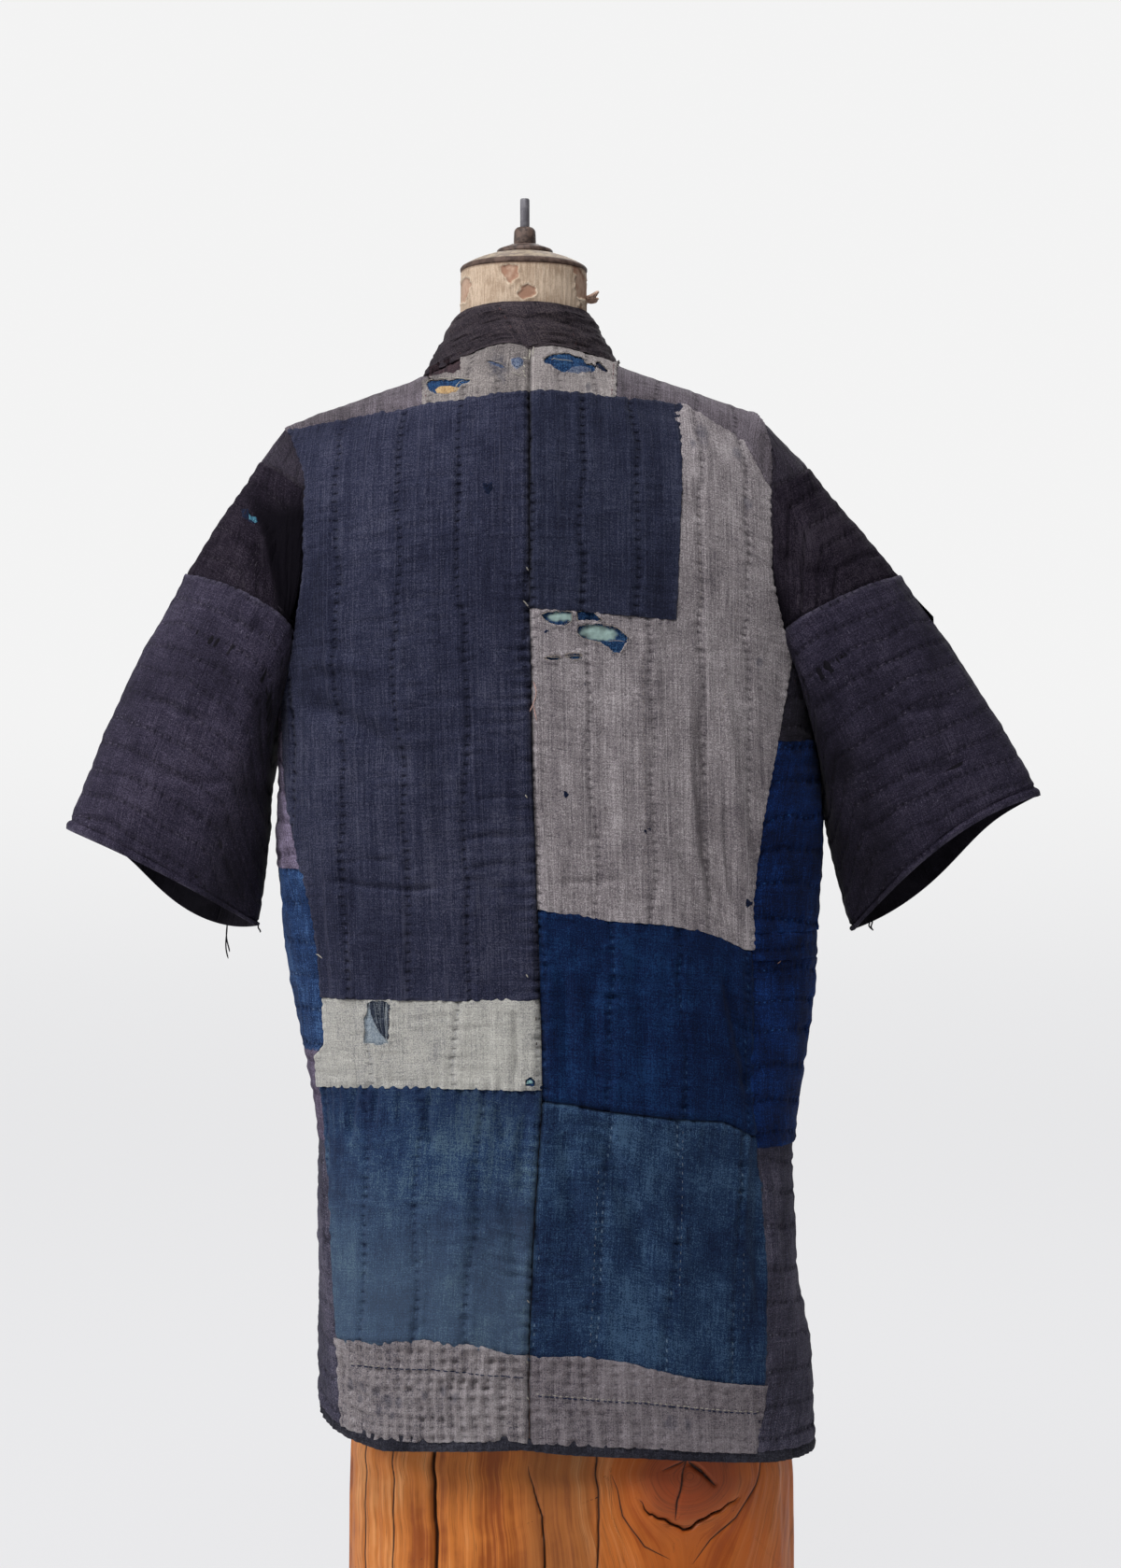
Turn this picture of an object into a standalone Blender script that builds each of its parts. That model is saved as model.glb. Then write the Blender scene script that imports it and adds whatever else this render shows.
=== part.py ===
"""A patched work jacket of thick stitched cotton, worn by a limbless dress form on a wooden stump.

Metres, +Z up.  The origin is on the floor under the middle of the stump.  The jacket faces -Y,
its back faces +Y, and the wearer's left is +X.

The body of the jacket is one shell.  A point of it is given by
    round   how far round the body: 0 centre back, 1 left side, -1 right side, +-2 centre front
    up      how far up the cloth: the height itself below CAP_START, and above it the arc that
            leads over the shoulder ridge and down the front
Each piece of cloth is the part of that shell between the seams round it, made a wall of WALL.
"""
import math

import bmesh
import bpy
import numpy as np

# ------------------------------------------------------------------ driving dimensions
WALL = 0.003                # a patched, stitched layer of old cotton
GAP = 0.0005                # between neighbouring pieces of cloth
NECK_X = 0.0445             # the dress form's axis: the garment hangs a little to the left
NECK_RADIUS = 0.0560
NECK_TOP = 1.2555
FORM_BASE = 0.5003          # the form stands on the stump's top
STUMP_TOP = 0.5000
CAP_START = 0.950           # above this the body rounds over to the shoulders
CAP_POWER = 3.0
OPENING = 1.5               # front panels begin this far round, at the front of the side pieces
YOKE_FRONT = 1.060          # height of the seam below the yoke at the front
BAND_WIDTH = 0.058
COLLAR_GAP = 0.0016
COLLAR_STAND = 0.0070       # from the form's neck to the outside of the collar's free edge
V_BOTTOM = 0.930            # where the neck's slope ends and the front bands hang straight

# body, one row for each height
BODY = dict(
    height=(0.15, 0.30, 0.375, 0.425, 0.475, 0.537, 0.625, 0.708, 0.746, 0.800, 0.860, 0.885, 0.95),
    left=(.2230, .2258, .2252, .2260, .2250, .2335, .2502, .2600, .2640, .2620, .2620, .2655, .2730),
    right=(-.2170, -.2110, -.1990, -.1965, -.1950, -.2030, -.2140, -.2185, -.2215, -.2190,
           -.2145, -.2125, -.2135),
    seam=(.0360, .0385, .0360, .0340, .0310, .0276, .0293, .0320, .0330, .0350, .0360, .0365, .0380),
    back=(.1250, .1240, .1210, .1180, .1160, .1130, .1080, .1090, .1110, .1150, .1180, .1190, .1200),
    front=(.1230, .1220, .1200, .1180, .1160, .1140, .1120, .1140, .1160, .1190, .1220, .1230, .1240),
)
SECTION_POWER = 2.4
# heights that all pieces of one side share, so that neighbours meet point for point
LEVELS = {
    "left": (0.285, 0.330, 0.375, 0.420, 0.454, 0.488, 0.525, 0.562, 0.568, 0.574, 0.610, 0.650,
             0.694, 0.727, 0.755, 0.782, 0.820, 0.850, 0.860, 0.864, 0.872, 0.885, 0.910, 0.935,
             0.960, 0.994, 1.027, 1.060, 1.085, 1.100, 1.110),
    "right": (0.285, 0.330, 0.375, 0.420, 0.454, 0.485, 0.515, 0.560, 0.610, 0.648, 0.672, 0.700,
              0.735, 0.770, 0.805, 0.838, 0.860, 0.885, 0.889, 0.897, 0.912, 0.935, 0.960, 0.994,
              1.027, 1.060, 1.090, 1.105, 1.112, 1.122),
}
LEVEL_MARGIN = 0.004
ROUND_PER_METRE = 1.8       # places round the body in half a gap of cloth, doubled
BACK_SEAM_DEPTH = 0.0015    # the centre back seam pulls in a little

# shoulder ridge: its height falls away from the neck on each side
RIDGE = dict(peak=1.2075, slope=0.370, blend=0.050, rise=0.027, rise_width=0.055)
RIDGE_DROP_LEFT = 0.0095

# armhole seams: across at each height, from the underarm to the shoulder ridge
ARMHOLE = {
    "left": dict(height=(0.860, 0.885, 0.935, 0.994, 1.060, 1.100, 1.1176),
                 across=(.2620, .2530, .2420, .2345, .2345, .2460, .2560)),
    "right": dict(height=(0.885, 0.897, 0.912, 0.935, 0.994, 1.060, 1.090, 1.112, 1.1292),
                  across=(-.2125, -.2020, -.1900, -.1810, -.1700, -.1705, -.1710, -.1675, -.1610)),
}
# back edges of the side pieces: across at each height, ending on the armhole
SIDE_SEAM = {
    "left": dict(height=(0.20, 0.285, 0.375, 0.454, 0.525, 0.562, 0.574, 0.650, 0.694, 0.727,
                         0.755, 0.782, 0.820, 0.872),
                 across=(.1960, .2045, .2120, .2175, .2235, .2260, .2165, .2215, .2290, .2390,
                         .2460, .2520, .2560, .2575)),
    "right": dict(height=(0.20, 0.285, 0.375, 0.454, 0.515, 0.610, 0.700, 0.770, 0.838, 0.912),
                  across=(-.1530, -.1675, -.1715, -.1655, -.1565, -.1560, -.1535, -.1630, -.1765,
                          -.1900)),
}
# seams that run across: height at each place round
HEM = dict(round=(-2.0, -1.5, -1.0, -.64, -.50, -.25, -.07, .02, .30, .47, .60, .80, 1.0, 1.3, 2.0),
           height=(.214, .2145, .2125, .2140, .2180, .2265, .2308, .2347, .2318, .2290, .2335,
                   .2415, .2560, .2440, .2260))
SEAM = {
    "binding": dict(round=(-2.0, -1.5, -1.0, -.56, -.46, -.20, 0, .06, .51, .80, 1.0, 1.3, 2.0),
                    height=(.224, .2245, .2222, .2252, .2290, .2374, .2408, .2432, .2388, .2512,
                            .2660, .2545, .2370)),
    "hem_patch_left": dict(round=(0, .06, .143, .306, .65, .77, 1.0),
                           height=(.3133, .315, .322, .3256, .3178, .318, .318)),
    "hem_patch_right": dict(round=(-1.0, -.62, -.47, -.356, -.22, -.126, 0),
                            height=(.276, .2796, .2855, .2935, .3073, .3127, .3133)),
    "cream_bottom": dict(round=(0, .31, .81, 1.0), height=(.5394, .541, .536, .535)),
    "cream_top": dict(round=(0, .05, .64, 1.0), height=(.6170, .6156, .6154, .615)),
    "blue_bottom": dict(round=(-1.0, -.604, -.49, -.336, -.153, -.074, 0),
                        height=(.4780, .4957, .5089, .5132, .5206, .5266, .5290)),
    "grey_bottom": dict(round=(-1.0, -.56, -.515, -.44, -.37, -.29, -.15, 0),
                        height=(.650, .657, .658, .6687, .675, .6804, .684, .6937)),
    "navy_right_bottom": dict(round=(-1.0, -.326, 0), height=(.930, .941, .9505)),
}
YOKE_BACK = {   # height at each place across, along the lower edge of the yoke and neck patches
    "left": dict(across=(.0400, .2560), height=(1.1385, 1.1125)),
    "right": dict(across=(-.1660, -.1474, -.0937, .0400), height=(1.0915, 1.0980, 1.1320, 1.1375)),
}
SIDE_LEVEL = {  # heights of the side pieces' cross seams
    "left": dict(charcoal=.488, thin=.568, blue=.727),
    "right": dict(charcoal=.485, navy=.648, strip=.672, blue=.838),
}
NAVY_EDGE = dict(height=(.93, .941, 1.1295, 1.20), across=(-.0854, -.0859, -.0937, -.0960))
GREY_EDGE = dict(height=(1.060, 1.098, 1.140), across=(-.1680, -.1474, -.1320))
TAIL_BOTTOM = 1.060         # the right yoke's narrow tail beside the armhole
NECK_PATCH = {"left": .1305, "right": -.0350}
NECKLINE = {"left": .1345, "right": -.0390}     # where the collar seam crosses the ridge
NECK_ANGLE = math.radians(59.0)                 # how far up the cap the seam is at centre back

# sleeves: outer and inner corners of the cuff (across, height) and how far their sides bow
SLEEVE = {
    "left": dict(outer=(.4520, .7605), inner=(.2815, .6735), bow_out=.016, bow_in=-.0020,
                 back_rise=.006, front_drop=.022, cap=(.095, 1.060), middle=(.385, 0.935)),
    "right": dict(outer=(-.4160, .7900), inner=(-.2480, .6690), bow_out=.016, bow_in=-.0078,
                  back_rise=.022, front_drop=.014, cap=(.160, 1.060), middle=(.450, 0.935)),
}
CUFF_DEPTH = 0.036
SLEEVE_FULLNESS = 0.012
SEAM_STEP = 0.0015          # the lower sleeve is cut a little wider than the upper
SEAM_END = 0.006            # how far along the sleeve its cross seams end at the armhole
UNDERARM_EASE = 0.0015      # the sleeve hangs this clear of the side
SLEEVE_LENGTH = 0.42
MITRE_REACH = 0.10          # over this share of the sleeve its wall turns from the body's
ARMHOLE_GAP = 0.0022        # start of the sleeve, as a share of its length

# dress form, one row for each height: half width, depth behind and in front of its axis
FORM = dict(
    height=(.5003, .560, .640, .720, .800, .880, .960, 1.030, 1.080),
    half=(.150, .155, .140, .135, .150, .165, .172, .170, .168),
    centre=(.030, .030, .032, .034, .036, .038, .040, .042, .0445),
    back=(.098, .100, .090, .086, .092, .098, .102, .098, .088),
    front=(.095, .098, .092, .092, .100, .104, .102, .092, .080),
)
FORM_BLEND = 0.030          # height over which the form's shoulders turn into its neck rows
FORM_MIDWAY = 1.096         # one more ring in that blend
FORM_ROUND = 0.92           # power of the form's sections: a little squarer than an ellipse
FORM_NECK = dict(
    height=(1.108, 1.126, 1.141, 1.153, 1.164, 1.179, 1.198, 1.228, NECK_TOP),
    half=(.165, .1460, .1180, .0900, .0690, .0600, .0570, .0562, NECK_RADIUS),
    back=(.078, .0720, .0660, .0620, .0590, .0575, .0565, .0562, NECK_RADIUS),
    front=(.062, .0540, .0510, .0500, .0510, .0535, .0555, .0562, NECK_RADIUS),
)

# stump, one row for each height: half width and half depth
STUMP = dict(
    height=(0.0, 0.012, 0.060, 0.120, 0.180, 0.260, 0.380, 0.488, STUMP_TOP),
    half=(.196, .200, .1985, .1975, .1970, .1900, .1780, .1700, .164),
    depth=(.150, .155, .140, .122, .108, .100, .098, .096, .090),
    centre=(.0005, .0005, .0010, .0015, .0015, .006, .012, .015, .015),
)


# ------------------------------------------------------------------ reading the tables
def smooth(table, key, column, where):
    """Value of a column at each place: a cubic through the rows, with no overshoot (Fritsch)."""
    x, y = np.asarray(table[key], float), np.asarray(table[column], float)
    where = np.clip(np.asarray(where, float), x[0], x[-1])
    step, slope = np.diff(x), np.diff(y) / np.diff(x)
    tangent = np.concatenate(([slope[0]], np.where(slope[:-1] * slope[1:] > 0, 2 * slope[:-1] * slope[1:]
                              / np.where(slope[:-1] + slope[1:] == 0, 1, slope[:-1] + slope[1:]), 0),
                              [slope[-1]]))
    i = np.clip(np.searchsorted(x, where, "right") - 1, 0, len(x) - 2)
    t = (where - x[i]) / step[i]
    return (y[i] * (1 + 2 * t) * (1 - t) ** 2 + y[i + 1] * t * t * (3 - 2 * t)
            + step[i] * (tangent[i] * t * (1 - t) ** 2 + tangent[i + 1] * t * t * (t - 1)))


def straight(table, key, column, where):
    return np.interp(where, table[key], table[column])


def body(column, z):
    return smooth(BODY, "height", column, z)


def ridge(x):
    """Height of the shoulder ridge: a line falling away from the neck, blended at the neck."""
    d = np.abs(x - NECK_X)
    height = (RIDGE["peak"] - RIDGE["slope"] * np.sqrt(d ** 2 + RIDGE["blend"] ** 2)
              + RIDGE["rise"] * np.exp(-(d / RIDGE["rise_width"]) ** 2))
    return height - RIDGE_DROP_LEFT * np.clip((x - NECK_X) / 0.1, 0, 1)


def cap_height(x):
    return ridge(x) - CAP_START


def height_of(x, up):
    """Height of a point: up itself, and above CAP_START the sine of the arc over the ridge."""
    h = cap_height(x)
    return np.where(up < CAP_START, up, CAP_START + h * np.sin((up - CAP_START) / h))


def up_of(x, z):
    h = cap_height(x)
    rise = np.clip((z - CAP_START) / h, -1, 1)
    return np.where(z < CAP_START, z, CAP_START + h * np.arcsin(rise))


def over_ridge(x, z):
    """How far up the cloth a height on the front lies, past the ridge."""
    return 2 * (CAP_START + cap_height(x) * math.pi / 2) - up_of(x, z)


def middle(z, front):
    """Across of the line that the section is measured from: the seam, or the centre front."""
    return np.where(front, (body("left", z) + body("right", z)) / 2, body("seam", z))


def half_width(x, z, front):
    return np.where(x > middle(z, front), body("left", z), body("right", z)) - middle(z, front)


def depth(x, z, front):
    """Depth of the section: a superellipse, closed by a cap towards the ridge."""
    share = np.clip((x - middle(z, front)) / half_width(x, z, front), 0, 1)
    flat = np.where(front, body("front", z), body("back", z))
    rise = np.clip((z - CAP_START) / cap_height(x), 0, 1)
    pull = np.where(front, 0, BACK_SEAM_DEPTH * np.exp(-(share / 0.045) ** 2))
    return ((flat - pull) * (1 - share ** SECTION_POWER) ** (1 / SECTION_POWER)
            * np.sqrt(1 - rise ** CAP_POWER))


def shell_round(around, z):
    """Point of the body at a place round it and a height, below the ridge."""
    front = np.abs(around) > 1
    turn = np.where(front, 2 - np.abs(around), np.abs(around)) * math.pi / 2
    edge = np.where(around > 0, body("left", z), body("right", z))
    mid = middle(z, front)
    x = mid + (edge - mid) * np.sin(turn)
    y = depth(x, z, front)
    return np.stack([x, np.where(front, -y, y), z], -1)


def shell_over(x, up):
    """Point of the body at a place across and a distance up the cloth, over the ridge."""
    z = height_of(x, up)
    front = up > CAP_START + cap_height(x) * math.pi / 2
    y = depth(x, z, front)
    return np.stack([x, np.where(front, -y, y), z], -1)


def round_of(x, z, front=False):
    """Place round the body of a point across, on the back or on the front."""
    flag = np.full(np.shape(z), front)
    share = np.clip((x - middle(z, flag)) / half_width(x, z, flag), 0, 1)
    turn = np.arcsin(share) / (math.pi / 2)
    return np.where(x > middle(z, flag), 1, -1) * (2 - turn if front else turn)


# ------------------------------------------------------------------ solids
def add_object(name, verts, faces, colour, roughness=0.9, metallic=0.0):
    mesh = bpy.data.meshes.new(name)
    mesh.from_pydata([tuple(map(float, v)) for v in verts], [], [tuple(map(int, f)) for f in faces])
    build = bmesh.new()
    build.from_mesh(mesh)
    bmesh.ops.triangulate(build, faces=build.faces[:])
    bmesh.ops.recalc_face_normals(build, faces=build.faces[:])
    if build.calc_volume(signed=True) < 0:
        bmesh.ops.reverse_faces(build, faces=build.faces[:])
    build.to_mesh(mesh)
    build.free()
    mesh.shade_smooth()
    material = bpy.data.materials.new(name)
    material.use_nodes = True
    shader = material.node_tree.nodes["Principled BSDF"]
    shader.inputs["Base Color"].default_value = (*colour, 1.0)
    shader.inputs["Roughness"].default_value = roughness
    shader.inputs["Metallic"].default_value = metallic
    mesh.materials.append(material)
    piece = bpy.data.objects.new(name, mesh)
    bpy.context.scene.collection.objects.link(piece)
    return piece


def wall(name, points, inward, colour, skip=(), closed=False):
    """A closed wall from a grid of outer points and the unit directions that lead inwards.
    skip holds the cells left out; closed joins the last column to the first."""
    rows, columns = points.shape[:2]
    outer = points.reshape(-1, 3)
    inner = (points + WALL * inward).reshape(-1, 3)
    last = columns if closed else columns - 1
    cells = [(r, c) for r in range(rows - 1) for c in range(last) if (r, c) not in skip]
    corner = lambda r, c: r * columns + c % columns
    quads = [(corner(r, c), corner(r, c + 1), corner(r + 1, c + 1), corner(r + 1, c)) for r, c in cells]
    edges = {}
    for quad in quads:
        for a, b in zip(quad, quad[1:] + quad[:1]):
            edges[(a, b)] = True
    rim = [(a, b) for a, b in edges if (b, a) not in edges]
    used = sorted({v for quad in quads for v in quad})
    new = {v: i for i, v in enumerate(used)}
    n = len(used)
    faces = [tuple(new[v] for v in quad) for quad in quads]
    faces += [tuple(new[v] + n for v in reversed(quad)) for quad in quads]
    faces += [(new[b], new[a], new[a] + n, new[b] + n) for a, b in rim]
    return add_object(name, np.concatenate([outer[used], inner[used]]), faces, colour)


def inward_of(surface, a, b, step=2e-4):
    """Unit normals of a surface of two parameters, turned towards the body's axis."""
    along = surface(a + step, b) - surface(a - step, b)
    up = surface(a, b + step) - surface(a, b - step)
    normal = np.cross(along, up)
    normal /= np.maximum(np.linalg.norm(normal, axis=-1, keepdims=True), 1e-12)
    return normal


def facing_in(points, normal, axis_point):
    """Flip a whole field of normals if it leads away from the axis point."""
    towards = (np.asarray(axis_point) - points) * (1, 1, 0)
    return normal if (normal * towards).sum() > 0 else -normal


def lines(cells):
    """Parameter values: whole numbers at the seams, with the wanted cells between them."""
    return np.concatenate([np.linspace(i, i + 1, n, endpoint=False) for i, n in enumerate(cells)]
                          + [[float(len(cells))]])


def between(seams, place, value):
    """Read a list of seams at a place between them: 1.25 is a quarter past seam 1."""
    i = np.clip(np.floor(place + 1e-9).astype(int), 0, len(seams) - 2)
    values = np.stack([np.broadcast_to(s(value), np.shape(place)) for s in seams])
    low = np.take_along_axis(values, i[None], 0)[0]
    high = np.take_along_axis(values, i[None] + 1, 0)[0]
    return low + (place - i) * (high - low)


def shrink(place, seams, value, gap):
    """Pull the outermost lines in by the gap, so that the piece is clear of its neighbours."""
    raw = between(seams, place, value)
    first, last = between(seams, np.zeros_like(place), value), between(
        seams, np.full_like(place, len(seams) - 1), value)
    sign = np.sign(last - first)
    return np.where(place <= 0, raw + sign * gap, np.where(place >= len(seams) - 1, raw - sign * gap, raw))


def skipped(cells_across, cells_up, blocks):
    """Grid cells that lie in the blocks left out, each block between two pairs of seams."""
    column = np.repeat(np.arange(len(cells_across)), cells_across)
    row = np.repeat(np.arange(len(cells_up)), cells_up)
    return {(r, c) for r in range(len(row)) for c in range(len(column)) if (column[c], row[r]) in blocks}


def rows_between(heights, low, high, edge):
    """Rows of a panel between two cross seams: the shared heights at its outer edge (column edge),
    straight across where they are clear of both seams, squeezed beside the seams elsewhere."""
    bottom, top = low[edge], high[edge]
    chosen = [z for z in heights if bottom + LEVEL_MARGIN < z < top - LEVEL_MARGIN]
    clear = [z for z in chosen if low.max() + LEVEL_MARGIN < z < high.min() - LEVEL_MARGIN]
    floor, roof = (clear[0], clear[-1]) if clear else (None, None)
    rows = []
    for z in chosen:
        if not clear:
            rows.append(low + (z - bottom) / (top - bottom) * (high - low))
        elif z < floor:
            rows.append(low + (z - bottom) / (floor - bottom) * (floor - low))
        elif z > roof:
            rows.append(high - (top - z) / (top - roof) * (high - roof))
        else:
            rows.append(np.full_like(low, z))
    return rows


def panel(name, side, sides, levels, cells_across, colour, blocks=()):
    """A piece of the body between sides (round at each height) and levels (height at each round).
    The side named gives its rows; the outer edge is the first side, or the last on the left back."""
    place = lines(cells_across)
    edge = len(place) - 1 if sides[0] is centre_seam else 0
    limit = [np.full_like(place, 0.6)] * len(levels)
    for _ in range(12):
        rounds = [between(sides, place, z) for z in limit]
        limit = [np.asarray(f(r), float) * np.ones_like(place) for f, r in zip(levels, rounds)]
    z, cells_up = [], []
    for i in range(len(levels) - 1):
        low = limit[i] + (GAP / 2 if i == 0 else 0)
        high = limit[i + 1] - (GAP / 2 if i == len(levels) - 2 else 0)
        inside = rows_between(LEVELS[side], limit[i], limit[i + 1], edge)
        z += [low] + inside
        cells_up.append(len(inside) + 1)
    z.append(high)
    z = np.array(z)
    around = shrink(np.tile(place, (len(z), 1)), sides, z, GAP * ROUND_PER_METRE)
    points = shell_round(around, z)
    inward = facing_in(points, inward_of(shell_round, around, z), (NECK_X, 0, 0))
    return wall(name, points, inward, colour, skipped(cells_across, cells_up, blocks))


def shoulder(name, sides, levels, cells_across, rows, colour, blocks=()):
    """A piece that goes up to or over the ridge: sides give across at each up, levels the up.
    rows holds, for each stretch between levels, its shares at the first and at the last side."""
    place = lines(cells_across)
    first = np.array([i + f for i, stretch in enumerate(rows) for f in stretch[0]] + [len(rows)], float)
    last = np.array([i + f for i, stretch in enumerate(rows) for f in stretch[1]] + [len(rows)], float)
    share = (place / place[-1])[None]
    up = first[:, None] * (1 - share) + last[:, None] * share
    across = np.tile(place, (len(first), 1))
    x, u = np.full_like(across, NECK_X), np.full_like(across, 1.1)
    for _ in range(12):
        x = shrink(across, sides, u, GAP / 2)
        u = shrink(up, levels, x, GAP / 2)
    points = shell_over(x, u)
    normal = inward_of(shell_over, x, u)
    inward = normal if normal[..., 2].sum() < 0 else -normal
    return wall(name, points, inward, colour,
                skipped(cells_across, [len(stretch[0]) for stretch in rows], blocks))


# ------------------------------------------------------------------ seams as functions
def level(table):
    return lambda around: straight(table, "round", "height", around)


def side_seam(side):
    return lambda z: round_of(straight(SIDE_SEAM[side], "height", "across", z), z)


def armhole_across(side, z):
    return smooth(ARMHOLE[side], "height", "across", z)


def back_edge(side):
    """Outer edge of a back panel: the side seam, and the armhole above the underarm."""
    top = SIDE_SEAM[side]["height"][-1]
    return lambda z: np.where(z < top, side_seam(side)(np.minimum(z, top)),
                              round_of(armhole_across(side, z), z))


def centre_seam(z):
    return np.zeros_like(z)


def underarm_level(side):
    """Top of the side pieces: the armhole's lowest stretch behind, level in front."""
    low = ARMHOLE[side]["height"][0]
    high = SIDE_SEAM[side]["height"][-1]
    start = abs(round_of(np.array(armhole_across(side, high)), np.array(high)))

    def read(around):
        share = np.clip((1 - np.abs(around)) / (1 - start + 1e-9), 0, 1)
        return low + (high - low) * share ** 1.6
    return read


def flat_level(height):
    return lambda around: np.full_like(around, height)


def front_round(side):
    sign = 1 if side == "left" else -1
    return lambda z: np.full_like(z, sign * OPENING)


def band_across(side, z):
    """Across of the seam between front and band: down the neck's slope, then straight."""
    sign = 1 if side == "left" else -1
    hang = middle(z, True) + sign * (0.006 + BAND_WIDTH)
    fall = np.clip((z - V_BOTTOM) / (ridge(NECKLINE[side]) - V_BOTTOM), 0, 1)
    start = middle(V_BOTTOM, True) + sign * (0.006 + BAND_WIDTH)
    slope = start + (NECKLINE[side] - start) * fall ** 1.15
    return np.where(z < V_BOTTOM, hang, slope)


def front_edge(side):
    """The front panel's inner edge, as a place round the body."""
    return lambda z: round_of(band_across(side, z), z, front=True)


def armhole_front(side):
    low = ARMHOLE[side]["height"][0]
    return lambda z: round_of(armhole_across(side, np.maximum(z, low)), np.maximum(z, low), front=True)


def of_across(table):
    """A seam given as across at each height, read at a distance up the cloth."""
    def read(up):
        x = np.full_like(up, table["across"][0])
        for _ in range(6):
            x = straight(table, "height", "across", height_of(x, up))
        return x
    return read


def front_level(z):
    return lambda x: over_ridge(x, np.full_like(x, z))


def back_level(table):
    return lambda x: up_of(x, straight(table, "across", "height", x))


# ------------------------------------------------------------------ the pieces
INDIGO_LEFT, INDIGO_RIGHT = (.045, .050, .085), (.030, .032, .062)
GREY_BROWN, OLIVE, CREAM = (.18, .165, .17), (.105, .095, .09), (.46, .43, .37)
BLUE, BLUE_SLATE, BLUE_LOW = (.014, .045, .125), (.045, .080, .135), (.028, .055, .110)
CHARCOAL, SLEEVE_CLOTH, BINDING = (.065, .055, .070), (.048, .038, .050), (.038, .036, .050)
FORM_CLOTH, IRON, WOOD = (.60, .48, .32), (.040, .032, .030), (.45, .17, .035)


def yoke_seam(side):
    """Lower edge of the yoke and the neck patch behind, read at a place round the body."""
    def read(around):
        high = np.full_like(around, 1.1)
        mid = body("seam", high)
        x = mid + (body(side, high) - mid) * np.sin(np.clip(np.abs(around), 0, 1) * math.pi / 2)
        return straight(YOKE_BACK[side], "across", "height", x)
    return read


def navy_edge(z):
    return round_of(straight(NAVY_EDGE, "height", "across", z), z)


def grey_edge(z):
    """Outer edge of the long grey patch: the armhole, and above the yoke's tail its own line."""
    own = round_of(straight(GREY_EDGE, "height", "across", z), z)
    return np.where(z > TAIL_BOTTOM - 0.001, own, back_edge("right")(z))


LEFT_CELLS = [3, 4]         # columns of the left back pieces: below the neck patch, and beyond
RIGHT_CELLS = [3, 2, 3]     # and of the right: outside the navy patch, beside and below the neck's
SIDE_CELLS = [2, 3]         # behind and in front of the side line
FRONT_CELLS = [3, 3]


def neck_line(side):
    """The line below the neck patch's outer edge, at the same place round at every height."""
    high = np.array(1.1)
    place = float(round_of(np.array(NECK_PATCH[side]), high))
    return lambda z: np.full_like(z, place)


def side_line(side):
    sign = 1.0 if side == "left" else -1.0
    return lambda z: np.full_like(z, sign)


def make_back():
    left_sides = [centre_seam, neck_line("left"), back_edge("left")]
    navy_sides = [navy_edge, neck_line("right"), centre_seam]
    right_sides = [back_edge("right")] + navy_sides
    seam = {name: level(table) for name, table in SEAM.items()}
    for name, low, high, colour in (("navy_left", "cream_top", None, INDIGO_LEFT),
                                    ("cream_left", "cream_bottom", "cream_top", CREAM),
                                    ("blue_low_left", "hem_patch_left", "cream_bottom", BLUE_SLATE),
                                    ("hem_patch_left", "binding", "hem_patch_left", GREY_BROWN)):
        top = seam[high] if high else yoke_seam("left")
        panel(name, "left", left_sides, [seam[low], top], LEFT_CELLS, colour)
    for name, low, high, colour in (("blue_mid_right", "blue_bottom", "grey_bottom", BLUE),
                                    ("blue_low_right", "hem_patch_right", "blue_bottom", BLUE_LOW),
                                    ("hem_patch_right", "binding", "hem_patch_right", GREY_BROWN)):
        panel(name, "right", right_sides, [seam[low], seam[high]], RIGHT_CELLS, colour)
    panel("navy_right", "right", navy_sides, [seam["navy_right_bottom"], yoke_seam("right")],
          RIGHT_CELLS[1:], INDIGO_RIGHT)
    panel("grey_right", "right", [grey_edge] + navy_sides,
          [seam["grey_bottom"], seam["navy_right_bottom"], yoke_seam("right")], RIGHT_CELLS, GREY_BROWN,
          blocks={(1, 1), (2, 1)})


def make_sides():
    """The strips under the arms, from the back edge round to the front panel."""
    pieces = {   # name, seam below, seam above, colour; None is the hem binding or the armhole
        "left": (("charcoal", None, "charcoal", CHARCOAL), ("thin", "charcoal", "thin", GREY_BROWN),
                 ("blue", "thin", "blue", BLUE), ("grey", "blue", None, GREY_BROWN)),
        "right": (("charcoal", None, "charcoal", CHARCOAL), ("navy", "charcoal", "navy", INDIGO_RIGHT),
                  ("strip", "navy", "strip", BLUE), ("blue", "strip", "blue", BLUE),
                  ("dark", "blue", None, CHARCOAL)),
    }
    for side, rows in pieces.items():
        for name, low, high, colour in rows:
            bottom = flat_level(SIDE_LEVEL[side][low]) if low else level(SEAM["binding"])
            top = flat_level(SIDE_LEVEL[side][high]) if high else underarm_level(side)
            panel(f"side_{side}_{name}", side, [side_seam(side), side_line(side), front_round(side)],
                  [bottom, top], SIDE_CELLS, colour)


def make_fronts():
    for side in ("left", "right"):
        pit = ARMHOLE[side]["height"][0]
        panel(f"front_{side}", side, [armhole_front(side), front_round(side), front_edge(side)],
              [level(SEAM["binding"]), flat_level(pit), flat_level(YOKE_FRONT)], FRONT_CELLS,
              INDIGO_RIGHT, blocks={(0, 0)})


def make_hem():
    """One narrow binding from front band to front band, its columns matching the pieces above."""
    right = [front_edge("right"), front_round("right"), side_line("right"), side_seam("right")]
    left = [side_seam("left"), side_line("left"), front_round("left"), front_edge("left")]
    sides = right + [navy_edge, neck_line("right"), centre_seam, neck_line("left")] + left
    front = FRONT_CELLS[1:]
    cells = front + SIDE_CELLS[::-1] + RIGHT_CELLS + LEFT_CELLS + SIDE_CELLS + front
    panel("hem_binding", "right", sides, [level(HEM), level(SEAM["binding"])], cells, BINDING)


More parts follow.
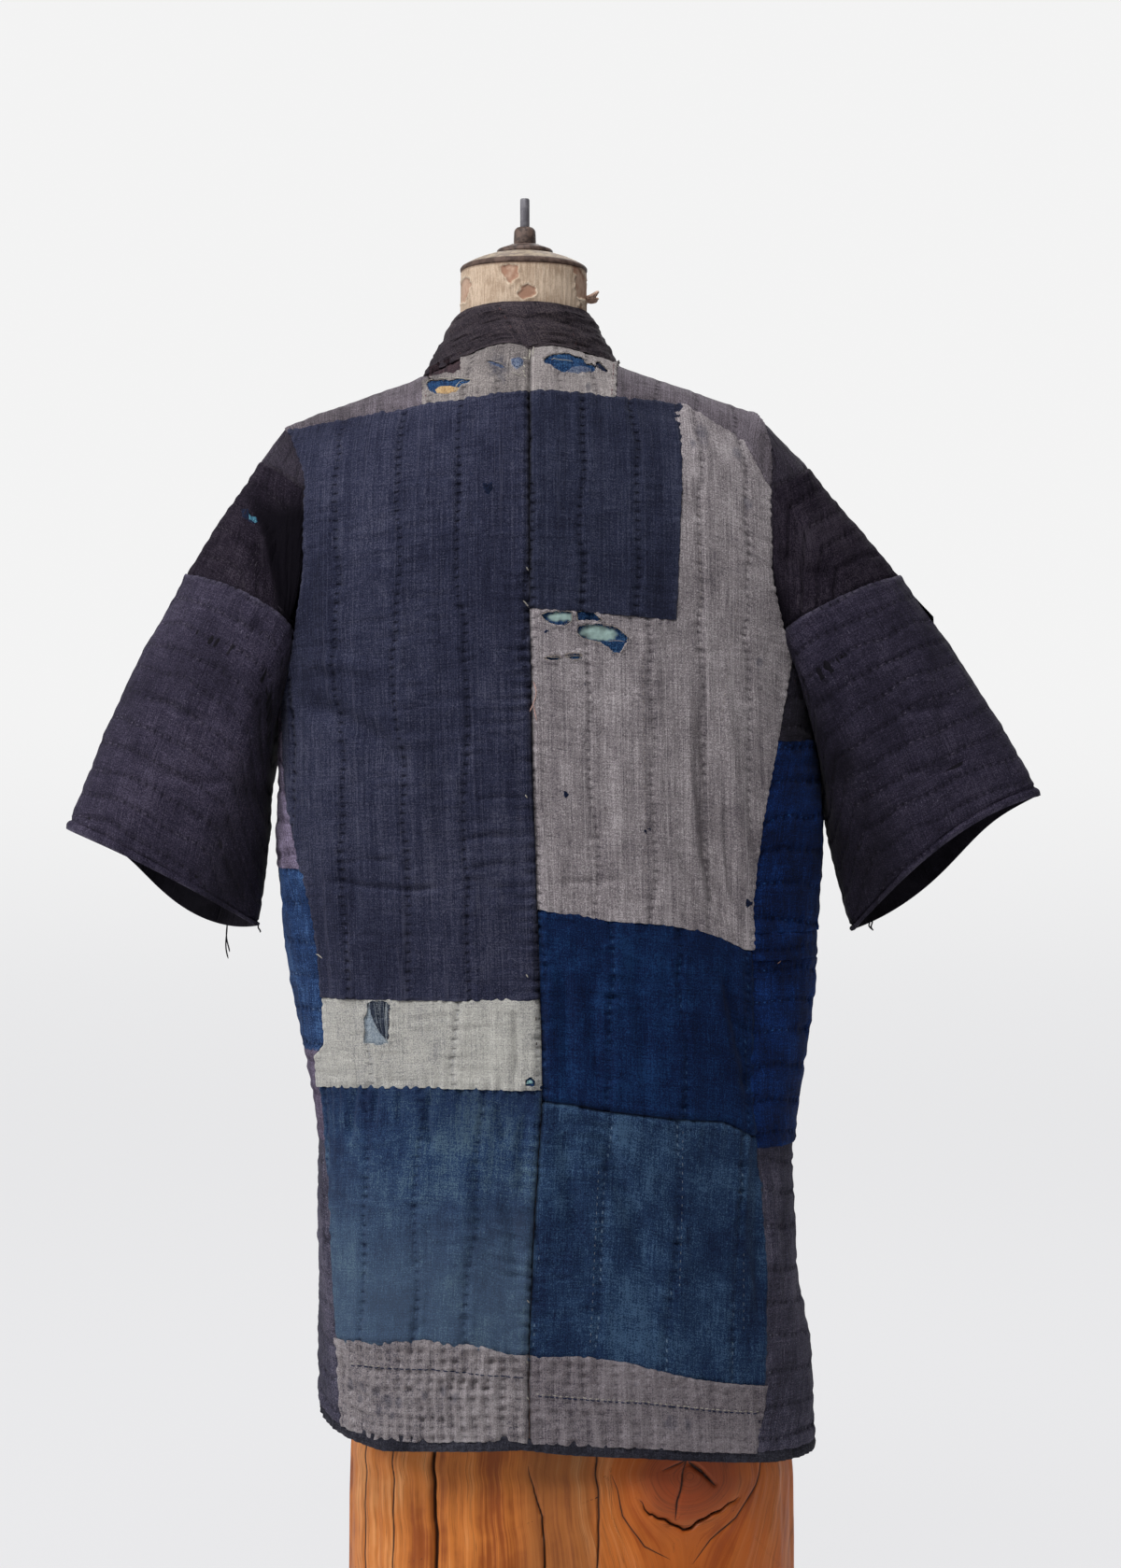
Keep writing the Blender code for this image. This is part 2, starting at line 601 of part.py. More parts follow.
def columns_across(side, start, stop, cells):
    """Across of the back's columns between two places round, just below the yoke."""
    high = np.full(cells + 1, 1.1)
    return shell_round(np.linspace(start, stop, cells + 1), high)[:, 0]


def fixed(x):
    return lambda up: np.full_like(up, x)


def slanted(side, low, high):
    """A line up the neck patch from across low, on the yoke seam, to across high, at the collar."""
    def read(up):
        x0, x1 = np.full_like(up, low), np.full_like(up, high)
        start, stop = back_level(YOKE_BACK[side])(x0), collar_seam(side)(x1)
        return low + (high - low) * np.clip((up - start) / (stop - start), 0, 1)
    return read


def collar_share(side, share):
    """Across of the collar seam at a share of the quarter turn from centre back to the ridge."""
    start = body("seam", 1.0)
    return start + (NECKLINE[side] - start) * math.sin(share * math.pi / 2)


def collar_seam(side):
    """The seam under the collar: it climbs the cap from centre back to the ridge."""
    def read(x):
        start = body("seam", 1.0)
        share = np.clip((x - start) / (NECKLINE[side] - start), 0, 1)
        rise = NECK_ANGLE + (math.pi / 2 - NECK_ANGLE) * np.arcsin(share) / (math.pi / 2)
        return CAP_START + cap_height(x) * rise
    return read


def neck_edge(side):
    """Inner edge of the yoke: the neck patch behind the ridge, the band's seam in front of it."""
    top = CAP_START + cap_height(NECKLINE[side]) * math.pi / 2
    behind = slanted(side, NECK_PATCH[side], NECKLINE[side])

    def read(up):
        x = np.full_like(up, NECKLINE[side])
        for _ in range(6):
            x = band_across(side, height_of(x, up))
        return np.where(up < top, behind(up), x)
    return read


def armhole_edge(side):
    def read(up):
        x = np.full_like(up, ARMHOLE[side]["across"][-1])
        for _ in range(6):
            x = armhole_across(side, height_of(x, up))
        return x
    return read


def patch_rows(side):
    """Heights of the yoke's rows behind the ridge, where the armhole is."""
    top, across = ARMHOLE[side]["height"][-1], ARMHOLE[side]["across"][-1]
    low = float(straight(YOKE_BACK[side], "across", "height", across))
    shared = [z for z in LEVELS[side] if low + LEVEL_MARGIN < z < top - LEVEL_MARGIN]
    return shared or [(low + top) / 2]


def neck_heights(side):
    """Heights of the same rows at the front bands: even steps of cloth from the ridge down."""
    count = sum(YOKE_FRONT < z < ARMHOLE[side]["height"][-1] - LEVEL_MARGIN for z in LEVELS[side])
    x = np.full(count + 2, NECKLINE[side])
    crest = CAP_START + cap_height(x) * math.pi / 2
    ends = crest[0], float(over_ridge(x[0], np.array(YOKE_FRONT)))
    return height_of(x, np.linspace(*ends, count + 2))[1:-1]


def yoke_rows(side):
    """Shares of the way over the yoke, at its neck edge and at the armhole, for every row: the
    neck patch's rows behind, then the ridge, then in front the heights the neighbours share."""
    back, front, top = back_level(YOKE_BACK[side]), front_level(YOKE_FRONT), ARMHOLE[side]["height"][-1]
    share = lambda x, up: float((up - back(x)) / (front(x) - back(x)))
    crest = lambda x: CAP_START + cap_height(x) * math.pi / 2
    behind = patch_rows(side)
    before = [z for z in reversed(LEVELS[side]) if YOKE_FRONT < z < top - LEVEL_MARGIN]
    first, last = [0.0], [0.0]
    inner = slanted(side, NECK_PATCH[side], NECKLINE[side])
    for k, z in enumerate(np.array(behind)):
        x, up = np.array(NECK_PATCH[side]), np.array(1.1)
        for _ in range(12):
            x = inner(up)
            up = back(x) + (k + 1) / (len(behind) + 1) * (collar_seam(side)(x) - back(x))
        first.append(share(x, up))
        hole = armhole_across(side, z)
        last.append(share(hole, up_of(hole, z)))
    for shares, x in ((first, NECKLINE[side]), (last, ARMHOLE[side]["across"][-1])):
        shares.append(share(np.array(x), crest(x)))
    for inner_z, z in zip(neck_heights(side), np.array(before)):
        for shares, height, x in ((first, inner_z, band_across(side, inner_z)),
                                  (last, z, armhole_across(side, z))):
            shares.append(share(x, over_ridge(x, height)))
    return np.array(first), np.array(last)


def make_shoulders():
    thirds = (1 / 3, 2 / 3)
    for side in ("left", "right"):
        patch_round = float(round_of(np.array(NECK_PATCH[side]), np.array(1.1)))
        inner, rows = columns_across(side, 0, patch_round, 3), len(patch_rows(side)) + 1
        back = back_level(YOKE_BACK[side])
        spokes = [slanted(side, low, collar_share(side, t)) for low, t in zip(inner[1:3], thirds)]
        centre, edge = fixed(body("seam", 1.0)), slanted(side, NECK_PATCH[side], NECKLINE[side])
        shoulder(f"neck_patch_{side}", [centre] + spokes + [edge], [back, collar_seam(side)],
                 [1, 1, 1], [(np.arange(rows) / rows,) * 2], GREY_BROWN)
        if side == "left":
            hole_round = float(back_edge("left")(np.array(1.115)))
            outer = columns_across("left", patch_round, hole_round, LEFT_CELLS[1])
            shoulder("yoke_left", [neck_edge("left")] + [fixed(x) for x in outer[1:-1]]
                     + [armhole_edge("left")], [back, front_level(YOKE_FRONT)], [1] * LEFT_CELLS[1],
                     [yoke_rows("left")], OLIVE)
        else:
            beside = columns_across("right", patch_round, float(navy_edge(np.array(1.13))), 2)
            outside = columns_across("right", float(navy_edge(np.array(1.12))),
                                     float(grey_edge(np.array(1.10))), 3)
            grey = of_across(GREY_EDGE)
            columns = [fixed(beside[1]), of_across(NAVY_EDGE)] + [fixed(x) for x in outside[1:-1]]
            tail = lambda x: up_of(x, np.full_like(x, TAIL_BOTTOM))
            shoulder("yoke_right", [neck_edge("right")] + columns + [grey, armhole_edge("right")],
                     [tail, back, front_level(YOKE_FRONT)], [1] * 6,
                     [(np.zeros(1), np.zeros(1)), yoke_rows("right")], OLIVE,
                     blocks={(c, 0) for c in range(5)})


def collar_lines(side, place):
    """Sewn and free edge of the collar: place 0 centre back, 1 at the ridge, 2 the V's end, 3 hem."""
    sign = 1 if side == "left" else -1
    seam0, seam_x = body("seam", 1.0), NECKLINE[side]
    turn = np.clip(place, 0, 1) * math.pi / 2
    x = seam0 + (seam_x - seam0) * np.sin(turn)
    rise = NECK_ANGLE + (math.pi / 2 - NECK_ANGLE) * np.clip(place, 0, 1)
    behind = shell_over(x, CAP_START + cap_height(x) * rise)
    hem = smooth(HEM, "round", "height", sign * 1.85)
    z = np.interp(place, (1, 2, 3), (float(ridge(seam_x)), V_BOTTOM, float(hem)))
    xf = band_across(side, z)
    front = np.stack([xf, -depth(xf, z, True), z], -1)
    sewn = np.where((place <= 1)[..., None], behind, front)
    # free edge: round the neck, then from the neck down on to the chest
    radius = NECK_RADIUS + COLLAR_STAND + 0.030 * np.clip(place - 1, 0, 1)
    swing = np.clip(place, 0, 1.55) * math.pi / 2
    neck = np.stack([NECK_X + sign * radius * np.sin(swing), radius * np.cos(swing),
                     1.2205 - 0.008 * np.clip(place, 0, 1) ** 2 - 0.13 * np.clip(place - 1, 0, 1)], -1)
    drop = z - 0.006 * np.clip(3 - place, 0, 1)
    free_x = xf - sign * BAND_WIDTH * np.interp(place, (1, 1.6, 2), (.93, .97, 1.0))
    chest = np.stack([free_x, -depth(free_x, drop, True) - 0.002, drop], -1)
    share = np.clip((place - 1) / 0.85, 0, 1)
    share = (share * share * (3 - 2 * share))[..., None]
    return sewn, np.where((place <= 1)[..., None], neck, neck * (1 - share) + chest * share)


def collar_surface(side, place, width, gap):
    """Strip between the two edges, with a soft roll outwards across its width."""
    sewn, free = collar_lines(side, place)
    run = free - sewn
    length = np.linalg.norm(run, axis=-1, keepdims=True)
    reach = gap / length + width[..., None] * (1 - gap / length)
    return sewn + run * reach


def collar_part(name, side, place, colour, both=False):
    """A stretch of the collar at the given places along it, two cells wide."""
    grid_place, grid_width = np.meshgrid(place, np.linspace(0, 1, 3))
    if both:
        left = collar_surface("left", grid_place, grid_width, COLLAR_GAP)
        right = collar_surface("right", grid_place, grid_width, COLLAR_GAP)
        points = np.concatenate([right[:, :0:-1], left], axis=1)
    else:
        points = collar_surface(side, grid_place, grid_width, COLLAR_GAP)
    along = np.gradient(points, axis=1)
    across = np.gradient(points, axis=0)
    normal = np.cross(along, across)
    normal /= np.linalg.norm(normal, axis=-1, keepdims=True)
    outward = points - (NECK_X, 0.0, 1.0)
    if (normal * outward * (1, 1, 0)).sum() > 0:
        normal = -normal
    x, z = points[0, :, 0], points[0, :, 2]
    up = np.where(points[0, :, 1] > 0, up_of(x, z), over_ridge(x, z))
    beside = facing_in(shell_over(x, up), inward_of(shell_over, x, up), (NECK_X, 0, 0))
    normal[0] = beside
    return wall(name, points, normal, colour)


def make_collar():
    collar_part("collar", None, np.array([0, 1 / 3, 2 / 3, 0.985]), SLEEVE_CLOTH, both=True)
    for side in ("left", "right"):
        sign = 1 if side == "left" else -1
        top, hem = float(ridge(NECKLINE[side])), float(smooth(HEM, "round", "height", sign * 1.85))
        heights = list(neck_heights(side)) + [z for z in reversed(LEVELS[side])
                                              if hem + LEVEL_MARGIN < z <= YOKE_FRONT]
        place = np.interp(heights, (hem, V_BOTTOM, top), (3, 2, 1))
        collar_part(f"band_{side}", side, np.concatenate([[1.012], place, [3.0]]), SLEEVE_CLOTH)


def sleeve_point(side, turn, along, grow=0.0):
    """Sleeve tube.  turn: 0 on the shoulder, pi/2 behind, pi under the arm.  along: 0 at the
    armhole, 1 at the cuff.  A quadratic curve runs from each armhole point to its cuff point."""
    sleeve, hole = SLEEVE[side], ARMHOLE[side]
    low, high = hole["height"][0], hole["height"][-1]
    z = (low + high) / 2 + (high - low) / 2 * np.cos(turn)
    x = armhole_across(side, z)
    behind = np.sin(turn) >= 0
    y = np.where(behind, 1, -1) * depth(x, z, ~behind)
    sign = 1 if side == "left" else -1
    start = np.stack([x + sign * UNDERARM_EASE * (1 - np.cos(turn)) / 2, y, z], -1)
    outer, inner = (np.array([s[0], 0.0, s[1]]) for s in (sleeve["outer"], sleeve["inner"]))
    axis = (outer + inner) / 2 - (start_top(side) + start_low(side)) / 2
    out = np.cross(axis, (0, 1, 0))
    out *= np.sign(out[2]) / np.linalg.norm(out)
    wave, side_way = np.cos(turn)[..., None], np.sin(turn)
    end = (outer + inner) / 2 + (outer - inner) / 2 * wave
    inner_lean = 1 - 0.45 * np.cos(turn)
    lift = np.where(behind, sleeve["back_rise"], -sleeve["front_drop"] * inner_lean) * side_way ** 2
    end = end + np.stack([0 * turn, CUFF_DEPTH * np.sign(side_way) * np.abs(side_way) ** 0.85, lift], -1)
    bow = sleeve["bow_in"] + (sleeve["bow_out"] - sleeve["bow_in"]) * (1 + wave) / 2
    mid = (start + end) / 2 + 2 * bow * out
    mid = mid + np.stack([0 * turn, 2 * SLEEVE_FULLNESS * side_way, 0 * turn], -1)
    t = along[..., None]
    point = (1 - t) ** 2 * start + 2 * t * (1 - t) * mid + t * t * end
    if grow:
        round_out = (np.stack([np.zeros_like(turn), side_way, np.zeros_like(turn)], -1)
                     + out * np.maximum(wave, 0))
        point = point + grow * round_out * (1 - t)
    return point


def start_top(side):
    hole = ARMHOLE[side]
    return np.array([hole["across"][-1], 0.0, hole["height"][-1]])


def start_low(side):
    hole = ARMHOLE[side]
    return np.array([hole["across"][0], 0.0, hole["height"][0]])


def turn_at(side, height):
    low, high = ARMHOLE[side]["height"][0], ARMHOLE[side]["height"][-1]
    return np.arccos(np.clip((2 * np.asarray(height) - low - high) / (high - low), -1, 1))


def seam_along(side, which, turn):
    """Where a sleeve seam lies along the tube: farthest on the shoulder, almost nil at its end."""
    reach, height = SLEEVE[side][which]
    share = np.abs((turn + math.pi) % (2 * math.pi) - math.pi) / turn_at(side, height)
    return np.where(share > 1.001, 0, SEAM_END + (reach - SEAM_END) * (1 - np.clip(share, 0, 1) ** 2))


def body_inward(side, turn):
    """The body wall's own inward direction beside each armhole point."""
    low, high = ARMHOLE[side]["height"][0], ARMHOLE[side]["height"][-1]
    z = np.clip((low + high) / 2 + (high - low) / 2 * np.cos(turn), low + 0.002, high - 0.0008)
    x = armhole_across(side, z)
    up = np.where(np.sin(turn) >= 0, up_of(x, z), over_ridge(x, z))
    return facing_in(shell_over(x, up), inward_of(shell_over, x, up), (NECK_X, 0, 0))


def sleeve_wall(name, side, turn, low, high, shares, colour, closed=False, grow=0.0):
    grid_turn, share = np.meshgrid(turn, shares)
    low_line, high_line = low(grid_turn), high(grid_turn)
    half_gap = GAP / 2 / SLEEVE_LENGTH
    low_line = np.where(low_line < SEAM_END / 2, ARMHOLE_GAP, low_line + half_gap)
    along = low_line + (high_line - half_gap - low_line) * share
    surface = lambda a, b: sleeve_point(side, a, b, grow)
    points = surface(grid_turn, along)
    normal = inward_of(surface, grid_turn, along, 1e-3)
    hub = points.mean(axis=1, keepdims=True)
    if ((hub - points) * normal).sum() < 0:
        normal = -normal
    beside = body_inward(side, grid_turn)
    alike = np.clip((normal * beside).sum(-1, keepdims=True), 0, 1)
    near = np.clip(1 - along / MITRE_REACH, 0, 1)[..., None] * np.clip(1.8 * alike, 0, 1)
    normal = normal * (1 - near) + beside * near
    normal /= np.linalg.norm(normal, axis=-1, keepdims=True)
    return wall(name, points, normal, colour, closed=closed)


def make_sleeves():
    for side in ("left", "right"):
        low, high = ARMHOLE[side]["height"][0], ARMHOLE[side]["height"][-1]
        behind = turn_at(side, [z for z in reversed(LEVELS[side]) if low + .001 < z < high - LEVEL_MARGIN])
        full = np.concatenate([[0.0], behind, [math.pi], 2 * math.pi - behind[::-1]])
        over = lambda end: np.concatenate([-behind[behind < end + 1e-6][::-1], [0.0],
                                           behind[behind < end + 1e-6]])
        cap_seam = lambda turn: seam_along(side, "cap", turn)
        middle_seam = lambda turn: seam_along(side, "middle", turn)
        hole = lambda turn: np.zeros_like(turn)
        cuff = lambda turn: np.ones_like(turn)
        cap_end, middle_end = (turn_at(side, SLEEVE[side][key][1]) for key in ("cap", "middle"))
        sleeve_wall(f"sleeve_cap_{side}", side, over(cap_end), hole, cap_seam, (0, .5, 1), SLEEVE_CLOTH)
        sleeve_wall(f"sleeve_upper_{side}", side, over(middle_end), cap_seam, middle_seam,
                    (0, .2, .6, 1), SLEEVE_CLOTH)
        sleeve_wall(f"sleeve_lower_{side}", side, full, middle_seam, cuff, (0, .08, .28, .52, .76, 1),
                    SLEEVE_CLOTH, closed=True, grow=SEAM_STEP)


def loft(name, rings, colour, roughness=0.8, metallic=0.0):
    """A closed solid through rings of equal point count, with flat ends."""
    rows, columns = rings.shape[:2]
    corner = lambda r, c: r * columns + c % columns
    faces = [(corner(r, c), corner(r, c + 1), corner(r + 1, c + 1), corner(r + 1, c))
             for r in range(rows - 1) for c in range(columns)]
    faces += [tuple(range(columns))[::-1], tuple(corner(rows - 1, c) for c in range(columns))]
    return add_object(name, rings.reshape(-1, 3), faces, colour, roughness, metallic)


def make_form():
    """Rings of the dress form: an oval body that narrows over the shoulders into the neck."""
    turn = np.linspace(0, 2 * math.pi, 28, endpoint=False)
    top = FORM["height"][-1]
    rings = []
    for z in FORM["height"] + (FORM_MIDWAY,) + FORM_NECK["height"]:
        share = np.clip((z - top) / FORM_BLEND, 0, 1)
        half, back, front = ((1 - share) * smooth(FORM, "height", column, z)
                             + share * smooth(FORM_NECK, "height", column, z)
                             for column in ("half", "back", "front"))
        mid = NECK_X if z > top else smooth(FORM, "height", "centre", z)
        deep = np.where(np.sin(turn) >= 0, back, front)
        cosine = np.sign(np.cos(turn)) * np.abs(np.cos(turn)) ** FORM_ROUND
        sine = np.sign(np.sin(turn)) * np.abs(np.sin(turn)) ** FORM_ROUND
        rings.append(np.stack([mid + half * cosine, deep * sine, np.full_like(turn, z)], -1))
    loft("dress_form", np.array(rings), FORM_CLOTH)


def turned(name, profile, x, y, colour, sides=20, roughness=0.5, metallic=0.8):
    """A turned solid from its radius at each height."""
    turn = np.linspace(0, 2 * math.pi, sides, endpoint=False)
    rings = [np.stack([x + r * np.cos(turn), y + r * np.sin(turn), np.full_like(turn, z)], -1)
             for r, z in profile]
    return loft(name, np.array(rings), colour, roughness, metallic)


def make_finial():
    """Domed cap on the neck, and on it a flange, a hub and a short rod."""
    base = NECK_TOP
    turned("neck_cap", ((.0554, base + .0003), (.0560, base + .0015), (.0550, base + .0042),
                        (.0500, base + .0078), (.0400, base + .0124), (.0255, base + .0165)),
           NECK_X, 0.0, IRON, roughness=.7, metallic=0)
    plate = base + .0168
    turned("finial_flange", ((.0243, plate), (.0250, plate + .0015), (.0240, plate + .0040),
                             (.0130, plate + .0085)), NECK_X - .001, 0.0, IRON)
    hub = plate + .0088
    turned("finial_hub", ((.0092, hub), (.0098, hub + .0020), (.0095, hub + .0120), (.0072, hub + .0150)),
           NECK_X - .001, 0.0, IRON)
    rod = hub + .0153
    turned("finial_rod", ((.0042, rod), (.0042, rod + .0245), (.0036, rod + .0256)), NECK_X - .001, 0.0, IRON)


def make_stump():
    """A trunk of soft oval section, with a few shallow lobes, standing on its flat cut end."""
    turn = np.linspace(0, 2 * math.pi, 40, endpoint=False)
    rings = []
    for z in (0, .012, .06, .12, .18, .26, .34, .42, .488, STUMP_TOP):
        half, deep = smooth(STUMP, "height", "half", z), smooth(STUMP, "height", "depth", z)
        mid = smooth(STUMP, "height", "centre", z)
        lobes = 1 + 0.020 * np.cos(3 * turn + 0.6) + 0.012 * np.cos(5 * turn + 2.0 + 2 * z)
        lobes = 1 + (lobes - 1) * np.abs(np.sin(turn))
        rings.append(np.stack([mid + half * np.cos(turn), deep * lobes * np.sin(turn),
                               np.full_like(turn, z)], -1))
    loft("stump", np.array(rings), WOOD, roughness=0.35)


def main():
    for old in list(bpy.data.objects):
        bpy.data.objects.remove(old, do_unlink=True)
    make_back()
    make_sides()
    make_fronts()
    make_hem()
    make_shoulders()
    make_collar()
    make_sleeves()
    make_form()
    make_finial()
    make_stump()


main()
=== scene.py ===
"""The patched work jacket on its dress form and stump: the visible cloth, threads, form and wood.

Metres, +Z up; the jacket's back faces +Y and the wearer's left is +X.  Each piece of cloth is a
thin shell worked out on a grid over the same body, sleeve and collar forms as the frame's solids.
"""
import math

import bpy
import numpy as np
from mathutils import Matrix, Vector


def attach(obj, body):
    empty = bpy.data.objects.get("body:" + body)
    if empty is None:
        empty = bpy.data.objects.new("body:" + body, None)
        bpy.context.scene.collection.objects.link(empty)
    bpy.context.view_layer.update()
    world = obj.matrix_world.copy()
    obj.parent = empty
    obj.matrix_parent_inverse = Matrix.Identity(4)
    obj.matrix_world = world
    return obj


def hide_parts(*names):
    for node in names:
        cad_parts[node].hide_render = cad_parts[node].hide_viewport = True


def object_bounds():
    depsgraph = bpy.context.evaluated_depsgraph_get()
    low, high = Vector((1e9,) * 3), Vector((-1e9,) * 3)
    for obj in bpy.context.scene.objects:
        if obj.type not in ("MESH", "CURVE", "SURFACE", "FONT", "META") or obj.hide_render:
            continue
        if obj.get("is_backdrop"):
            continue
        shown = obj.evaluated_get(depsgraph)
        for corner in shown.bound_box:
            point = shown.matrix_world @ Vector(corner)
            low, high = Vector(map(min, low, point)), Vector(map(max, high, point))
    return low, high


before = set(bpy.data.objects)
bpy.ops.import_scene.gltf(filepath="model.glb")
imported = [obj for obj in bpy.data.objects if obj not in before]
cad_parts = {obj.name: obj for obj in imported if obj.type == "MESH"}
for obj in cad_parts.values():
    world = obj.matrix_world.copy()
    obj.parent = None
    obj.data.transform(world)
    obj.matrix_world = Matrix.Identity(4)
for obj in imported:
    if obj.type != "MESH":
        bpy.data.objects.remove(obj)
FRAME_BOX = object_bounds()

# ------------------------------------------------------------------ named sizes of the garment
WALL = .0024                # thickness shown at the edges of the cloth
RETURN = .007               # cloth turned in along the edges
TORN_WALL = .0007           # thickness shown where one layer is torn
TORN_RETURN = .0012
CLOSER = 2.0                # how much closer the grid is round torn places
CELL = .0019                # grid of the back, sleeves and collar
PLAIN_CELL = .0038          # grid of the fronts and of what lies under the arms
OVERLAP = .003              # how far a lower piece runs on under the one sewn over it
NECK_X = .0445              # the dress form's axis
NECK_RADIUS = .056          # the form's neck at its top
NECK_TOP = 1.2555           # height at which the form's cloth ends
CAP_START = .95             # above this the body rounds over to the shoulders
CAP_POWER = 3.0             # how squarely it rounds over
OPENING = 1.5               # front panels begin this far round
YOKE_FRONT = 1.06           # height of the seam below the yoke at the front
BAND_WIDTH = .058           # of the bands down the front edges
V_BOTTOM = .93              # where the neck's slope ends and the front bands hang straight
ROUND_PER_METRE = 3.6       # places round the body in a metre of cloth
SECTION_POWER = 2.4         # how square the body's section is: 2 is an ellipse
BACK_SEAM_DEPTH = .0015     # the centre back seam pulls in a little
TAIL_BOTTOM = 1.06          # the right yoke's narrow tail beside the armhole
NECK_ANGLE = math.radians(59.0)  # how far up the cap the neck's seam is at centre back
SLEEVE_LENGTH = .42         # measure of the sleeves' patterns along the sleeve
CUFF_DEPTH = .036           # half the cuff's depth from front to back
SLEEVE_FULLNESS = .012      # extra depth halfway along a sleeve
UNDERARM_EASE = .0015       # the sleeve hangs this clear of the side
SEAM_END = .006             # how far along the sleeve its cross seams end at the armhole
STITCH = .0081              # from one running stitch to the next
NOTCH = .0074               # from one overcast stitch at a patch's edge to the next

# the body at each height: the two sides, the back seam, and the depth behind and in front
BODY = dict(
    height=(.15, .3, .375, .425, .475, .537, .625, .708, .746, .8, .86, .885, .95),
    left=(.223, .2258, .2252, .226, .225, .2335, .2502, .26, .264, .262, .262, .2655, .273),
    right=(-.217, -.211, -.199, -.1965, -.195, -.203, -.214, -.2185, -.2215, -.219,
           -.2145, -.2125, -.2135),
    seam=(.036, .0385, .036, .034, .031, .0276, .0293, .032, .033, .035, .036, .0365, .038),
    back=(.125, .124, .121, .118, .116, .113, .108, .109, .111, .115, .118, .119, .12),
    front=(.123, .122, .12, .118, .116, .114, .112, .114, .116, .119, .122, .123, .124),
)
RIDGE = dict(peak=1.2075, slope=.37, blend=.05, rise=.027, rise_width=.055)
RIDGE_DROP_LEFT = .0095
ARMHOLE = {
    "left": dict(height=(.86, .885, .935, .994, 1.06, 1.1, 1.1176),
                 across=(.262, .253, .242, .2345, .2345, .246, .256)),
    "right": dict(height=(.885, .897, .912, .935, .994, 1.06, 1.09, 1.112, 1.1292),
                  across=(-.2125, -.202, -.19, -.181, -.17, -.1705, -.171, -.1675, -.161)),
}
SIDE_SEAM = {
    "left": dict(height=(.2, .285, .375, .454, .525, .562, .574, .65, .694, .727,
                         .755, .782, .82, .872),
                 across=(.196, .2045, .212, .2175, .2235, .226, .2165, .2215, .229, .239,
                         .246, .252, .256, .2575)),
    "right": dict(height=(.2, .285, .375, .454, .515, .61, .648, .7, .77, .838, .912),
                  across=(-.153, -.1675, -.1715, -.1655, -.1565, -.156, -.1555, -.1535, -.163,
                          -.1765, -.19)),
}
HEM = dict(round=(-2.0, -1.5, -1.0, -.64, -.5, -.25, -.07, .02, .3, .47, .6, .8, 1.0, 1.3, 2.0),
           height=(.214, .2145, .2125, .214, .218, .2265, .2308, .2347, .2318, .229, .2335,
                   .2415, .256, .244, .226))
SEAM = {
    "binding": dict(round=(-2.0, -1.5, -1.0, -.56, -.46, -.2, 0, .06, .51, .8, 1.0, 1.3, 2.0),
                    height=(.224, .2245, .2222, .2252, .229, .2374, .2408, .2432, .2388, .2512,
                            .266, .2545, .237)),
    "hem_patch_left": dict(round=(0, .06, .143, .306, .65, .77, 1.0),
                           height=(.3133, .315, .322, .3256, .3178, .318, .318)),
    "hem_patch_right": dict(round=(-1.0, -.62, -.47, -.356, -.22, -.126, 0),
                            height=(.276, .2796, .2855, .2935, .3073, .3127, .3133)),
    "cream_bottom": dict(round=(0, .31, .81, 1.0), height=(.5394, .541, .536, .535)),
    "cream_top": dict(round=(0, .05, .64, 1.0), height=(.617, .6156, .6154, .615)),
    "blue_bottom": dict(round=(-1.0, -.604, -.49, -.336, -.153, -.074, 0),
                        height=(.478, .4957, .5089, .5132, .5206, .5266, .529)),
    "grey_bottom": dict(round=(-1.0, -.56, -.515, -.44, -.37, -.29, -.15, 0),
                        height=(.65, .657, .658, .6687, .675, .6804, .684, .6937)),
    "navy_right_bottom": dict(round=(-1.0, -.326, 0), height=(.93, .941, .9505)),
}
YOKE_BACK = {
    "left": dict(across=(.04, .256), height=(1.1385, 1.1125)),
    "right": dict(across=(-.166, -.1474, -.0937, .04), height=(1.0915, 1.098, 1.132, 1.1375)),
}
SIDE_LEVEL = {
    "left": dict(charcoal=.488, thin=.568, blue=.727),
    "right": dict(charcoal=.485, navy=.648, strip=.672, blue=.838),
}
NAVY_EDGE = dict(height=(.93, .941, 1.1295, 1.2), across=(-.0854, -.0859, -.0937, -.096))
GREY_EDGE = dict(height=(1.06, 1.098, 1.14), across=(-.168, -.1474, -.132))
NECK_PATCH = {"left": .1305, "right": -.035}
NECKLINE = {"left": .1345, "right": -.039}
SLEEVE = {
    "left": dict(outer=(.452, .7605), inner=(.2815, .6735), bow_out=.016, bow_in=-.002,
                 back_rise=.006, front_drop=.022, cap=(.095, 1.06), middle=(.385, .935)),
    "right": dict(outer=(-.416, .79), inner=(-.248, .669), bow_out=.016, bow_in=-.0078,
                  back_rise=.022, front_drop=.014, cap=(.16, 1.06), middle=(.45, .935)),
}


# ------------------------------------------------------------------ reading the tables
def smooth(table, key, column, where):
    """Value of a column at each place: a cubic through the rows whose slope at a row is the
    harmonic mean of the slopes beside it, so it never overshoots."""
    x, y = np.asarray(table[key], float), np.asarray(table[column], float)
    where = np.clip(np.asarray(where, float), x[0], x[-1])
    step, slope = np.diff(x), np.diff(y) / np.diff(x)
    a, b = slope[:-1], slope[1:]
    inner = np.where(a * b > 0, 2 * a * b / np.where(a + b == 0, 1, a + b), 0)
    tangent = np.concatenate(([slope[0]], inner, [slope[-1]]))
    i = np.clip(np.searchsorted(x, where, "right") - 1, 0, len(x) - 2)
    t = (where - x[i]) / step[i]
    return (y[i] * (1 + 2 * t) * (1 - t) ** 2 + y[i + 1] * t * t * (3 - 2 * t)
            + step[i] * (tangent[i] * t * (1 - t) ** 2 + tangent[i + 1] * t * t * (t - 1)))


def straight(table, key, column, where):
    return np.interp(where, table[key], table[column])


def body(column, z):
    return smooth(BODY, "height", column, z)


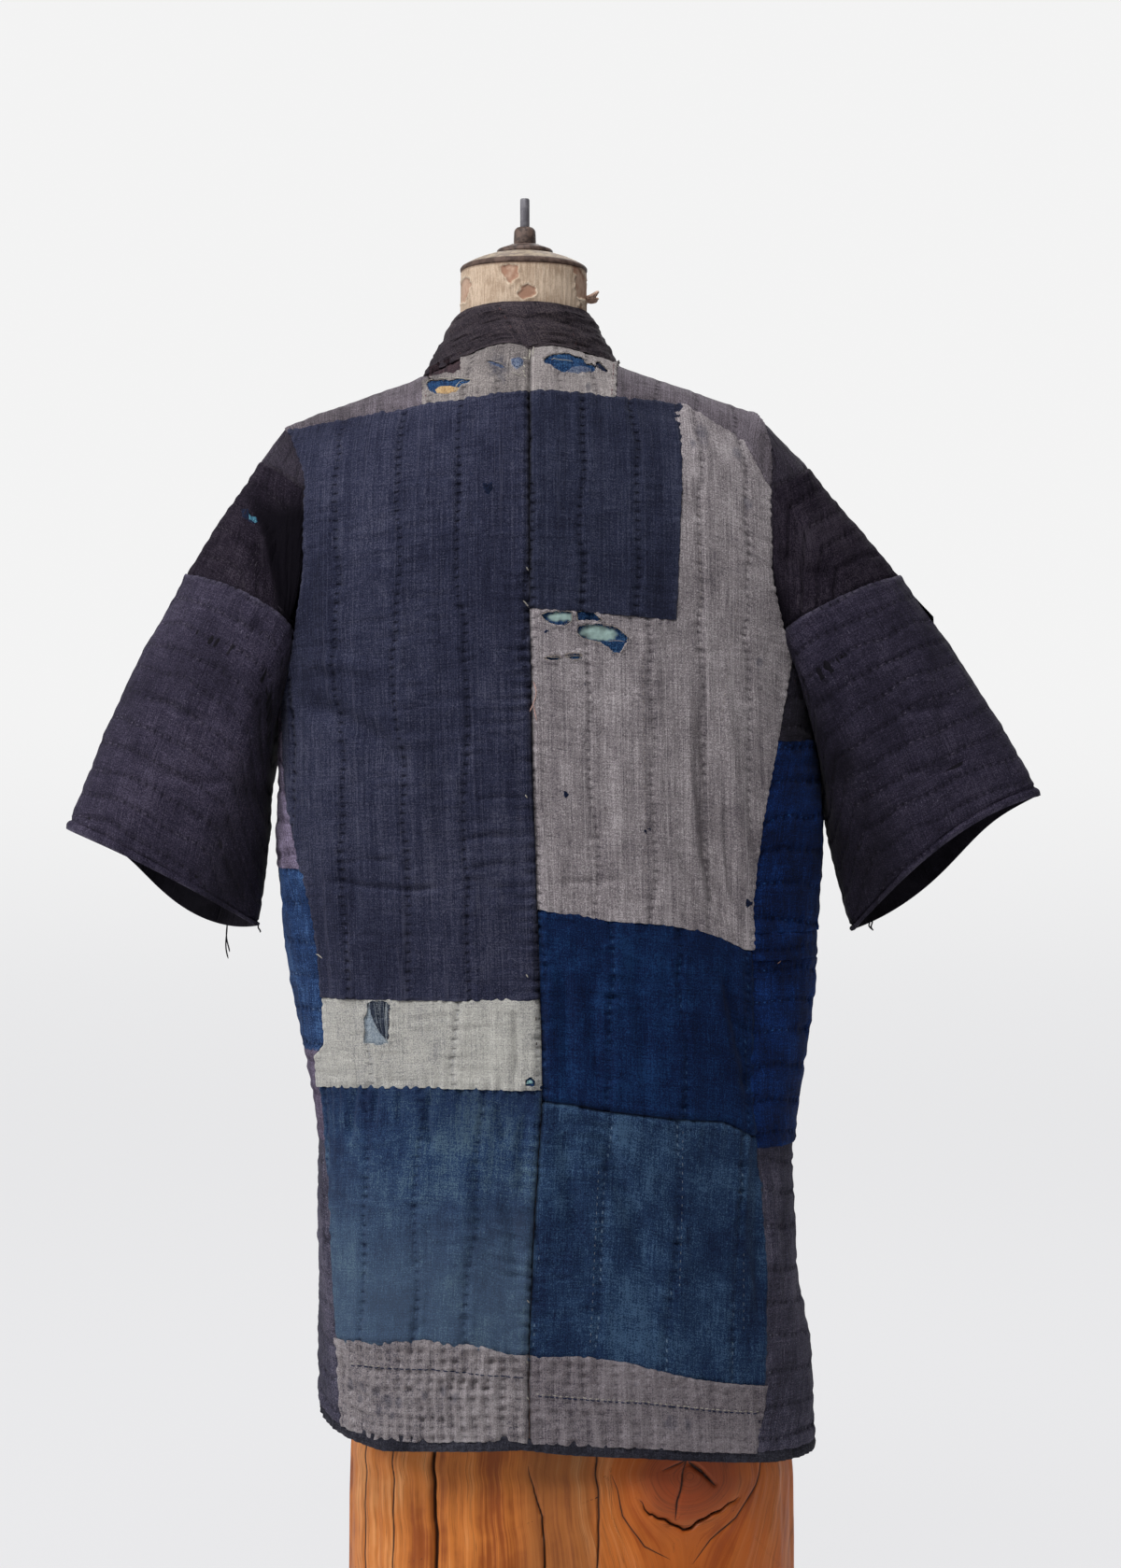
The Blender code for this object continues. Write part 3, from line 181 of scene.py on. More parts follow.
def ease(t):
    """Soft step from 0 to 1: 3 t squared less 2 t cubed."""
    t = np.clip(t, 0, 1)
    return t * t * (3 - 2 * t)


def ridge(x):
    """Height of the shoulder ridge: a sloping line rounded at the neck, with a low rise there."""
    d = np.abs(x - NECK_X)
    height = (RIDGE["peak"] - RIDGE["slope"] * np.sqrt(d ** 2 + RIDGE["blend"] ** 2)
              + RIDGE["rise"] * np.exp(-(d / RIDGE["rise_width"]) ** 2))
    return height - RIDGE_DROP_LEFT * np.clip((x - NECK_X) / .1, 0, 1)


def cap_height(x):
    return ridge(x) - CAP_START


def crest(x):
    return CAP_START + cap_height(x) * math.pi / 2


def height_of(x, up):
    h = cap_height(x)
    return np.where(up < CAP_START, up, CAP_START + h * np.sin((up - CAP_START) / h))


def up_of(x, z):
    h = cap_height(x)
    return np.where(z < CAP_START, z, CAP_START + h * np.arcsin(np.clip((z - CAP_START) / h, -1, 1)))


def over_ridge(x, z):
    return 2 * crest(x) - up_of(x, z)


def middle(z, front):
    return np.where(front, (body("left", z) + body("right", z)) / 2, body("seam", z))


def half_width(x, z, front):
    return np.where(x > middle(z, front), body("left", z), body("right", z)) - middle(z, front)


def depth(x, z, front):
    """Depth of the body: a superellipse across, closed by a cap towards the ridge."""
    share = np.clip((x - middle(z, front)) / half_width(x, z, front), 0, 1)
    flat = np.where(front, body("front", z), body("back", z))
    rise = np.clip((z - CAP_START) / cap_height(x), 0, 1)
    pull = np.where(front, 0, BACK_SEAM_DEPTH * np.exp(-(share / .045) ** 2))
    return ((flat - pull) * (1 - share ** SECTION_POWER) ** (1 / SECTION_POWER)
            * np.sqrt(1 - rise ** CAP_POWER))


def shell_round(around, z):
    """Point of the body at a place round it (0 centre back, 1 left side, -1 right, 2 front)."""
    front = np.abs(around) > 1
    turn = np.where(front, 2 - np.abs(around), np.abs(around)) * math.pi / 2
    edge, mid = np.where(around > 0, body("left", z), body("right", z)), middle(z, front)
    x = mid + (edge - mid) * np.sin(turn)
    y = depth(x, z, front)
    return np.stack([x, np.where(front, -y, y), z], -1)


def shell_over(x, up):
    """Point of the body at a place across and a distance up the cloth, over the ridge."""
    z = height_of(x, up)
    front = up > crest(x)
    y = depth(x, z, front)
    return np.stack([x, np.where(front, -y, y), z], -1)


def round_of(x, z, front=False):
    flag = np.full(np.shape(z), front)
    share = np.clip((x - middle(z, flag)) / half_width(x, z, flag), 0, 1)
    turn = np.arcsin(share) / (math.pi / 2)
    return np.where(x > middle(z, flag), 1, -1) * (2 - turn if front else turn)


# ------------------------------------------------------------------ seams
def level(table):
    return lambda around: straight(table, "round", "height", around)


def flat_level(height):
    return lambda around: np.full_like(around, height)


def at_round(place):
    return lambda z: np.full_like(z, place)


def side_seam(side):
    return lambda z: round_of(straight(SIDE_SEAM[side], "height", "across", z), z)


def armhole_across(side, z):
    return smooth(ARMHOLE[side], "height", "across", z)


def back_edge(side):
    top = SIDE_SEAM[side]["height"][-1]
    return lambda z: np.where(z < top, side_seam(side)(np.minimum(z, top)),
                              round_of(armhole_across(side, z), z))


def underarm_level(side):
    low, high = ARMHOLE[side]["height"][0], SIDE_SEAM[side]["height"][-1]
    start = abs(float(round_of(np.array(armhole_across(side, high)), np.array(high))))
    return lambda around: low + (high - low) * np.clip((1 - np.abs(around)) / (1 - start + 1e-9), 0, 1) ** 1.6


def band_across(side, z):
    sign = 1 if side == "left" else -1
    hang = middle(z, True) + sign * (.006 + BAND_WIDTH)
    fall = np.clip((z - V_BOTTOM) / (ridge(NECKLINE[side]) - V_BOTTOM), 0, 1)
    start = middle(V_BOTTOM, True) + sign * (.006 + BAND_WIDTH)
    return np.where(z < V_BOTTOM, hang, start + (NECKLINE[side] - start) * fall ** 1.15)


def front_edge(side):
    return lambda z: round_of(band_across(side, z), z, front=True)


def armhole_front(side):
    low = ARMHOLE[side]["height"][0]
    return lambda z: round_of(armhole_across(side, np.maximum(z, low)), np.maximum(z, low), front=True)


def front_level(z):
    return lambda x: over_ridge(x, np.full_like(x, z))


def back_level(table):
    return lambda x: up_of(x, straight(table, "across", "height", x))


def yoke_seam(side):
    def read(around):
        high = np.full_like(around, 1.1)
        mid = body("seam", high)
        x = mid + (body(side, high) - mid) * np.sin(np.clip(np.abs(around), 0, 1) * math.pi / 2)
        return straight(YOKE_BACK[side], "across", "height", x)
    return read


def navy_edge(z):
    return round_of(straight(NAVY_EDGE, "height", "across", z), z)


def grey_edge(z):
    own = round_of(straight(GREY_EDGE, "height", "across", z), z)
    return np.where(z > TAIL_BOTTOM - .001, own, back_edge("right")(z))


def collar_seam(side):
    def read(x):
        start = body("seam", 1.0)
        share = np.clip((x - start) / (NECKLINE[side] - start), 0, 1)
        rise = NECK_ANGLE + (math.pi / 2 - NECK_ANGLE) * np.arcsin(share) / (math.pi / 2)
        return CAP_START + cap_height(x) * rise
    return read


def solved(function, start):
    """A seam given as across at each height, read at a distance up the cloth."""
    def read(up):
        x = np.full_like(up, start)
        for _ in range(6):
            x = function(height_of(x, up))
        return x
    return read


def neck_edge(side):
    """The yoke's inner edge: beside the neck patch behind the ridge, at the band in front."""
    top = crest(NECKLINE[side])
    x0, x1 = np.array(NECK_PATCH[side]), np.array(NECKLINE[side])
    start, stop = back_level(YOKE_BACK[side])(x0), collar_seam(side)(x1)
    front = solved(lambda z: band_across(side, z), NECKLINE[side])
    return lambda up: np.where(up < top, x0 + (x1 - x0) * np.clip((up - start) / (stop - start), 0, 1),
                               front(up))


# ------------------------------------------------------------------ collar and sleeves
COLLAR_GAP = .0004          # between the collar's sewn edge and the body's cloth
COLLAR_STAND = .0062        # of the collar's free edge from the form's neck


def collar_lines(side, place):
    """Sewn and free edge of the collar: place 0 centre back, 1 at the ridge, 2 the V's end, 3 hem."""
    sign = 1 if side == "left" else -1
    seam0, seam_x = body("seam", 1.0), NECKLINE[side]
    turn = np.clip(place, 0, 1) * math.pi / 2
    x = seam0 + (seam_x - seam0) * np.sin(turn)
    rise = NECK_ANGLE + (math.pi / 2 - NECK_ANGLE) * np.clip(place, 0, 1)
    behind = shell_over(x, CAP_START + cap_height(x) * rise)
    hem = smooth(HEM, "round", "height", sign * 1.85)
    z = np.interp(place, (1, 2, 3), (float(ridge(seam_x)), V_BOTTOM, float(hem)))
    xf = band_across(side, z)
    front = np.stack([xf, -depth(xf, z, True), z], -1)
    sewn = np.where((place <= 1)[..., None], behind, front)
    radius = NECK_RADIUS + COLLAR_STAND + .03 * np.clip(place - 1, 0, 1)
    swing = np.clip(place, 0, 1.55) * math.pi / 2
    neck = np.stack([NECK_X + sign * radius * np.sin(swing), radius * np.cos(swing),
                     1.2205 - .008 * np.clip(place, 0, 1) ** 2 - .13 * np.clip(place - 1, 0, 1)], -1)
    drop = z - .006 * np.clip(3 - place, 0, 1)
    free_x = xf - sign * BAND_WIDTH * np.interp(place, (1, 1.6, 2), (.93, .97, 1.0))
    chest = np.stack([free_x, -depth(free_x, drop, True) - .002, drop], -1)
    share = ease((place - 1) / .85)[..., None]
    return sewn, np.where((place <= 1)[..., None], neck, neck * (1 - share) + chest * share)


def collar_surface(place, width):
    """Strip between the two edges.  place runs from -3 at the right hem to 3 at the left one."""
    left, right = (collar_lines(side, np.abs(place)) for side in ("left", "right"))
    on_left = (place >= 0)[..., None]
    sewn, free = (np.where(on_left, a, b) for a, b in zip(left, right))
    run = free - sewn
    gap = COLLAR_GAP / np.linalg.norm(run, axis=-1, keepdims=True)
    return sewn + run * (gap + width[..., None] * (1 - gap))


def start_of(side, end):
    hole = ARMHOLE[side]
    return np.array([hole["across"][end], 0.0, hole["height"][end]])


def turn_at(side, height):
    low, high = ARMHOLE[side]["height"][0], ARMHOLE[side]["height"][-1]
    return float(np.arccos(np.clip((2 * height - low - high) / (high - low), -1, 1)))


def sleeve_surface(side):
    """Sleeve tube.  turn: 0 on the shoulder, pi/2 behind, pi under the arm.  along: 0 at the
    armhole, 1 at the cuff.  A quadratic curve runs from each armhole point to its cuff point."""
    sleeve, hole = SLEEVE[side], ARMHOLE[side]
    low, high = hole["height"][0], hole["height"][-1]
    outer, inner = (np.array([s[0], 0.0, s[1]]) for s in (sleeve["outer"], sleeve["inner"]))
    out = np.cross((outer + inner) / 2 - (start_of(side, -1) + start_of(side, 0)) / 2, (0, 1, 0))
    out = out * np.sign(out[2]) / np.linalg.norm(out)
    sign = 1 if side == "left" else -1

    def read(turn, along):
        z = (low + high) / 2 + (high - low) / 2 * np.cos(turn)
        x = armhole_across(side, z)
        behind, side_way, wave = np.sin(turn) >= 0, np.sin(turn), np.cos(turn)[..., None]
        start = np.stack([x + sign * UNDERARM_EASE * (1 - np.cos(turn)) / 2,
                          np.where(behind, 1, -1) * depth(x, z, ~behind), z], -1)
        flat = 0 * turn
        lift = np.where(behind, sleeve["back_rise"], -sleeve["front_drop"] * (1 - .45 * np.cos(turn)))
        end = (outer + inner) / 2 + (outer - inner) / 2 * wave + np.stack(
            [flat, CUFF_DEPTH * np.sign(side_way) * np.abs(side_way) ** .85, lift * side_way ** 2], -1)
        bow = sleeve["bow_in"] + (sleeve["bow_out"] - sleeve["bow_in"]) * (1 + wave) / 2
        mid = (start + end) / 2 + 2 * bow * out
        mid = mid + np.stack([flat, 2 * SLEEVE_FULLNESS * side_way, flat], -1)
        t = along[..., None]
        return (1 - t) ** 2 * start + 2 * t * (1 - t) * mid + t * t * end
    return read


def seam_along(side, which):
    """Where a sleeve seam lies along the tube: farthest on the shoulder, almost nil at its end."""
    reach, height = SLEEVE[side][which]
    end = turn_at(side, height)

    def read(turn):
        share = np.abs((turn + math.pi) % (2 * math.pi) - math.pi) / end
        return np.where(share > 1.001, 0, SEAM_END + (reach - SEAM_END) * (1 - np.clip(share, 0, 1) ** 2))
    return read


# ------------------------------------------------------------------ creases of the cloth
def scatter(i, j, seed):
    """A fixed value from 0 to 1 for each lattice point: the fraction of a large sine."""
    value = np.sin(i * 127.1 + j * 311.7 + seed * 74.7) * 43758.5453
    return value - np.floor(value)


def ripple(x, y, seed=0):
    """Soft noise from -1 to 1: lattice values blended by the soft step in both directions."""
    i, j = np.floor(x), np.floor(y)
    s, t = ease(x - i), ease(y - j)
    low = scatter(i, j, seed) * (1 - s) + scatter(i + 1, j, seed) * s
    high = scatter(i, j + 1, seed) * (1 - s) + scatter(i + 1, j + 1, seed) * s
    return 2 * (low * (1 - t) + high * t) - 1


def polyline(x, z, across, height):
    """Distance to a broken line, and the share of its length at the nearest point."""
    px, pz = np.array(across), np.array(height)
    run = np.hypot(np.diff(px), np.diff(pz))
    done = np.concatenate([[0], np.cumsum(run)])
    best, share = np.full(x.shape, 1e9), np.zeros(x.shape)
    for i, length in enumerate(run):
        dx, dz = (px[i + 1] - px[i]) / length, (pz[i + 1] - pz[i]) / length
        t = (x - px[i]) * dx + (z - pz[i]) * dz
        if 0 < i:
            t = np.maximum(t, 0)
        if i < len(run) - 1:
            t = np.minimum(t, length)
        away = np.hypot(x - px[i] - t * dx, z - pz[i] - t * dz)
        nearer = away < best
        best, share = np.where(nearer, away, best), np.where(nearer, (done[i] + t) / done[-1], share)
    return best, share


def creases(x, z, table):
    """Sum of the creases: each a trough with a low ridge on both sides, fading at its ends."""
    total = np.zeros(x.shape)
    for row in table:
        away, share = polyline(x, z, row["across"], row["height"])
        q = (away / row["width"]) ** 2
        fade = ease(share / .25) * ease((1 - share) / .25)
        total -= row["depth"] * (1 - .7 * q) * np.exp(-q) * fade
    return total


def quilting(u, v, pitch, amount, seed, width=.003):
    """Rows of running stitch that draw the cloth in: narrow furrows along v, deeper at each
    stitch, short puckers across them, and soft ones between.  Also gives each point's row."""
    stray = .0045 * ripple(v / .09, u / .05, seed) + .003 * ripple(v / .028, u / .05, seed + 4)
    row = u / pitch + stray / pitch
    away = np.abs((row + .5) % 1 - .5) * pitch
    beat = .65 + .35 * np.cos(2 * math.pi * v / STITCH)
    uneven = .65 + .35 * ripple(u / .031, v / .042, seed + 1)
    furrow = -1.35 * beat * uneven * np.exp(-(away / width) ** 2)
    swell = .35 * np.exp(-((away - 2.2 * width) / (1.2 * width)) ** 2) * uneven
    gathers = (1.1 * ripple(v / .0046, row.round() * 3.7, seed + 9) * np.exp(-(away / (2.2 * width)) ** 2)
               * uneven)
    long = .45 * ripple(u / .0055, v / .03, seed + 2) + .75 * ripple(u / .0115, v / .048, seed + 3)
    cross = (.6 * ripple(u / .026, v / .0052, seed + 7)
             * (.5 + .5 * ripple(u / .05, v / .06, seed + 8)))
    return amount * (furrow + swell + gathers + .5 * long + cross), row


# ------------------------------------------------------------------ meshes
def arc(points, axis):
    """Length along a grid of points in one direction, from its first line."""
    step = np.linalg.norm(np.diff(points, axis=axis), axis=-1)
    first = np.zeros_like(np.take(step, [0], axis=axis))
    return np.concatenate([first, np.cumsum(step, axis=axis)], axis=axis)


def unit_normals(points, closed=False):
    """Unit normals of a grid of points from the cross product of its two directions."""
    if closed:
        wrapped = np.concatenate([points[:, -2:-1], points, points[:, 1:2]], axis=1)
        along = (wrapped[:, 2:] - wrapped[:, :-2]) / 2
    else:
        along = np.gradient(points, axis=1)
    normal = np.cross(along, np.gradient(points, axis=0))
    return normal / np.maximum(np.linalg.norm(normal, axis=-1, keepdims=True), 1e-12)


def make_mesh(name, verts, faces, uv=None, values=None, sharp=55):
    """A mesh piece that rides with the frame; uv is one pair for each face corner."""
    mesh = bpy.data.meshes.new(name)
    mesh.from_pydata(verts.astype(np.float32).tolist(), [], faces if isinstance(faces, list)
                     else faces.tolist())
    if uv is not None:
        layer = mesh.uv_layers.new(name="cloth")
        layer.data.foreach_set("uv", uv.astype(np.float32).ravel())
    for key, value in (values or {}).items():
        mesh.attributes.new(key, "FLOAT", "POINT").data.foreach_set("value", value.astype(np.float32))
    mesh.shade_smooth()
    mesh.set_sharp_from_angle(angle=math.radians(sharp))
    mesh.update()
    piece = bpy.data.objects.new(name, mesh)
    bpy.context.scene.collection.objects.link(piece)
    PIECES[name] = piece
    return piece


PIECES = {}                 # every finished piece by name
GRIDS = {}                  # displaced points and outward normals of each piece of cloth


def cloth(name, surface, sides, levels, edges, relief, cell=CELL, units=(ROUND_PER_METRE, 1.0),
          closed=False, holes=(), skip=None, uv_from=(0.0, 0.0), outward=None, guess=.9,
          pucker=(0.0, 0.0, 0.0, 0.0), turned=RETURN, focus=None, painted_shade=None):
    """A piece of cloth between two sides and two levels of a surface of two parameters.

    The grid is blended between the four seams; every point moves along the surface's normal by
    the relief, which is given cloth coordinates in metres.  edges says for start, stop, low and
    high whether the piece lies over its neighbour, runs on under it, meets it in a groove, or is
    free.  Where cloth ends, a rim of the wall's thickness and a strip turned in are added.  The
    grid is closer within the shares of the piece that focus gives, where holes are torn in it."""
    def solve(rows, columns, close=False):
        s, t = (shares(n, focus[k] if close else None) for k, n in enumerate((columns, rows)))
        s, t = np.meshgrid(s, t)
        b = np.full_like(s, guess)
        for _ in range(14):
            a0, a1 = sides[0](b), sides[1](b)
            turn = np.sign((a1 - a0).mean()) * units[0]
            a0, a1 = a0 - turn * spare(edges[0], b, 0), a1 + turn * spare(edges[1], b, 1)
            a = a0 + (a1 - a0) * s
            b0, b1 = levels[0](a), levels[1](a)
            up = np.sign((b1 - b0).mean()) * units[1]
            b0, b1 = b0 - up * spare(edges[2], a, 2), b1 + up * spare(edges[3], a, 3)
            b = b0 + (b1 - b0) * t
        return a, b

    def spare(kind, along, which):
        """Cloth past a seam: a plain overlap below, a slightly ragged one on top."""
        if kind == "under":
            return OVERLAP
        if kind == "over":
            metres = along / units[0 if which > 1 else 1]
            notch = .0002 * np.cos(2 * math.pi * metres / NOTCH)
            return .001 + .0005 * ripple(metres / .009, metres / .09, which + len(name)) + notch
        return 0.0

    def shares(count, close):
        """Even shares from 0 to 1, or shares that lie CLOSER times as close between two values."""
        if close is None:
            return np.linspace(0, 1, count)
        place = np.linspace(0, 1, 400)
        dense = 1 + (CLOSER - 1) * ease((place - close[0]) / .04 + 1) * ease((close[1] - place) / .04 + 1)
        total = np.cumsum(dense)
        total = (total - total[0]) / (total[-1] - total[0])
        return np.interp(np.linspace(0, 1, int(count * dense.mean())), total, place)

    coarse = surface(*solve(9, 9))
    columns = int(round(arc(coarse, 1)[:, -1].max() / cell)) + 1
    rows = int(round(arc(coarse, 0)[-1].max() / cell)) + 1
    a, b = solve(rows, columns, focus is not None)
    rows, columns = a.shape
    points = surface(a, b)
    normal = unit_normals(points, closed)
    centre = outward if outward is not None else np.array([NECK_X, 0.0, 0.0])
    away = (points - centre) * (1, 1, 0 if outward is None else 1)
    if (normal * away).sum() < 0:
        normal = -normal
    left, low = arc(points, 1), arc(points, 0)
    right, high = left[:, -1:] - left, low[-1:] - low
    u, v = uv_from[0] + left, uv_from[1] + low
    offset, row, run = relief(u, v, points, a, b)
    distances = (left, right, low, high)
    runs = (low, low, left, left)
    near, groove = np.full(left.shape, 1e9), np.zeros(left.shape)
    for kind, d, s, amount in zip(edges, distances, runs, pucker):
        if kind == "none":
            continue
        near = np.minimum(near, d)
        turns = s / NOTCH + .25 * ripple(s / .03, 0 * s, len(name))
        notch = (.5 + .5 * np.cos(2 * math.pi * turns)) ** 2
        if kind == "under":
            offset = offset * ease(d / .004) - .0019 * ease(1 - d / .006)
        elif kind == "over":
            offset += .0008 * ease(1 - d / .012) - .0005 * ease(1 - d / .0022)
            offset -= .0008 * notch * np.exp(-(d / .0042) ** 2)
        elif kind == "butt":
            offset += .0006 * np.exp(-((d - .0055) / .0035) ** 2) - .0022 * np.exp(-(d / .0021) ** 2)
            offset -= .0007 * notch * np.exp(-(d / .005) ** 2)
            groove = np.maximum(groove, np.exp(-(d / .0011) ** 2))
        uneven = .55 + .45 * ripple(s / .023, d / .02, len(name))
        beat = np.cos(2 * math.pi * (s / .0105 + .3 * ripple(s / .04, 0 * s, len(name) + 3)))
        reach = .016 + .01 * ripple(s / .012, 0 * s, len(name) + 9)
        offset += amount * uneven * beat * np.exp(-d / reach)
    if closed:
        offset += (offset[:, :1] - offset[:, -1:]) * ease(1 - right / .03)
    points = points + normal * offset[..., None]
    GRIDS[name] = points, normal, left, low
    keep = np.ones((rows - 1, columns - 1), bool)
    if skip is not None:
        keep &= ~skip((a[:-1, :-1] + a[1:, 1:]) / 2, (b[:-1, :-1] + b[1:, 1:]) / 2)
    tear = np.zeros(left.shape)
    for outline in holes:
        points, keep, beyond = torn(points, keep, outline)
        tear = np.maximum(tear, np.exp(-(np.maximum(beyond, 0) / .0011) ** 2))
        raised = .0009 * np.exp(-((beyond - .0014) / .0016) ** 2)
        raised *= 1 + .6 * ripple(points[..., 0] / .004, points[..., 2] / .004, 5)
        points = points + normal * raised[..., None]
    # painted shade: how far each point is darkened to stand in for the shadow that falls on it
    shade = np.zeros(left.shape) if painted_shade is None else painted_shade(a, b)
    stain = np.zeros(left.shape)
    for x, z, size in STAINS:
        away = np.hypot(points[..., 0] - x, (points[..., 2] - z) * .7) / size
        stain = np.maximum(stain, np.where(points[..., 1] > 0, 1 - away / 2, 0))
    stain += .35 * ripple(points[..., 0] / .003, points[..., 2] / .0045, 12) * (stain > 0)
    marks = dict(edge=near, row=row, run=run, groove=groove, tear=tear, painted_shade=shade, stain=stain)
    return assemble(name, points, normal, keep, u, v, marks, closed, turned)


def outline_distance(x, z, outline):
    """Distance to a closed outline of across and height, negative inside it."""
    corners = np.array(outline)
    best, inside = np.full(x.shape, 1e9), np.zeros(x.shape, bool)
    for (x0, z0), (x1, z1) in zip(corners, np.roll(corners, -1, axis=0)):
        dx, dz = x1 - x0, z1 - z0
        t = np.clip(((x - x0) * dx + (z - z0) * dz) / (dx * dx + dz * dz), 0, 1)
        best = np.minimum(best, np.hypot(x - x0 - t * dx, z - z0 - t * dz))
        inside ^= ((z0 > z) != (z1 > z)) & (x < x0 + dx * (z - z0) / (dz if dz else 1e-9))
    return np.where(inside, -best, best)


def torn(points, keep, outline):
    """Cuts a ragged opening in the back of a grid: cells whose middle lies inside the outline go,
    and the points beside it are drawn on to it."""
    def outside(x, z):
        jag = .0009 * ripple(x / .0036, z / .0036, 7) + .0005 * ripple(x / .0017, z / .0017, 8)
        return outline_distance(x, z, outline) + jag

    x, z = points[..., 0], points[..., 2]
    f, step = outside(x, z), 2e-4
    fx, fz = (outside(x + step, z) - f) / step, (outside(x, z + step) - f) / step
    middle_f = (f[:-1, :-1] + f[1:, :-1] + f[:-1, 1:] + f[1:, 1:]) / 4
    keep = keep & ((middle_f > 0) | (points[:-1, :-1, 1] < 0))
    beside = np.abs(f) < .0012
    size = np.maximum(fx ** 2 + fz ** 2, .4)
    move = np.where(beside, -f / size, 0)[..., None] * np.stack([fx, 0 * fx, fz], -1)
    move *= np.minimum(1, .001 / np.maximum(np.linalg.norm(move, axis=-1, keepdims=True), 1e-9))
    return points + move, keep, np.where(points[..., 1] > 0, f, 1.0)


def assemble(name, points, normal, keep, u, v, marks, closed, turned):
    """Faces of a grid, with a rim and a turned-in strip wherever cells end."""
    columns = points.shape[1]
    width = columns - 1 if closed else columns
    r, c = np.nonzero(keep)
    corner = lambda rr, cc: rr * width + cc % width
    quads = np.stack([corner(r, c), corner(r, c + 1), corner(r + 1, c + 1), corner(r + 1, c)], 1)
    flat = (r * columns + c)[:, None] + (0, 1, columns + 1, columns)
    pts, nrm = points[:, :width].reshape(-1, 3), normal[:, :width].reshape(-1, 3)
    uv_grid = np.stack([u, v], -1).reshape(-1, 2)
    first = quads[0]
    if facing(pts, first[[0, 1, 3]], nrm[first[0]]) < 0:
        quads, flat = quads[:, ::-1], flat[:, ::-1]
    start, end = quads.ravel(), np.roll(quads, -1, axis=1).ravel()
    start_uv, end_uv = flat.ravel(), np.roll(flat, -1, axis=1).ravel()
    count = len(pts)
    forward, back = start * count + end, end * count + start
    rim = ~np.isin(forward, back)
    e0, e1, f0, f1 = start[rim], end[rim], start_uv[rim], end_uv[rim]
    inside = np.zeros((count, 3))
    tally = np.zeros(count)
    centre = pts[quads].mean(axis=1)
    for k in range(4):
        np.add.at(inside, quads[:, k], centre)
        np.add.at(tally, quads[:, k], 1)
    used = np.unique(quads)
    edge = np.unique(np.concatenate([e0, e1]))
    lead = inside[edge] / tally[edge][:, None] - pts[edge]
    lead -= (lead * nrm[edge]).sum(-1, keepdims=True) * nrm[edge]
    lead /= np.maximum(np.linalg.norm(lead, axis=-1, keepdims=True), 1e-9)
    is_torn = (marks["tear"][:, :width].ravel()[edge] > .5)[:, None]
    under = pts[edge] - nrm[edge] * np.where(is_torn, TORN_WALL, WALL)
    turned_in = under + lead * np.where(is_torn, TORN_RETURN, turned) - nrm[edge] * .0002
    index = np.full(count, -1)
    index[used] = np.arange(len(used))
    ring = np.full(count, -1)
    ring[edge] = np.arange(len(edge))
    n, m = len(used), len(edge)
    verts = np.concatenate([pts[used], under, turned_in])
    rim_faces = np.stack([index[e1], index[e0], n + ring[e0], n + ring[e1]], 1)
    strip = np.stack([n + ring[e1], n + ring[e0], n + m + ring[e0], n + m + ring[e1]], 1)
    faces = np.concatenate([index[quads], rim_faces, strip])
    edge_uv = np.stack([f1, f0, f0, f1], 1)
    uv = uv_grid[np.concatenate([flat, edge_uv, edge_uv])]
    order = np.concatenate([used, edge, edge])
    values = {key: mark[:, :width].ravel()[order] for key, mark in marks.items()}
    values["edge"][n:] = 0
    # painted shade: the turned-in lining inside the cuffs is darkened fully, in place of the shadow inside
    # the openings
    if turned > .03:
        values["painted_shade"][n:] = 1.2
    return make_mesh(f"{name}_cloth", verts, faces, uv, values)


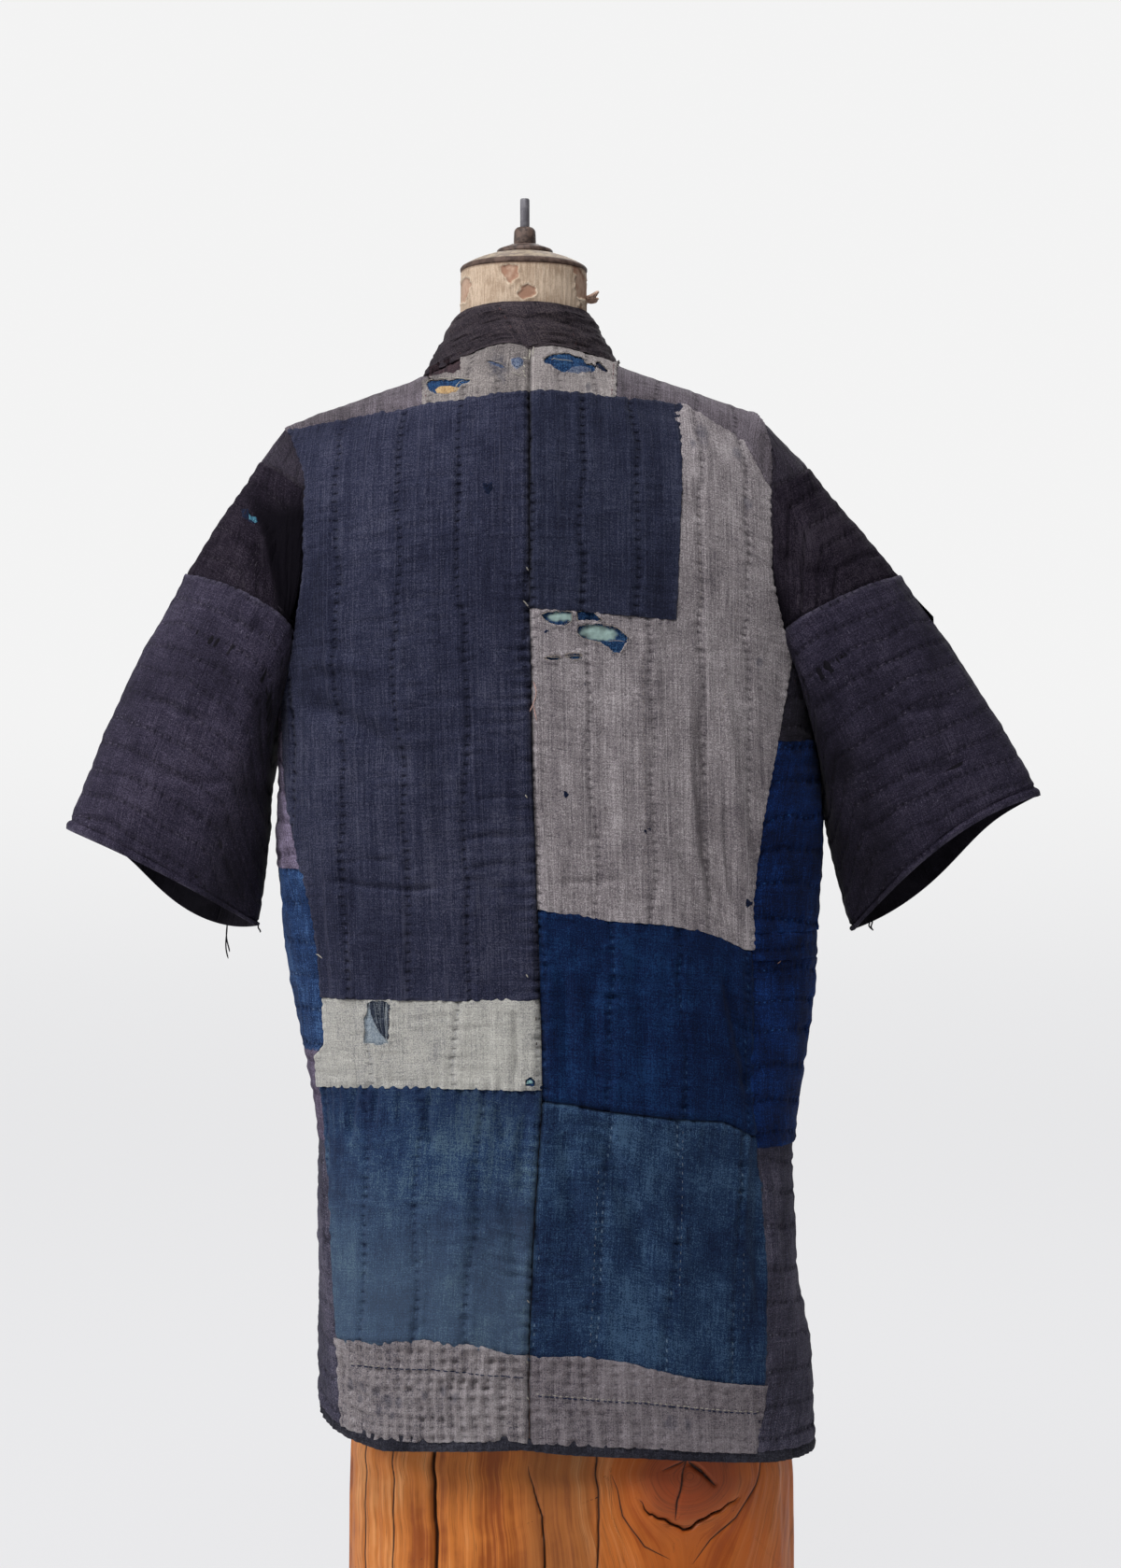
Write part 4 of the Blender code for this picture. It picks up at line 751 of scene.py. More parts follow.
# ------------------------------------------------------------------ the cloth
CREASE_DEPTH = 1.5          # how much deeper the creases are than the table's soft estimate
FOLDS = {                   # main creases seen from behind: across and height of each, width, depth
    "back": (
        # long patch of the left back: drag from under the arm, and creases above the pale patch
        dict(across=(.245, .205, .165, .14), height=(.872, .86, .838, .8), width=.012, depth=.0036),
        dict(across=(.24, .2, .16), height=(.905, .905, .893), width=.009, depth=-.0022),
        dict(across=(.15, .135, .122), height=(.9, .82, .74), width=.015, depth=-.0026),
        dict(across=(.185, .19, .192, .188), height=(.83, .78, .73, .66), width=.012, depth=.0026),
        dict(across=(.222, .18, .14, .105), height=(.716, .712, .709, .712), width=.0042, depth=.002),
        dict(across=(.215, .18, .15), height=(.728, .735, .733), width=.0038, depth=.0013),
        dict(across=(.1, .07, .045), height=(.752, .756, .753), width=.0038, depth=.0012),
        dict(across=(.095, .065, .042), height=(.727, .732, .729), width=.0036, depth=.0012),
        dict(across=(.09, .06, .042), height=(.785, .789, .786), width=.0034, depth=.001),
        # long patch of the right back: the drag fold and its fellows
        dict(across=(-.1068, -.1131, -.1155, -.1219, -.1425), height=(.889, .804, .74, .698, .666),
             width=.008, depth=.0046),
        dict(across=(-.101, -.107, -.113, -.125, -.144), height=(.845, .79, .735, .694, .668), width=.0042,
             depth=.0022),
        dict(across=(-.12, -.1215, -.125, -.134), height=(.81, .75, .708, .682), width=.004, depth=.0022),
        dict(across=(-.085, -.093, -.104, -.118, -.135), height=(.752, .732, .708, .686, .664), width=.0045,
             depth=.0016),
        dict(across=(-.129, -.131, -.135, -.14), height=(.79, .745, .715, .69), width=.004, depth=.0014),
        dict(across=(-.128, -.136, -.142, -.15), height=(.9, .82, .76, .69), width=.01, depth=-.0022),
        dict(across=(.02, -.005, -.044), height=(.716, .7155, .718), width=.0045, depth=.0012),
        dict(across=(-.02, -.024, -.026), height=(.9, .81, .73), width=.014, depth=.0012),
        # blue cloth below it
        dict(across=(-.129, -.1378, -.1481, -.1528), height=(.648, .601, .558, .515), width=.0065,
             depth=.0036),
        dict(across=(.012, .008, .004), height=(.66, .59, .52), width=.008, depth=.0022),
        dict(across=(-.014, -.018, -.02), height=(.65, .59, .53), width=.008, depth=.0018),
        dict(across=(-.05, -.058, -.06), height=(.66, .6, .54), width=.009, depth=.0016),
        dict(across=(-.018, -.034, -.052, -.066), height=(.52, .47, .425, .38), width=.01, depth=.0042),
        dict(across=(.01, .004, -.004), height=(.515, .46, .4), width=.009, depth=.003),
        dict(across=(-.07, -.088, -.1), height=(.47, .44, .42), width=.008, depth=.0016),
        dict(across=(-.16, -.158, -.165), height=(.5, .42, .33), width=.009, depth=.0024),
        # pale patch and the cloth gathered under it
        dict(across=(.05, .049, .048), height=(.612, .58, .545), width=.0045, depth=.0014),
        dict(across=(.123, .126, .122), height=(.541, .512, .482), width=.0045, depth=.0036),
        dict(across=(.19, .193, .196), height=(.541, .515, .486), width=.0045, depth=.003),
        dict(across=(.17, .172, .174), height=(.541, .52, .5), width=.004, depth=.0022),
        dict(across=(.149, .15, .149), height=(.541, .522, .505), width=.0035, depth=.0018),
        dict(across=(.066, .062, .06), height=(.53, .51, .49), width=.004, depth=.002),
        dict(across=(.04, .046, .044), height=(.525, .49, .44), width=.0055, depth=.0024),
        dict(across=(.09, .094, .098), height=(.5, .44, .37), width=.012, depth=-.0018),
        dict(across=(.06, .052, .046), height=(.46, .42, .36), width=.008, depth=.002),
    ),
    "left": (
        # sleeve: the crease from the worn hole down to the body, and soft ones beyond it
        dict(across=(.283, .276, .262, .251), height=(1.025, 1.0, .97, .945), width=.0085, depth=.005),
        dict(across=(.3, .286, .272), height=(.965, .955, .935), width=.01, depth=-.003),
        dict(across=(.385, .345, .3), height=(.885, .862, .85), width=.006, depth=.0016),
        dict(across=(.4, .36, .32, .29), height=(.83, .808, .8, .802), width=.006, depth=.0016),
        dict(across=(.268, .272, .276), height=(.9, .83, .76), width=.012, depth=.003),
        dict(across=(.33, .336, .342), height=(.92, .87, .8), width=.016, depth=-.0016),
    ),
    "right": (
        dict(across=(-.175, -.2, -.225), height=(1.005, .985, .975), width=.01, depth=.004),
        dict(across=(-.195, -.215, -.245), height=(1.04, 1.01, .99), width=.01, depth=-.0026),
        dict(across=(-.228, -.234, -.24), height=(.9, .84, .76), width=.012, depth=.003),
        dict(across=(-.27, -.3, -.34), height=(.87, .862, .872), width=.006, depth=.0016),
        dict(across=(-.28, -.31, -.35), height=(.815, .81, .822), width=.006, depth=.0016),
        dict(across=(-.3, -.306, -.31), height=(.92, .87, .8), width=.016, depth=-.0016),
    ),
}


def quilted(pitch, amount, seed, folds="back", drape=.0012, crosswise=False, width=.003):
    """Relief of a piece: furrows of stitching, the creases of its part of the garment, and a
    broad uneven hang.  Gives the offset, the row of stitching, and the distance along the row."""
    def read(u, v, points, a, b):
        x, z = points[..., 0], points[..., 2]
        across, along = (v, u) if crosswise else (u, v)
        stitched, row = quilting(across, along, pitch, amount, seed, width)
        broad = drape * (ripple(x / .055, z / .16, seed + 5) + .5 * ripple(x / .021, z / .07, seed + 6))
        return stitched + CREASE_DEPTH * creases(x, z, FOLDS[folds]) + broad, row, along
    return read


def cross_quilted(pitch, amount, seed, folds="back"):
    return quilted(pitch, amount, seed, folds, crosswise=True)


STAINS = (                  # dye that has run through from below: across, height, size
    (.1929, .2809, .003), (.181, .2796, .0034), (.171, .2793, .0028), (.1512, .2845, .002),
          (.1602, .2717, .0036),
    (.1668, .263, .0028), (.1504, .2718, .003), (.1109, .2837, .0026), (.127, .2798, .0024),
          (.1013, .2777, .003),
    (.156, .26, .0022), (.184, .272, .002), (-.0813, .2567, .004), (-.0982, .2527, .003), (-.052, .29, .0018),
    (-.11, 1.102, .005), (-.102, 1.095, .003), (-.141, 1.087, .0036), (-.15, 1.042, .0034),
    (-.16, .905, .0022),
    (.063, 1.15, .003), (.068, 1.1625, .0055), (.061, 1.159, .004), (-.012, 1.143, .0024),
)
TORN = dict(                # outlines of the torn places, seen from behind: across, height
    first=((.0284, .944), (.0212, .9464), (.0117, .9472), (.0012, .9472), (.002, .9409), (.0035, .937),
           (.0093, .9345), (.018, .9353), (.0244, .9385)),
    second=((-.002, .9462), (-.0089, .948), (-.0169, .9472), (-.0201, .9417), (-.0245, .9396),
            (-.022, .938), (-.0105, .9393), (-.0026, .938)),
    third=((-.0018, .929), (-.0034, .9337), (-.0097, .9361), (-.0177, .9361), (-.0264, .9354),
           (-.0336, .9338), (-.0391, .9307), (-.0431, .9267), (-.0471, .9244), (-.0439, .9196),
           (-.0391, .9116), (-.0328, .9116), (-.028, .9163), (-.0224, .9203), (-.0081, .9234)),
    upper_slit=((.0252, .907), (.0196, .9091), (.0117, .9091), (.0109, .9059), (.0196, .9046)),
    lower_slit=((.0085, .9091), (.0022, .9115), (-.0058, .9107), (-.0066, .9068), (.0022, .906)),
    pale=((.1769, .6125), (.173, .6133), (.1617, .613), (.1578, .6096), (.1584, .6023), (.1589, .5903),
          (.1592, .5773), (.1682, .5762), (.1801, .5773), (.1806, .5822), (.1806, .6), (.1782, .6035),
          (.1779, .611)),
    corner=((.0427, .543), (.0412, .548), (.0372, .55), (.0336, .547), (.0336, .543)),
    left_neck=((.129, 1.1505), (.126, 1.1538), (.1175, 1.153), (.109, 1.1513), (.0991, 1.1516),
               (.0867, 1.1488), (.0907, 1.1464), (.0975, 1.1452), (.0995, 1.141), (.103, 1.1375),
               (.1102, 1.137), (.1201, 1.1384), (.1262, 1.142)),
    left_slit=((.0756, 1.1671), (.0699, 1.166), (.0633, 1.163), (.0584, 1.1588), (.0633, 1.1583),
               (.0715, 1.1622)),
    left_missing=((.15, 1.2), (.099, 1.2), (.0983, 1.1722), (.099, 1.16), (.105, 1.1575),
                  (.111, 1.159), (.12, 1.1575), (.127, 1.156), (.14, 1.15)),
    right_neck=((.027, 1.167), (.0198, 1.172), (.0117, 1.1746), (.0019, 1.1738), (-.0079, 1.1712),
                (-.011, 1.166), (-.016, 1.1655), (-.0195, 1.1612), (-.0159, 1.1574), (-.0061, 1.1555),
                (.0036, 1.1547), (.0101, 1.1552), (.0165, 1.1584), (.0246, 1.1635)),
    right_slit=((-.017, 1.1684), (-.0227, 1.1686), (-.0291, 1.1621), (-.03, 1.1575), (-.0241, 1.1583),
                (-.0205, 1.1625)),
    right_missing=((-.0335, 1.148), (-.0345, 1.1478), (-.0345, 1.144), (-.0338, 1.144)),
)


centre = at_round(0.0)
SEAMS = {name: level(table) for name, table in SEAM.items()}


def inside_navy(a, b):
    """Depth inside the dark patch let into the right back, in metres from its edge."""
    return np.minimum((a - navy_edge(b)) / ROUND_PER_METRE, b - SEAMS["navy_right_bottom"](a))


def make_back():
    left, right = (centre, back_edge("left")), (centre, back_edge("right"))
    cloth("navy_left", shell_round, left, (SEAMS["cream_top"], yoke_seam("left")),
          ("butt", "over", "over", "over"), quilted(.0575, .0019, 1), pucker=(.0016, .0005, .0007, .0004),
          uv_from=(0, .6))
    cloth("cream_left", shell_round, left, (SEAMS["cream_bottom"], SEAMS["cream_top"]),
          ("butt", "over", "over", "under"), quilted(.075, .0013, 2), pucker=(.0004, .0003, .0013, .0003),
          uv_from=(0, .54), cell=.0014, holes=[TORN["pale"], TORN["corner"]])
    cloth("blue_low_left", shell_round, left, (SEAMS["hem_patch_left"], SEAMS["cream_bottom"]),
          ("butt", "under", "under", "under"), quilted(.052, .0018, 3), pucker=(.0016, .0004, .0007, .0019),
          uv_from=(0, .32))
    cloth("hem_patch_left", shell_round, left, (SEAMS["binding"], SEAMS["hem_patch_left"]),
          ("butt", "over", "over", "over"), quilted(.0105, .0026, 4, width=.0026),
          pucker=(.001, .0002, .0005, .0008), uv_from=(0, .24))
    cloth("navy_right", shell_round, (centre, navy_edge), (SEAMS["navy_right_bottom"], yoke_seam("right")),
          ("butt", "over", "over", "over"), quilted(.045, .0019, 5), pucker=(.0006, .0004, .0004, .0004),
          uv_from=(0, .94))

    def grey_relief(u, v, points, a, b):
        offset, row, run = quilted(.05, .0014, 6)(u, v, points, a, b)
        return offset - .0023 * ease(inside_navy(a, b) / .004 + .6), row, run
    cloth("grey_right", shell_round, (centre, grey_edge), (SEAMS["grey_bottom"], yoke_seam("right")),
          ("butt", "over", "over", "over"), grey_relief, skip=lambda a, b: inside_navy(a, b) > .009,
          pucker=(.0006, .0004, .0007, .0003), uv_from=(0, .66), focus=((0.0, .5), (.49, .62)),
          holes=[TORN[key] for key in ("first", "second", "third", "upper_slit", "lower_slit")])
    cloth("blue_mid_right", shell_round, right, (SEAMS["blue_bottom"], SEAMS["grey_bottom"]),
          ("butt", "butt", "butt", "under"), quilted(.062, .002, 7), pucker=(.0005, .0003, .0008, .0005),
          uv_from=(0, .5))
    cloth("blue_low_right", shell_round, right, (SEAMS["hem_patch_right"], SEAMS["blue_bottom"]),
          ("butt", "butt", "under", "butt"), quilted(.06, .0019, 8), pucker=(.0005, .0003, .0006, .0008),
          uv_from=(0, .3))
    cloth("hem_patch_right", shell_round, right, (SEAMS["binding"], SEAMS["hem_patch_right"]),
          ("butt", "over", "over", "over"), quilted(.0125, .0015, 9, width=.0026),
          pucker=(.0008, .0002, .0004, .0009), uv_from=(0, .24))


def make_sides():
    """The strips under the arms, from the back edge round to the front panel."""
    rows = {   # piece, seam below, seam above; None is the hem binding or the armhole
        "left": (("charcoal", None, "charcoal"), ("thin", "charcoal", "thin"),
                 ("blue", "thin", "blue"), ("grey", "blue", None)),
        "right": (("charcoal", None, "charcoal"), ("navy", "charcoal", "navy"),
                  ("strip", "navy", "strip"), ("blue", "strip", "blue"), ("dark", "blue", None)),
    }
    for side, pieces in rows.items():
        front = at_round(OPENING if side == "left" else -OPENING)
        for number, (name, low, high) in enumerate(pieces):
            bottom = flat_level(SIDE_LEVEL[side][low]) if low else SEAMS["binding"]
            top = flat_level(SIDE_LEVEL[side][high]) if high else underarm_level(side)
            cloth(f"side_{side}_{name}", shell_round, (side_seam(side), front), (bottom, top),
                  ("under", "butt", "over", "under" if high else "butt"),
                  cross_quilted(.03, .0019, 10 + number), cell=.003, pucker=(0, .0003, .0005, .0003),
                  uv_from=(0, .2))


def make_fronts():
    for side in ("left", "right"):
        side_level = ARMHOLE[side]["height"][0]
        outer = at_round(OPENING if side == "left" else -OPENING)

        def edge(z, side=side, low=side_level, outer=outer):
            own = armhole_front(side)(z)
            return np.where(z > low, own, outer(z))
        cloth(f"front_{side}", shell_round, (edge, front_edge(side)),
              (SEAMS["binding"], flat_level(YOKE_FRONT)), ("butt", "under", "butt", "under"),
              quilted(.055, .001, 20), cell=PLAIN_CELL, pucker=(0, .0003, .0005, .0003), uv_from=(0, .2))


def make_hem():
    ends = (front_edge("right"), front_edge("left"))
    cloth("hem_binding", shell_round, ends, (level(HEM), SEAMS["binding"]), ("butt", "butt", "free", "under"),
          quilted(.0085, .0009, 21, drape=.0004, width=.0022), cell=.0028, pucker=(0, 0, .0005, .0003),
          turned=.006)


def make_shoulders():
    for side in ("left", "right"):
        back, patch = back_level(YOKE_BACK[side]), NECK_PATCH[side]
        middle_x = lambda up: np.full_like(up, body("seam", 1.0))
        x0, x1 = np.array(patch), np.array(NECKLINE[side])
        start, stop = back(x0), collar_seam(side)(x1)
        edge = lambda up, x0=x0, x1=x1, start=start, stop=stop: (
            x0 + (x1 - x0) * np.clip((up - start) / (stop - start), 0, 1))
        cloth(f"neck_patch_{side}", shell_over, (middle_x, edge), (back, collar_seam(side)),
              ("butt", "over", "over", "under"), quilted(.03, .0008, 24, drape=.0006), guess=1.16,
              units=(1, 1), pucker=(.0003, .0002, .0004, .0004), uv_from=(0, 1.13), cell=.001,
              holes=[TORN[f"{side}_{key}"] for key in ("neck", "slit", "missing")])
        hole = solved(lambda z, side=side: armhole_across(side, z), ARMHOLE[side]["across"][-1])
        low = back
        if side == "right":
            # the tail that runs down beside the long grey patch is a part of the same cloth
            grey = lambda x: np.interp(x, GREY_EDGE["across"][:2], GREY_EDGE["height"][:2])
            tail = lambda x: up_of(x, np.where(x < GREY_EDGE["across"][1], grey(x), 9.0))
            low = lambda x, back=back, tail=tail: np.where(x < GREY_EDGE["across"][1], tail(x), back(x))
        cloth(f"yoke_{side}", shell_over, (neck_edge(side), hole), (low, front_level(YOKE_FRONT)),
              ("under", "over", "under", "over"), quilted(.04, .0009, 26), guess=1.2, units=(1, 1),
              pucker=(.0002, .0003, .0004, .0003), uv_from=(0, 1.12))


def make_collar():
    edge = .985
    soft = quilted(.06, .0005, 30, drape=.0006)

    def rolls(u, v, points, a, b):
        """Two soft rolls that follow the collar round, at about half and three quarters of it."""
        wave = (.9 * np.exp(-((b - .36) / .11) ** 2) + 1.1 * np.exp(-((b - .8) / .1) ** 2)
                - 1.1 * np.exp(-((b - .57) / .07) ** 2) - 1.3 * np.exp(-((b - .05) / .1) ** 2))
        strength = (.0013 * (1 + .5 * ripple(a / .35, b / .6, 31))
                    * (.35 + .65 * np.exp(-(a / .4) ** 4)))
        offset, row, run = soft(u, v, points, a, b)
        fine = (.0009 * ripple(a / .2 + b, b / .045 + 1.2 * a, 32)
                + .0005 * ripple(a / .1, b / .022 + a, 33))
        return offset + strength * wave + fine, row, run
    cloth("collar", collar_surface, (at_round(-edge), at_round(edge)), (flat_level(0.0), flat_level(1.0)),
          ("butt", "butt", "over", "free"), rolls, guess=.5, units=(9, 20), turned=.012,
          pucker=(0, 0, .0004, .0002))
    for side in ("left", "right"):
        sign = 1 if side == "left" else -1
        cloth(f"band_{side}", collar_surface, (at_round(sign * 1.012), at_round(sign * 3.0)),
              (flat_level(0.0), flat_level(1.0)), ("butt", "free", "over", "free"),
              cross_quilted(.06, .0008, 33), guess=.5, units=(3, 16), cell=PLAIN_CELL,
              pucker=(0, 0, .0005, .0003), turned=.01)


def painted_sleeve_shade(turn, along, start=.6):
    """Painted shade where the sleeve turns under towards the body, for the fold's shadow there; the dye there
    is also somewhat darker.
    """
    share = (1 - np.cos(turn)) / 2 + .05 * ripple(along / .11, turn / .5, 50)
    return ease((share - start) / .22) * (.75 + .25 * ripple(along / .07, turn / .3, 51))


CUFF_LIFT = {"left": .028, "right": .02}   # how far the front of the cuff rides up, as a share of the sleeve


def cuffed(side, edge):
    """Quilting of the lower sleeve, with its hem: a rolled edge dimpled by close stitches, and the
    furrow where the turned cloth ends."""
    soft = cross_quilted(.024, .001, 44, side)

    def read(u, v, points, a, b):
        offset, row, run = soft(u, v, points, a, b)
        up = (edge(a) - b) * SLEEVE_LENGTH
        dimple = (.5 + .5 * np.cos(2 * math.pi * (u / .0058 + .3 * ripple(u / .03, 0 * u, 45)))) ** 2
        hem = (.0014 * np.exp(-((up - .0042) / .0032) ** 2) - .0018 * np.exp(-((up - .0095) / .0014) ** 2)
               - .001 * dimple * np.exp(-((up - .007) / .003) ** 2))
        return offset * ease((up - .004) / .01) + hem, row, run
    return read


# the fold that falls from the left shoulder in front of the sleeve
TUCK = dict(height=(.93, .945, .995, 1.023, 1.049, 1.062), across=(.256, .2585, .2683, .2748, .2887, .296))


def behind_tuck(points, start=-.002, wide=.008):
    """1 where the left sleeve lies behind the fold that falls from the shoulder, 0 outside it."""
    x, y, z = np.moveaxis(points, -1, 0)
    depth = np.interp(z, TUCK["height"], TUCK["across"]) - x
    return ease((depth - start) / wide) * ease(y / .02) * ease((1.062 - z) / .03) * ease((x - .1) / .05)


def tucked(soft):
    """The relief soft, with a trough along the fold of the left sleeve, deepest 11 mm behind it."""
    def read(u, v, points, a, b):
        offset, row, run = soft(u, v, points, a, b)
        fall = behind_tuck(points, 0, .011) * (1 - behind_tuck(points, .011, .03))
        return offset - .007 * fall, row, run
    return read


def make_sleeves():
    for side in ("left", "right"):
        tube = sleeve_surface(side)
        hub = tube(np.linspace(0, 2 * math.pi, 24), np.full(24, .5)).mean(axis=0)
        hole = lambda turn: 0 * turn
        cap, middle_seam = seam_along(side, "cap"), seam_along(side, "middle")
        cap_end, middle_end = (turn_at(side, SLEEVE[side][key][1]) for key in ("cap", "middle"))
        # painted shade on the cap and upper sleeve: the side turned under, and on the left the cloth in the
        # shadow behind the fold from the shoulder
        shaded = lambda turn, along, start=.6 if side == "left" else .5: np.maximum(
            painted_sleeve_shade(turn, along, start), behind_tuck(tube(turn, along)))
        units = (16.0, 1 / SLEEVE_LENGTH)
        place = lambda value: (lambda along: np.full_like(along, value))
        cloth(f"sleeve_cap_{side}", tube, (place(-cap_end), place(cap_end)), (hole, cap),
              ("none", "none", "under", "under"), quilted(.024, .0008, 40, side), guess=.03, units=units,
              outward=hub, cell=.0028, pucker=(0, 0, .0006, .0004), painted_shade=shaded)
        cloth(f"sleeve_upper_{side}", tube, (place(-middle_end), place(middle_end)), (cap, middle_seam),
              ("none", "none", "over", "under"), tucked(cross_quilted(.024, .0012, 42, side)), guess=.2,
              units=units, outward=hub, pucker=(0, 0, .0005, .0004), painted_shade=shaded)
        edge = lambda turn, lift=CUFF_LIFT[side]: 1 - lift * np.exp(-((turn - 5.25) / .5) ** 2)
        cloth(f"sleeve_lower_{side}", tube, (place(0.0), place(2 * math.pi)), (middle_seam, edge),
              ("none", "none", "over", "free"), cuffed(side, edge), guess=.5,
              units=units, outward=hub, closed=True, turned=.055, pucker=(0, 0, .0005, 0), painted_shade=painted_sleeve_shade)


# ------------------------------------------------------------------ scraps and threads
EXTRAS = {}                 # the small pieces sewn to each piece of cloth


def on_cloth(parent, x, z, lift=0.0):
    """Points on a finished piece of cloth at an across and a height seen from behind, raised along
    its normal: a mean of the four nearest grid points weighted by nearness."""
    points, normal = (grid.reshape(-1, 3) for grid in GRIDS[parent][:2])
    x, z = (np.asarray(value, float).ravel() for value in (x, z))
    near = ((points[:, 0] > x.min() - .006) & (points[:, 0] < x.max() + .006) & (points[:, 1] > 0)
            & (points[:, 2] > z.min() - .006) & (points[:, 2] < z.max() + .006))
    points, normal = points[near], normal[near]
    out = []
    for k in range(0, len(x), 64):
        gap = (points[:, 0] - x[k:k + 64, None]) ** 2 + (points[:, 2] - z[k:k + 64, None]) ** 2
        four = np.argpartition(gap, 3, axis=1)[:, :4]
        share = 1 / (np.take_along_axis(gap, four, 1) + 1e-8)
        share = (share / share.sum(axis=1, keepdims=True))[..., None]
        out.append(np.stack([(points[four] * share).sum(axis=1), (normal[four] * share).sum(axis=1)], 1))
    spot, way = np.moveaxis(np.concatenate(out), 1, 0)
    way /= np.linalg.norm(way, axis=-1, keepdims=True)
    spot[:, 0], spot[:, 2] = x, z
    return spot + way * np.broadcast_to(np.asarray(lift, float).ravel(), x.shape)[:, None], way


def closed_outline(outline, count, seed, ragged):
    """A closed outline divided evenly, its corners softened and its edge made ragged."""
    corners = np.array(outline + outline[:1])
    run = np.concatenate([[0], np.cumsum(np.linalg.norm(np.diff(corners, axis=0), axis=1))])
    place = np.linspace(0, run[-1], count, endpoint=False)
    ring = np.stack([np.interp(place, run, corners[:, k]) for k in (0, 1)], -1)
    for _ in range(2):
        ring = (np.roll(ring, 1, 0) + 2 * ring + np.roll(ring, -1, 0)) / 4
    out = ring - ring.mean(axis=0)
    out /= np.linalg.norm(out, axis=1, keepdims=True)
    jag = ripple(place / .003, 0 * place, seed) + .7 * ripple(place / .0013, 0 * place, seed + 1)
    return ring + out * (ragged * jag)[:, None]


def scrap(name, parent, outline, kind, lift=.0003, ragged=.0006, rings=9, count=90, seed=1, rumple=.0004,
          faded=None):
    """A torn bit of cloth that lies on a piece of cloth, or below a hole in it: rings shrunk from
    its outline to its middle, the outermost tucked down."""
    edge = closed_outline(outline, count, seed, ragged)
    middle = edge.mean(axis=0)
    share = np.array([0.0] + [((k + 1) / rings) ** .8 for k in range(rings)])
    flat = middle + (edge - middle) * share[1:, None, None]
    x, z = (np.concatenate([[middle[k]], flat[..., k].ravel()]) for k in (0, 1))
    ring = np.concatenate([[0.0], np.repeat(share[1:], count)])
    wavy = rumple * (ripple(x / .0035, z / .0035, seed + 2) + .6 * ripple(x / .0015, z / .006, seed + 3))
    points, way = on_cloth(parent, x, z, lift + wavy * (1 - ring ** 6) - .0007 * (ring > .999))
    corner = lambda k, c: 1 + k * count + c % count
    k, c = (g.ravel() for g in np.meshgrid(np.arange(rings - 1), np.arange(count), indexing="ij"))
    faces = np.stack([corner(k, c), corner(k, c + 1), corner(k + 1, c + 1), corner(k + 1, c)], 1).tolist()
    faces += [[0, 1 + (c + 1) % count, 1 + c] for c in range(count)]
    if facing(points, faces[0], way[0]) < 0:
        faces = [face[::-1] for face in faces]
    if facing(points, faces[-1], way[0]) < 0:
        faces[-count:] = [face[::-1] for face in faces[-count:]]
    flat_face = np.concatenate([np.array(face) for face in faces])
    far = np.ones(len(x))
    reach = np.linalg.norm(np.stack([x, z], -1) - middle, axis=1).max()
    values = dict(edge=far, row=far * .5, run=far, groove=0 * far, painted_shade=0 * far, stain=0 * far,
                  tear=np.exp(-((1 - ring) * reach / .0012) ** 2))
    pale = outline_distance(x, z, faded) if faded else far
    values["faded"] = 1 - ease((pale + .0014 + .0012 * ripple(x / .003, z / .003, seed + 5)) / .0034)
    piece = make_mesh(name, points, faces, np.stack([x, z], -1)[flat_face], values)
    EXTRAS.setdefault(parent, []).append((piece, kind))
    return piece


def facing(points, face, way):
    """Above nought where a face looks the way of a direction."""
    a, b, c = (points[k] for k in face[:3])
    return np.cross(b - a, c - a) @ way


def even_path(path, step):
    """A broken line of any dimension divided evenly, with its corners softened."""
    path = np.array(path, float)
    run = np.concatenate([[0], np.cumsum(np.linalg.norm(np.diff(path, axis=0), axis=1))])
    place = np.linspace(0, run[-1], max(int(run[-1] / step), 3) + 1)
    line = np.stack([np.interp(place, run, column) for column in path.T], -1)
    for _ in range(3):
        line[1:-1] = (line[:-2] + 2 * line[1:-1] + line[2:]) / 4
    return line


def tubes(name, lines, radius, sides=5):
    """Round threads joined in one piece, each a row of rings drawn to a point at both ends."""
    verts, faces, turn = [], [], np.linspace(0, 2 * math.pi, sides, endpoint=False)
    for points in lines:
        along = np.gradient(points, axis=0)
        along /= np.linalg.norm(along, axis=1, keepdims=True)
        across = np.cross(along, (.31, .87, .38))
        across /= np.linalg.norm(across, axis=1, keepdims=True)
        up = np.cross(across, along)
        thin = np.ones(len(points))
        thin[[0, -1]] = .45
        ring = points[:, None] + radius * thin[:, None, None] * (
            across[:, None] * np.cos(turn)[None, :, None] + up[:, None] * np.sin(turn)[None, :, None])
        base, count = sum(map(len, verts)), len(points)
        verts.append(ring.reshape(-1, 3))
        k, c = (g.ravel() for g in np.meshgrid(np.arange(count - 1), np.arange(sides), indexing="ij"))
        corner = lambda kk, cc: base + kk * sides + cc % sides
        faces += np.stack([corner(k, c), corner(k + 1, c), corner(k + 1, c + 1), corner(k, c + 1)],
                          1).tolist()
        faces += [[base + c for c in range(sides)][::-1],
                  [base + (count - 1) * sides + c for c in range(sides)]]
    return make_mesh(name, np.concatenate(verts), faces)


def thread_on(parent, path, lift=.0004, wander=.0006, seed=1):
    """A loose thread that lies on the cloth along a path of across and height, and wanders a little."""
    line = even_path(path, .0022)
    place = np.arange(len(line)) * .0022
    line = line + wander * np.stack([ripple(place / .006, 0 * place, seed + k) for k in (0, 1)], -1)
    rise = lift * (1 + .8 * ripple(place / .005, 0 * place, seed + 2))
    rise[[0, -1]] = -.0003
    return [on_cloth(parent, line[:, 0], line[:, 1], rise)[0]]


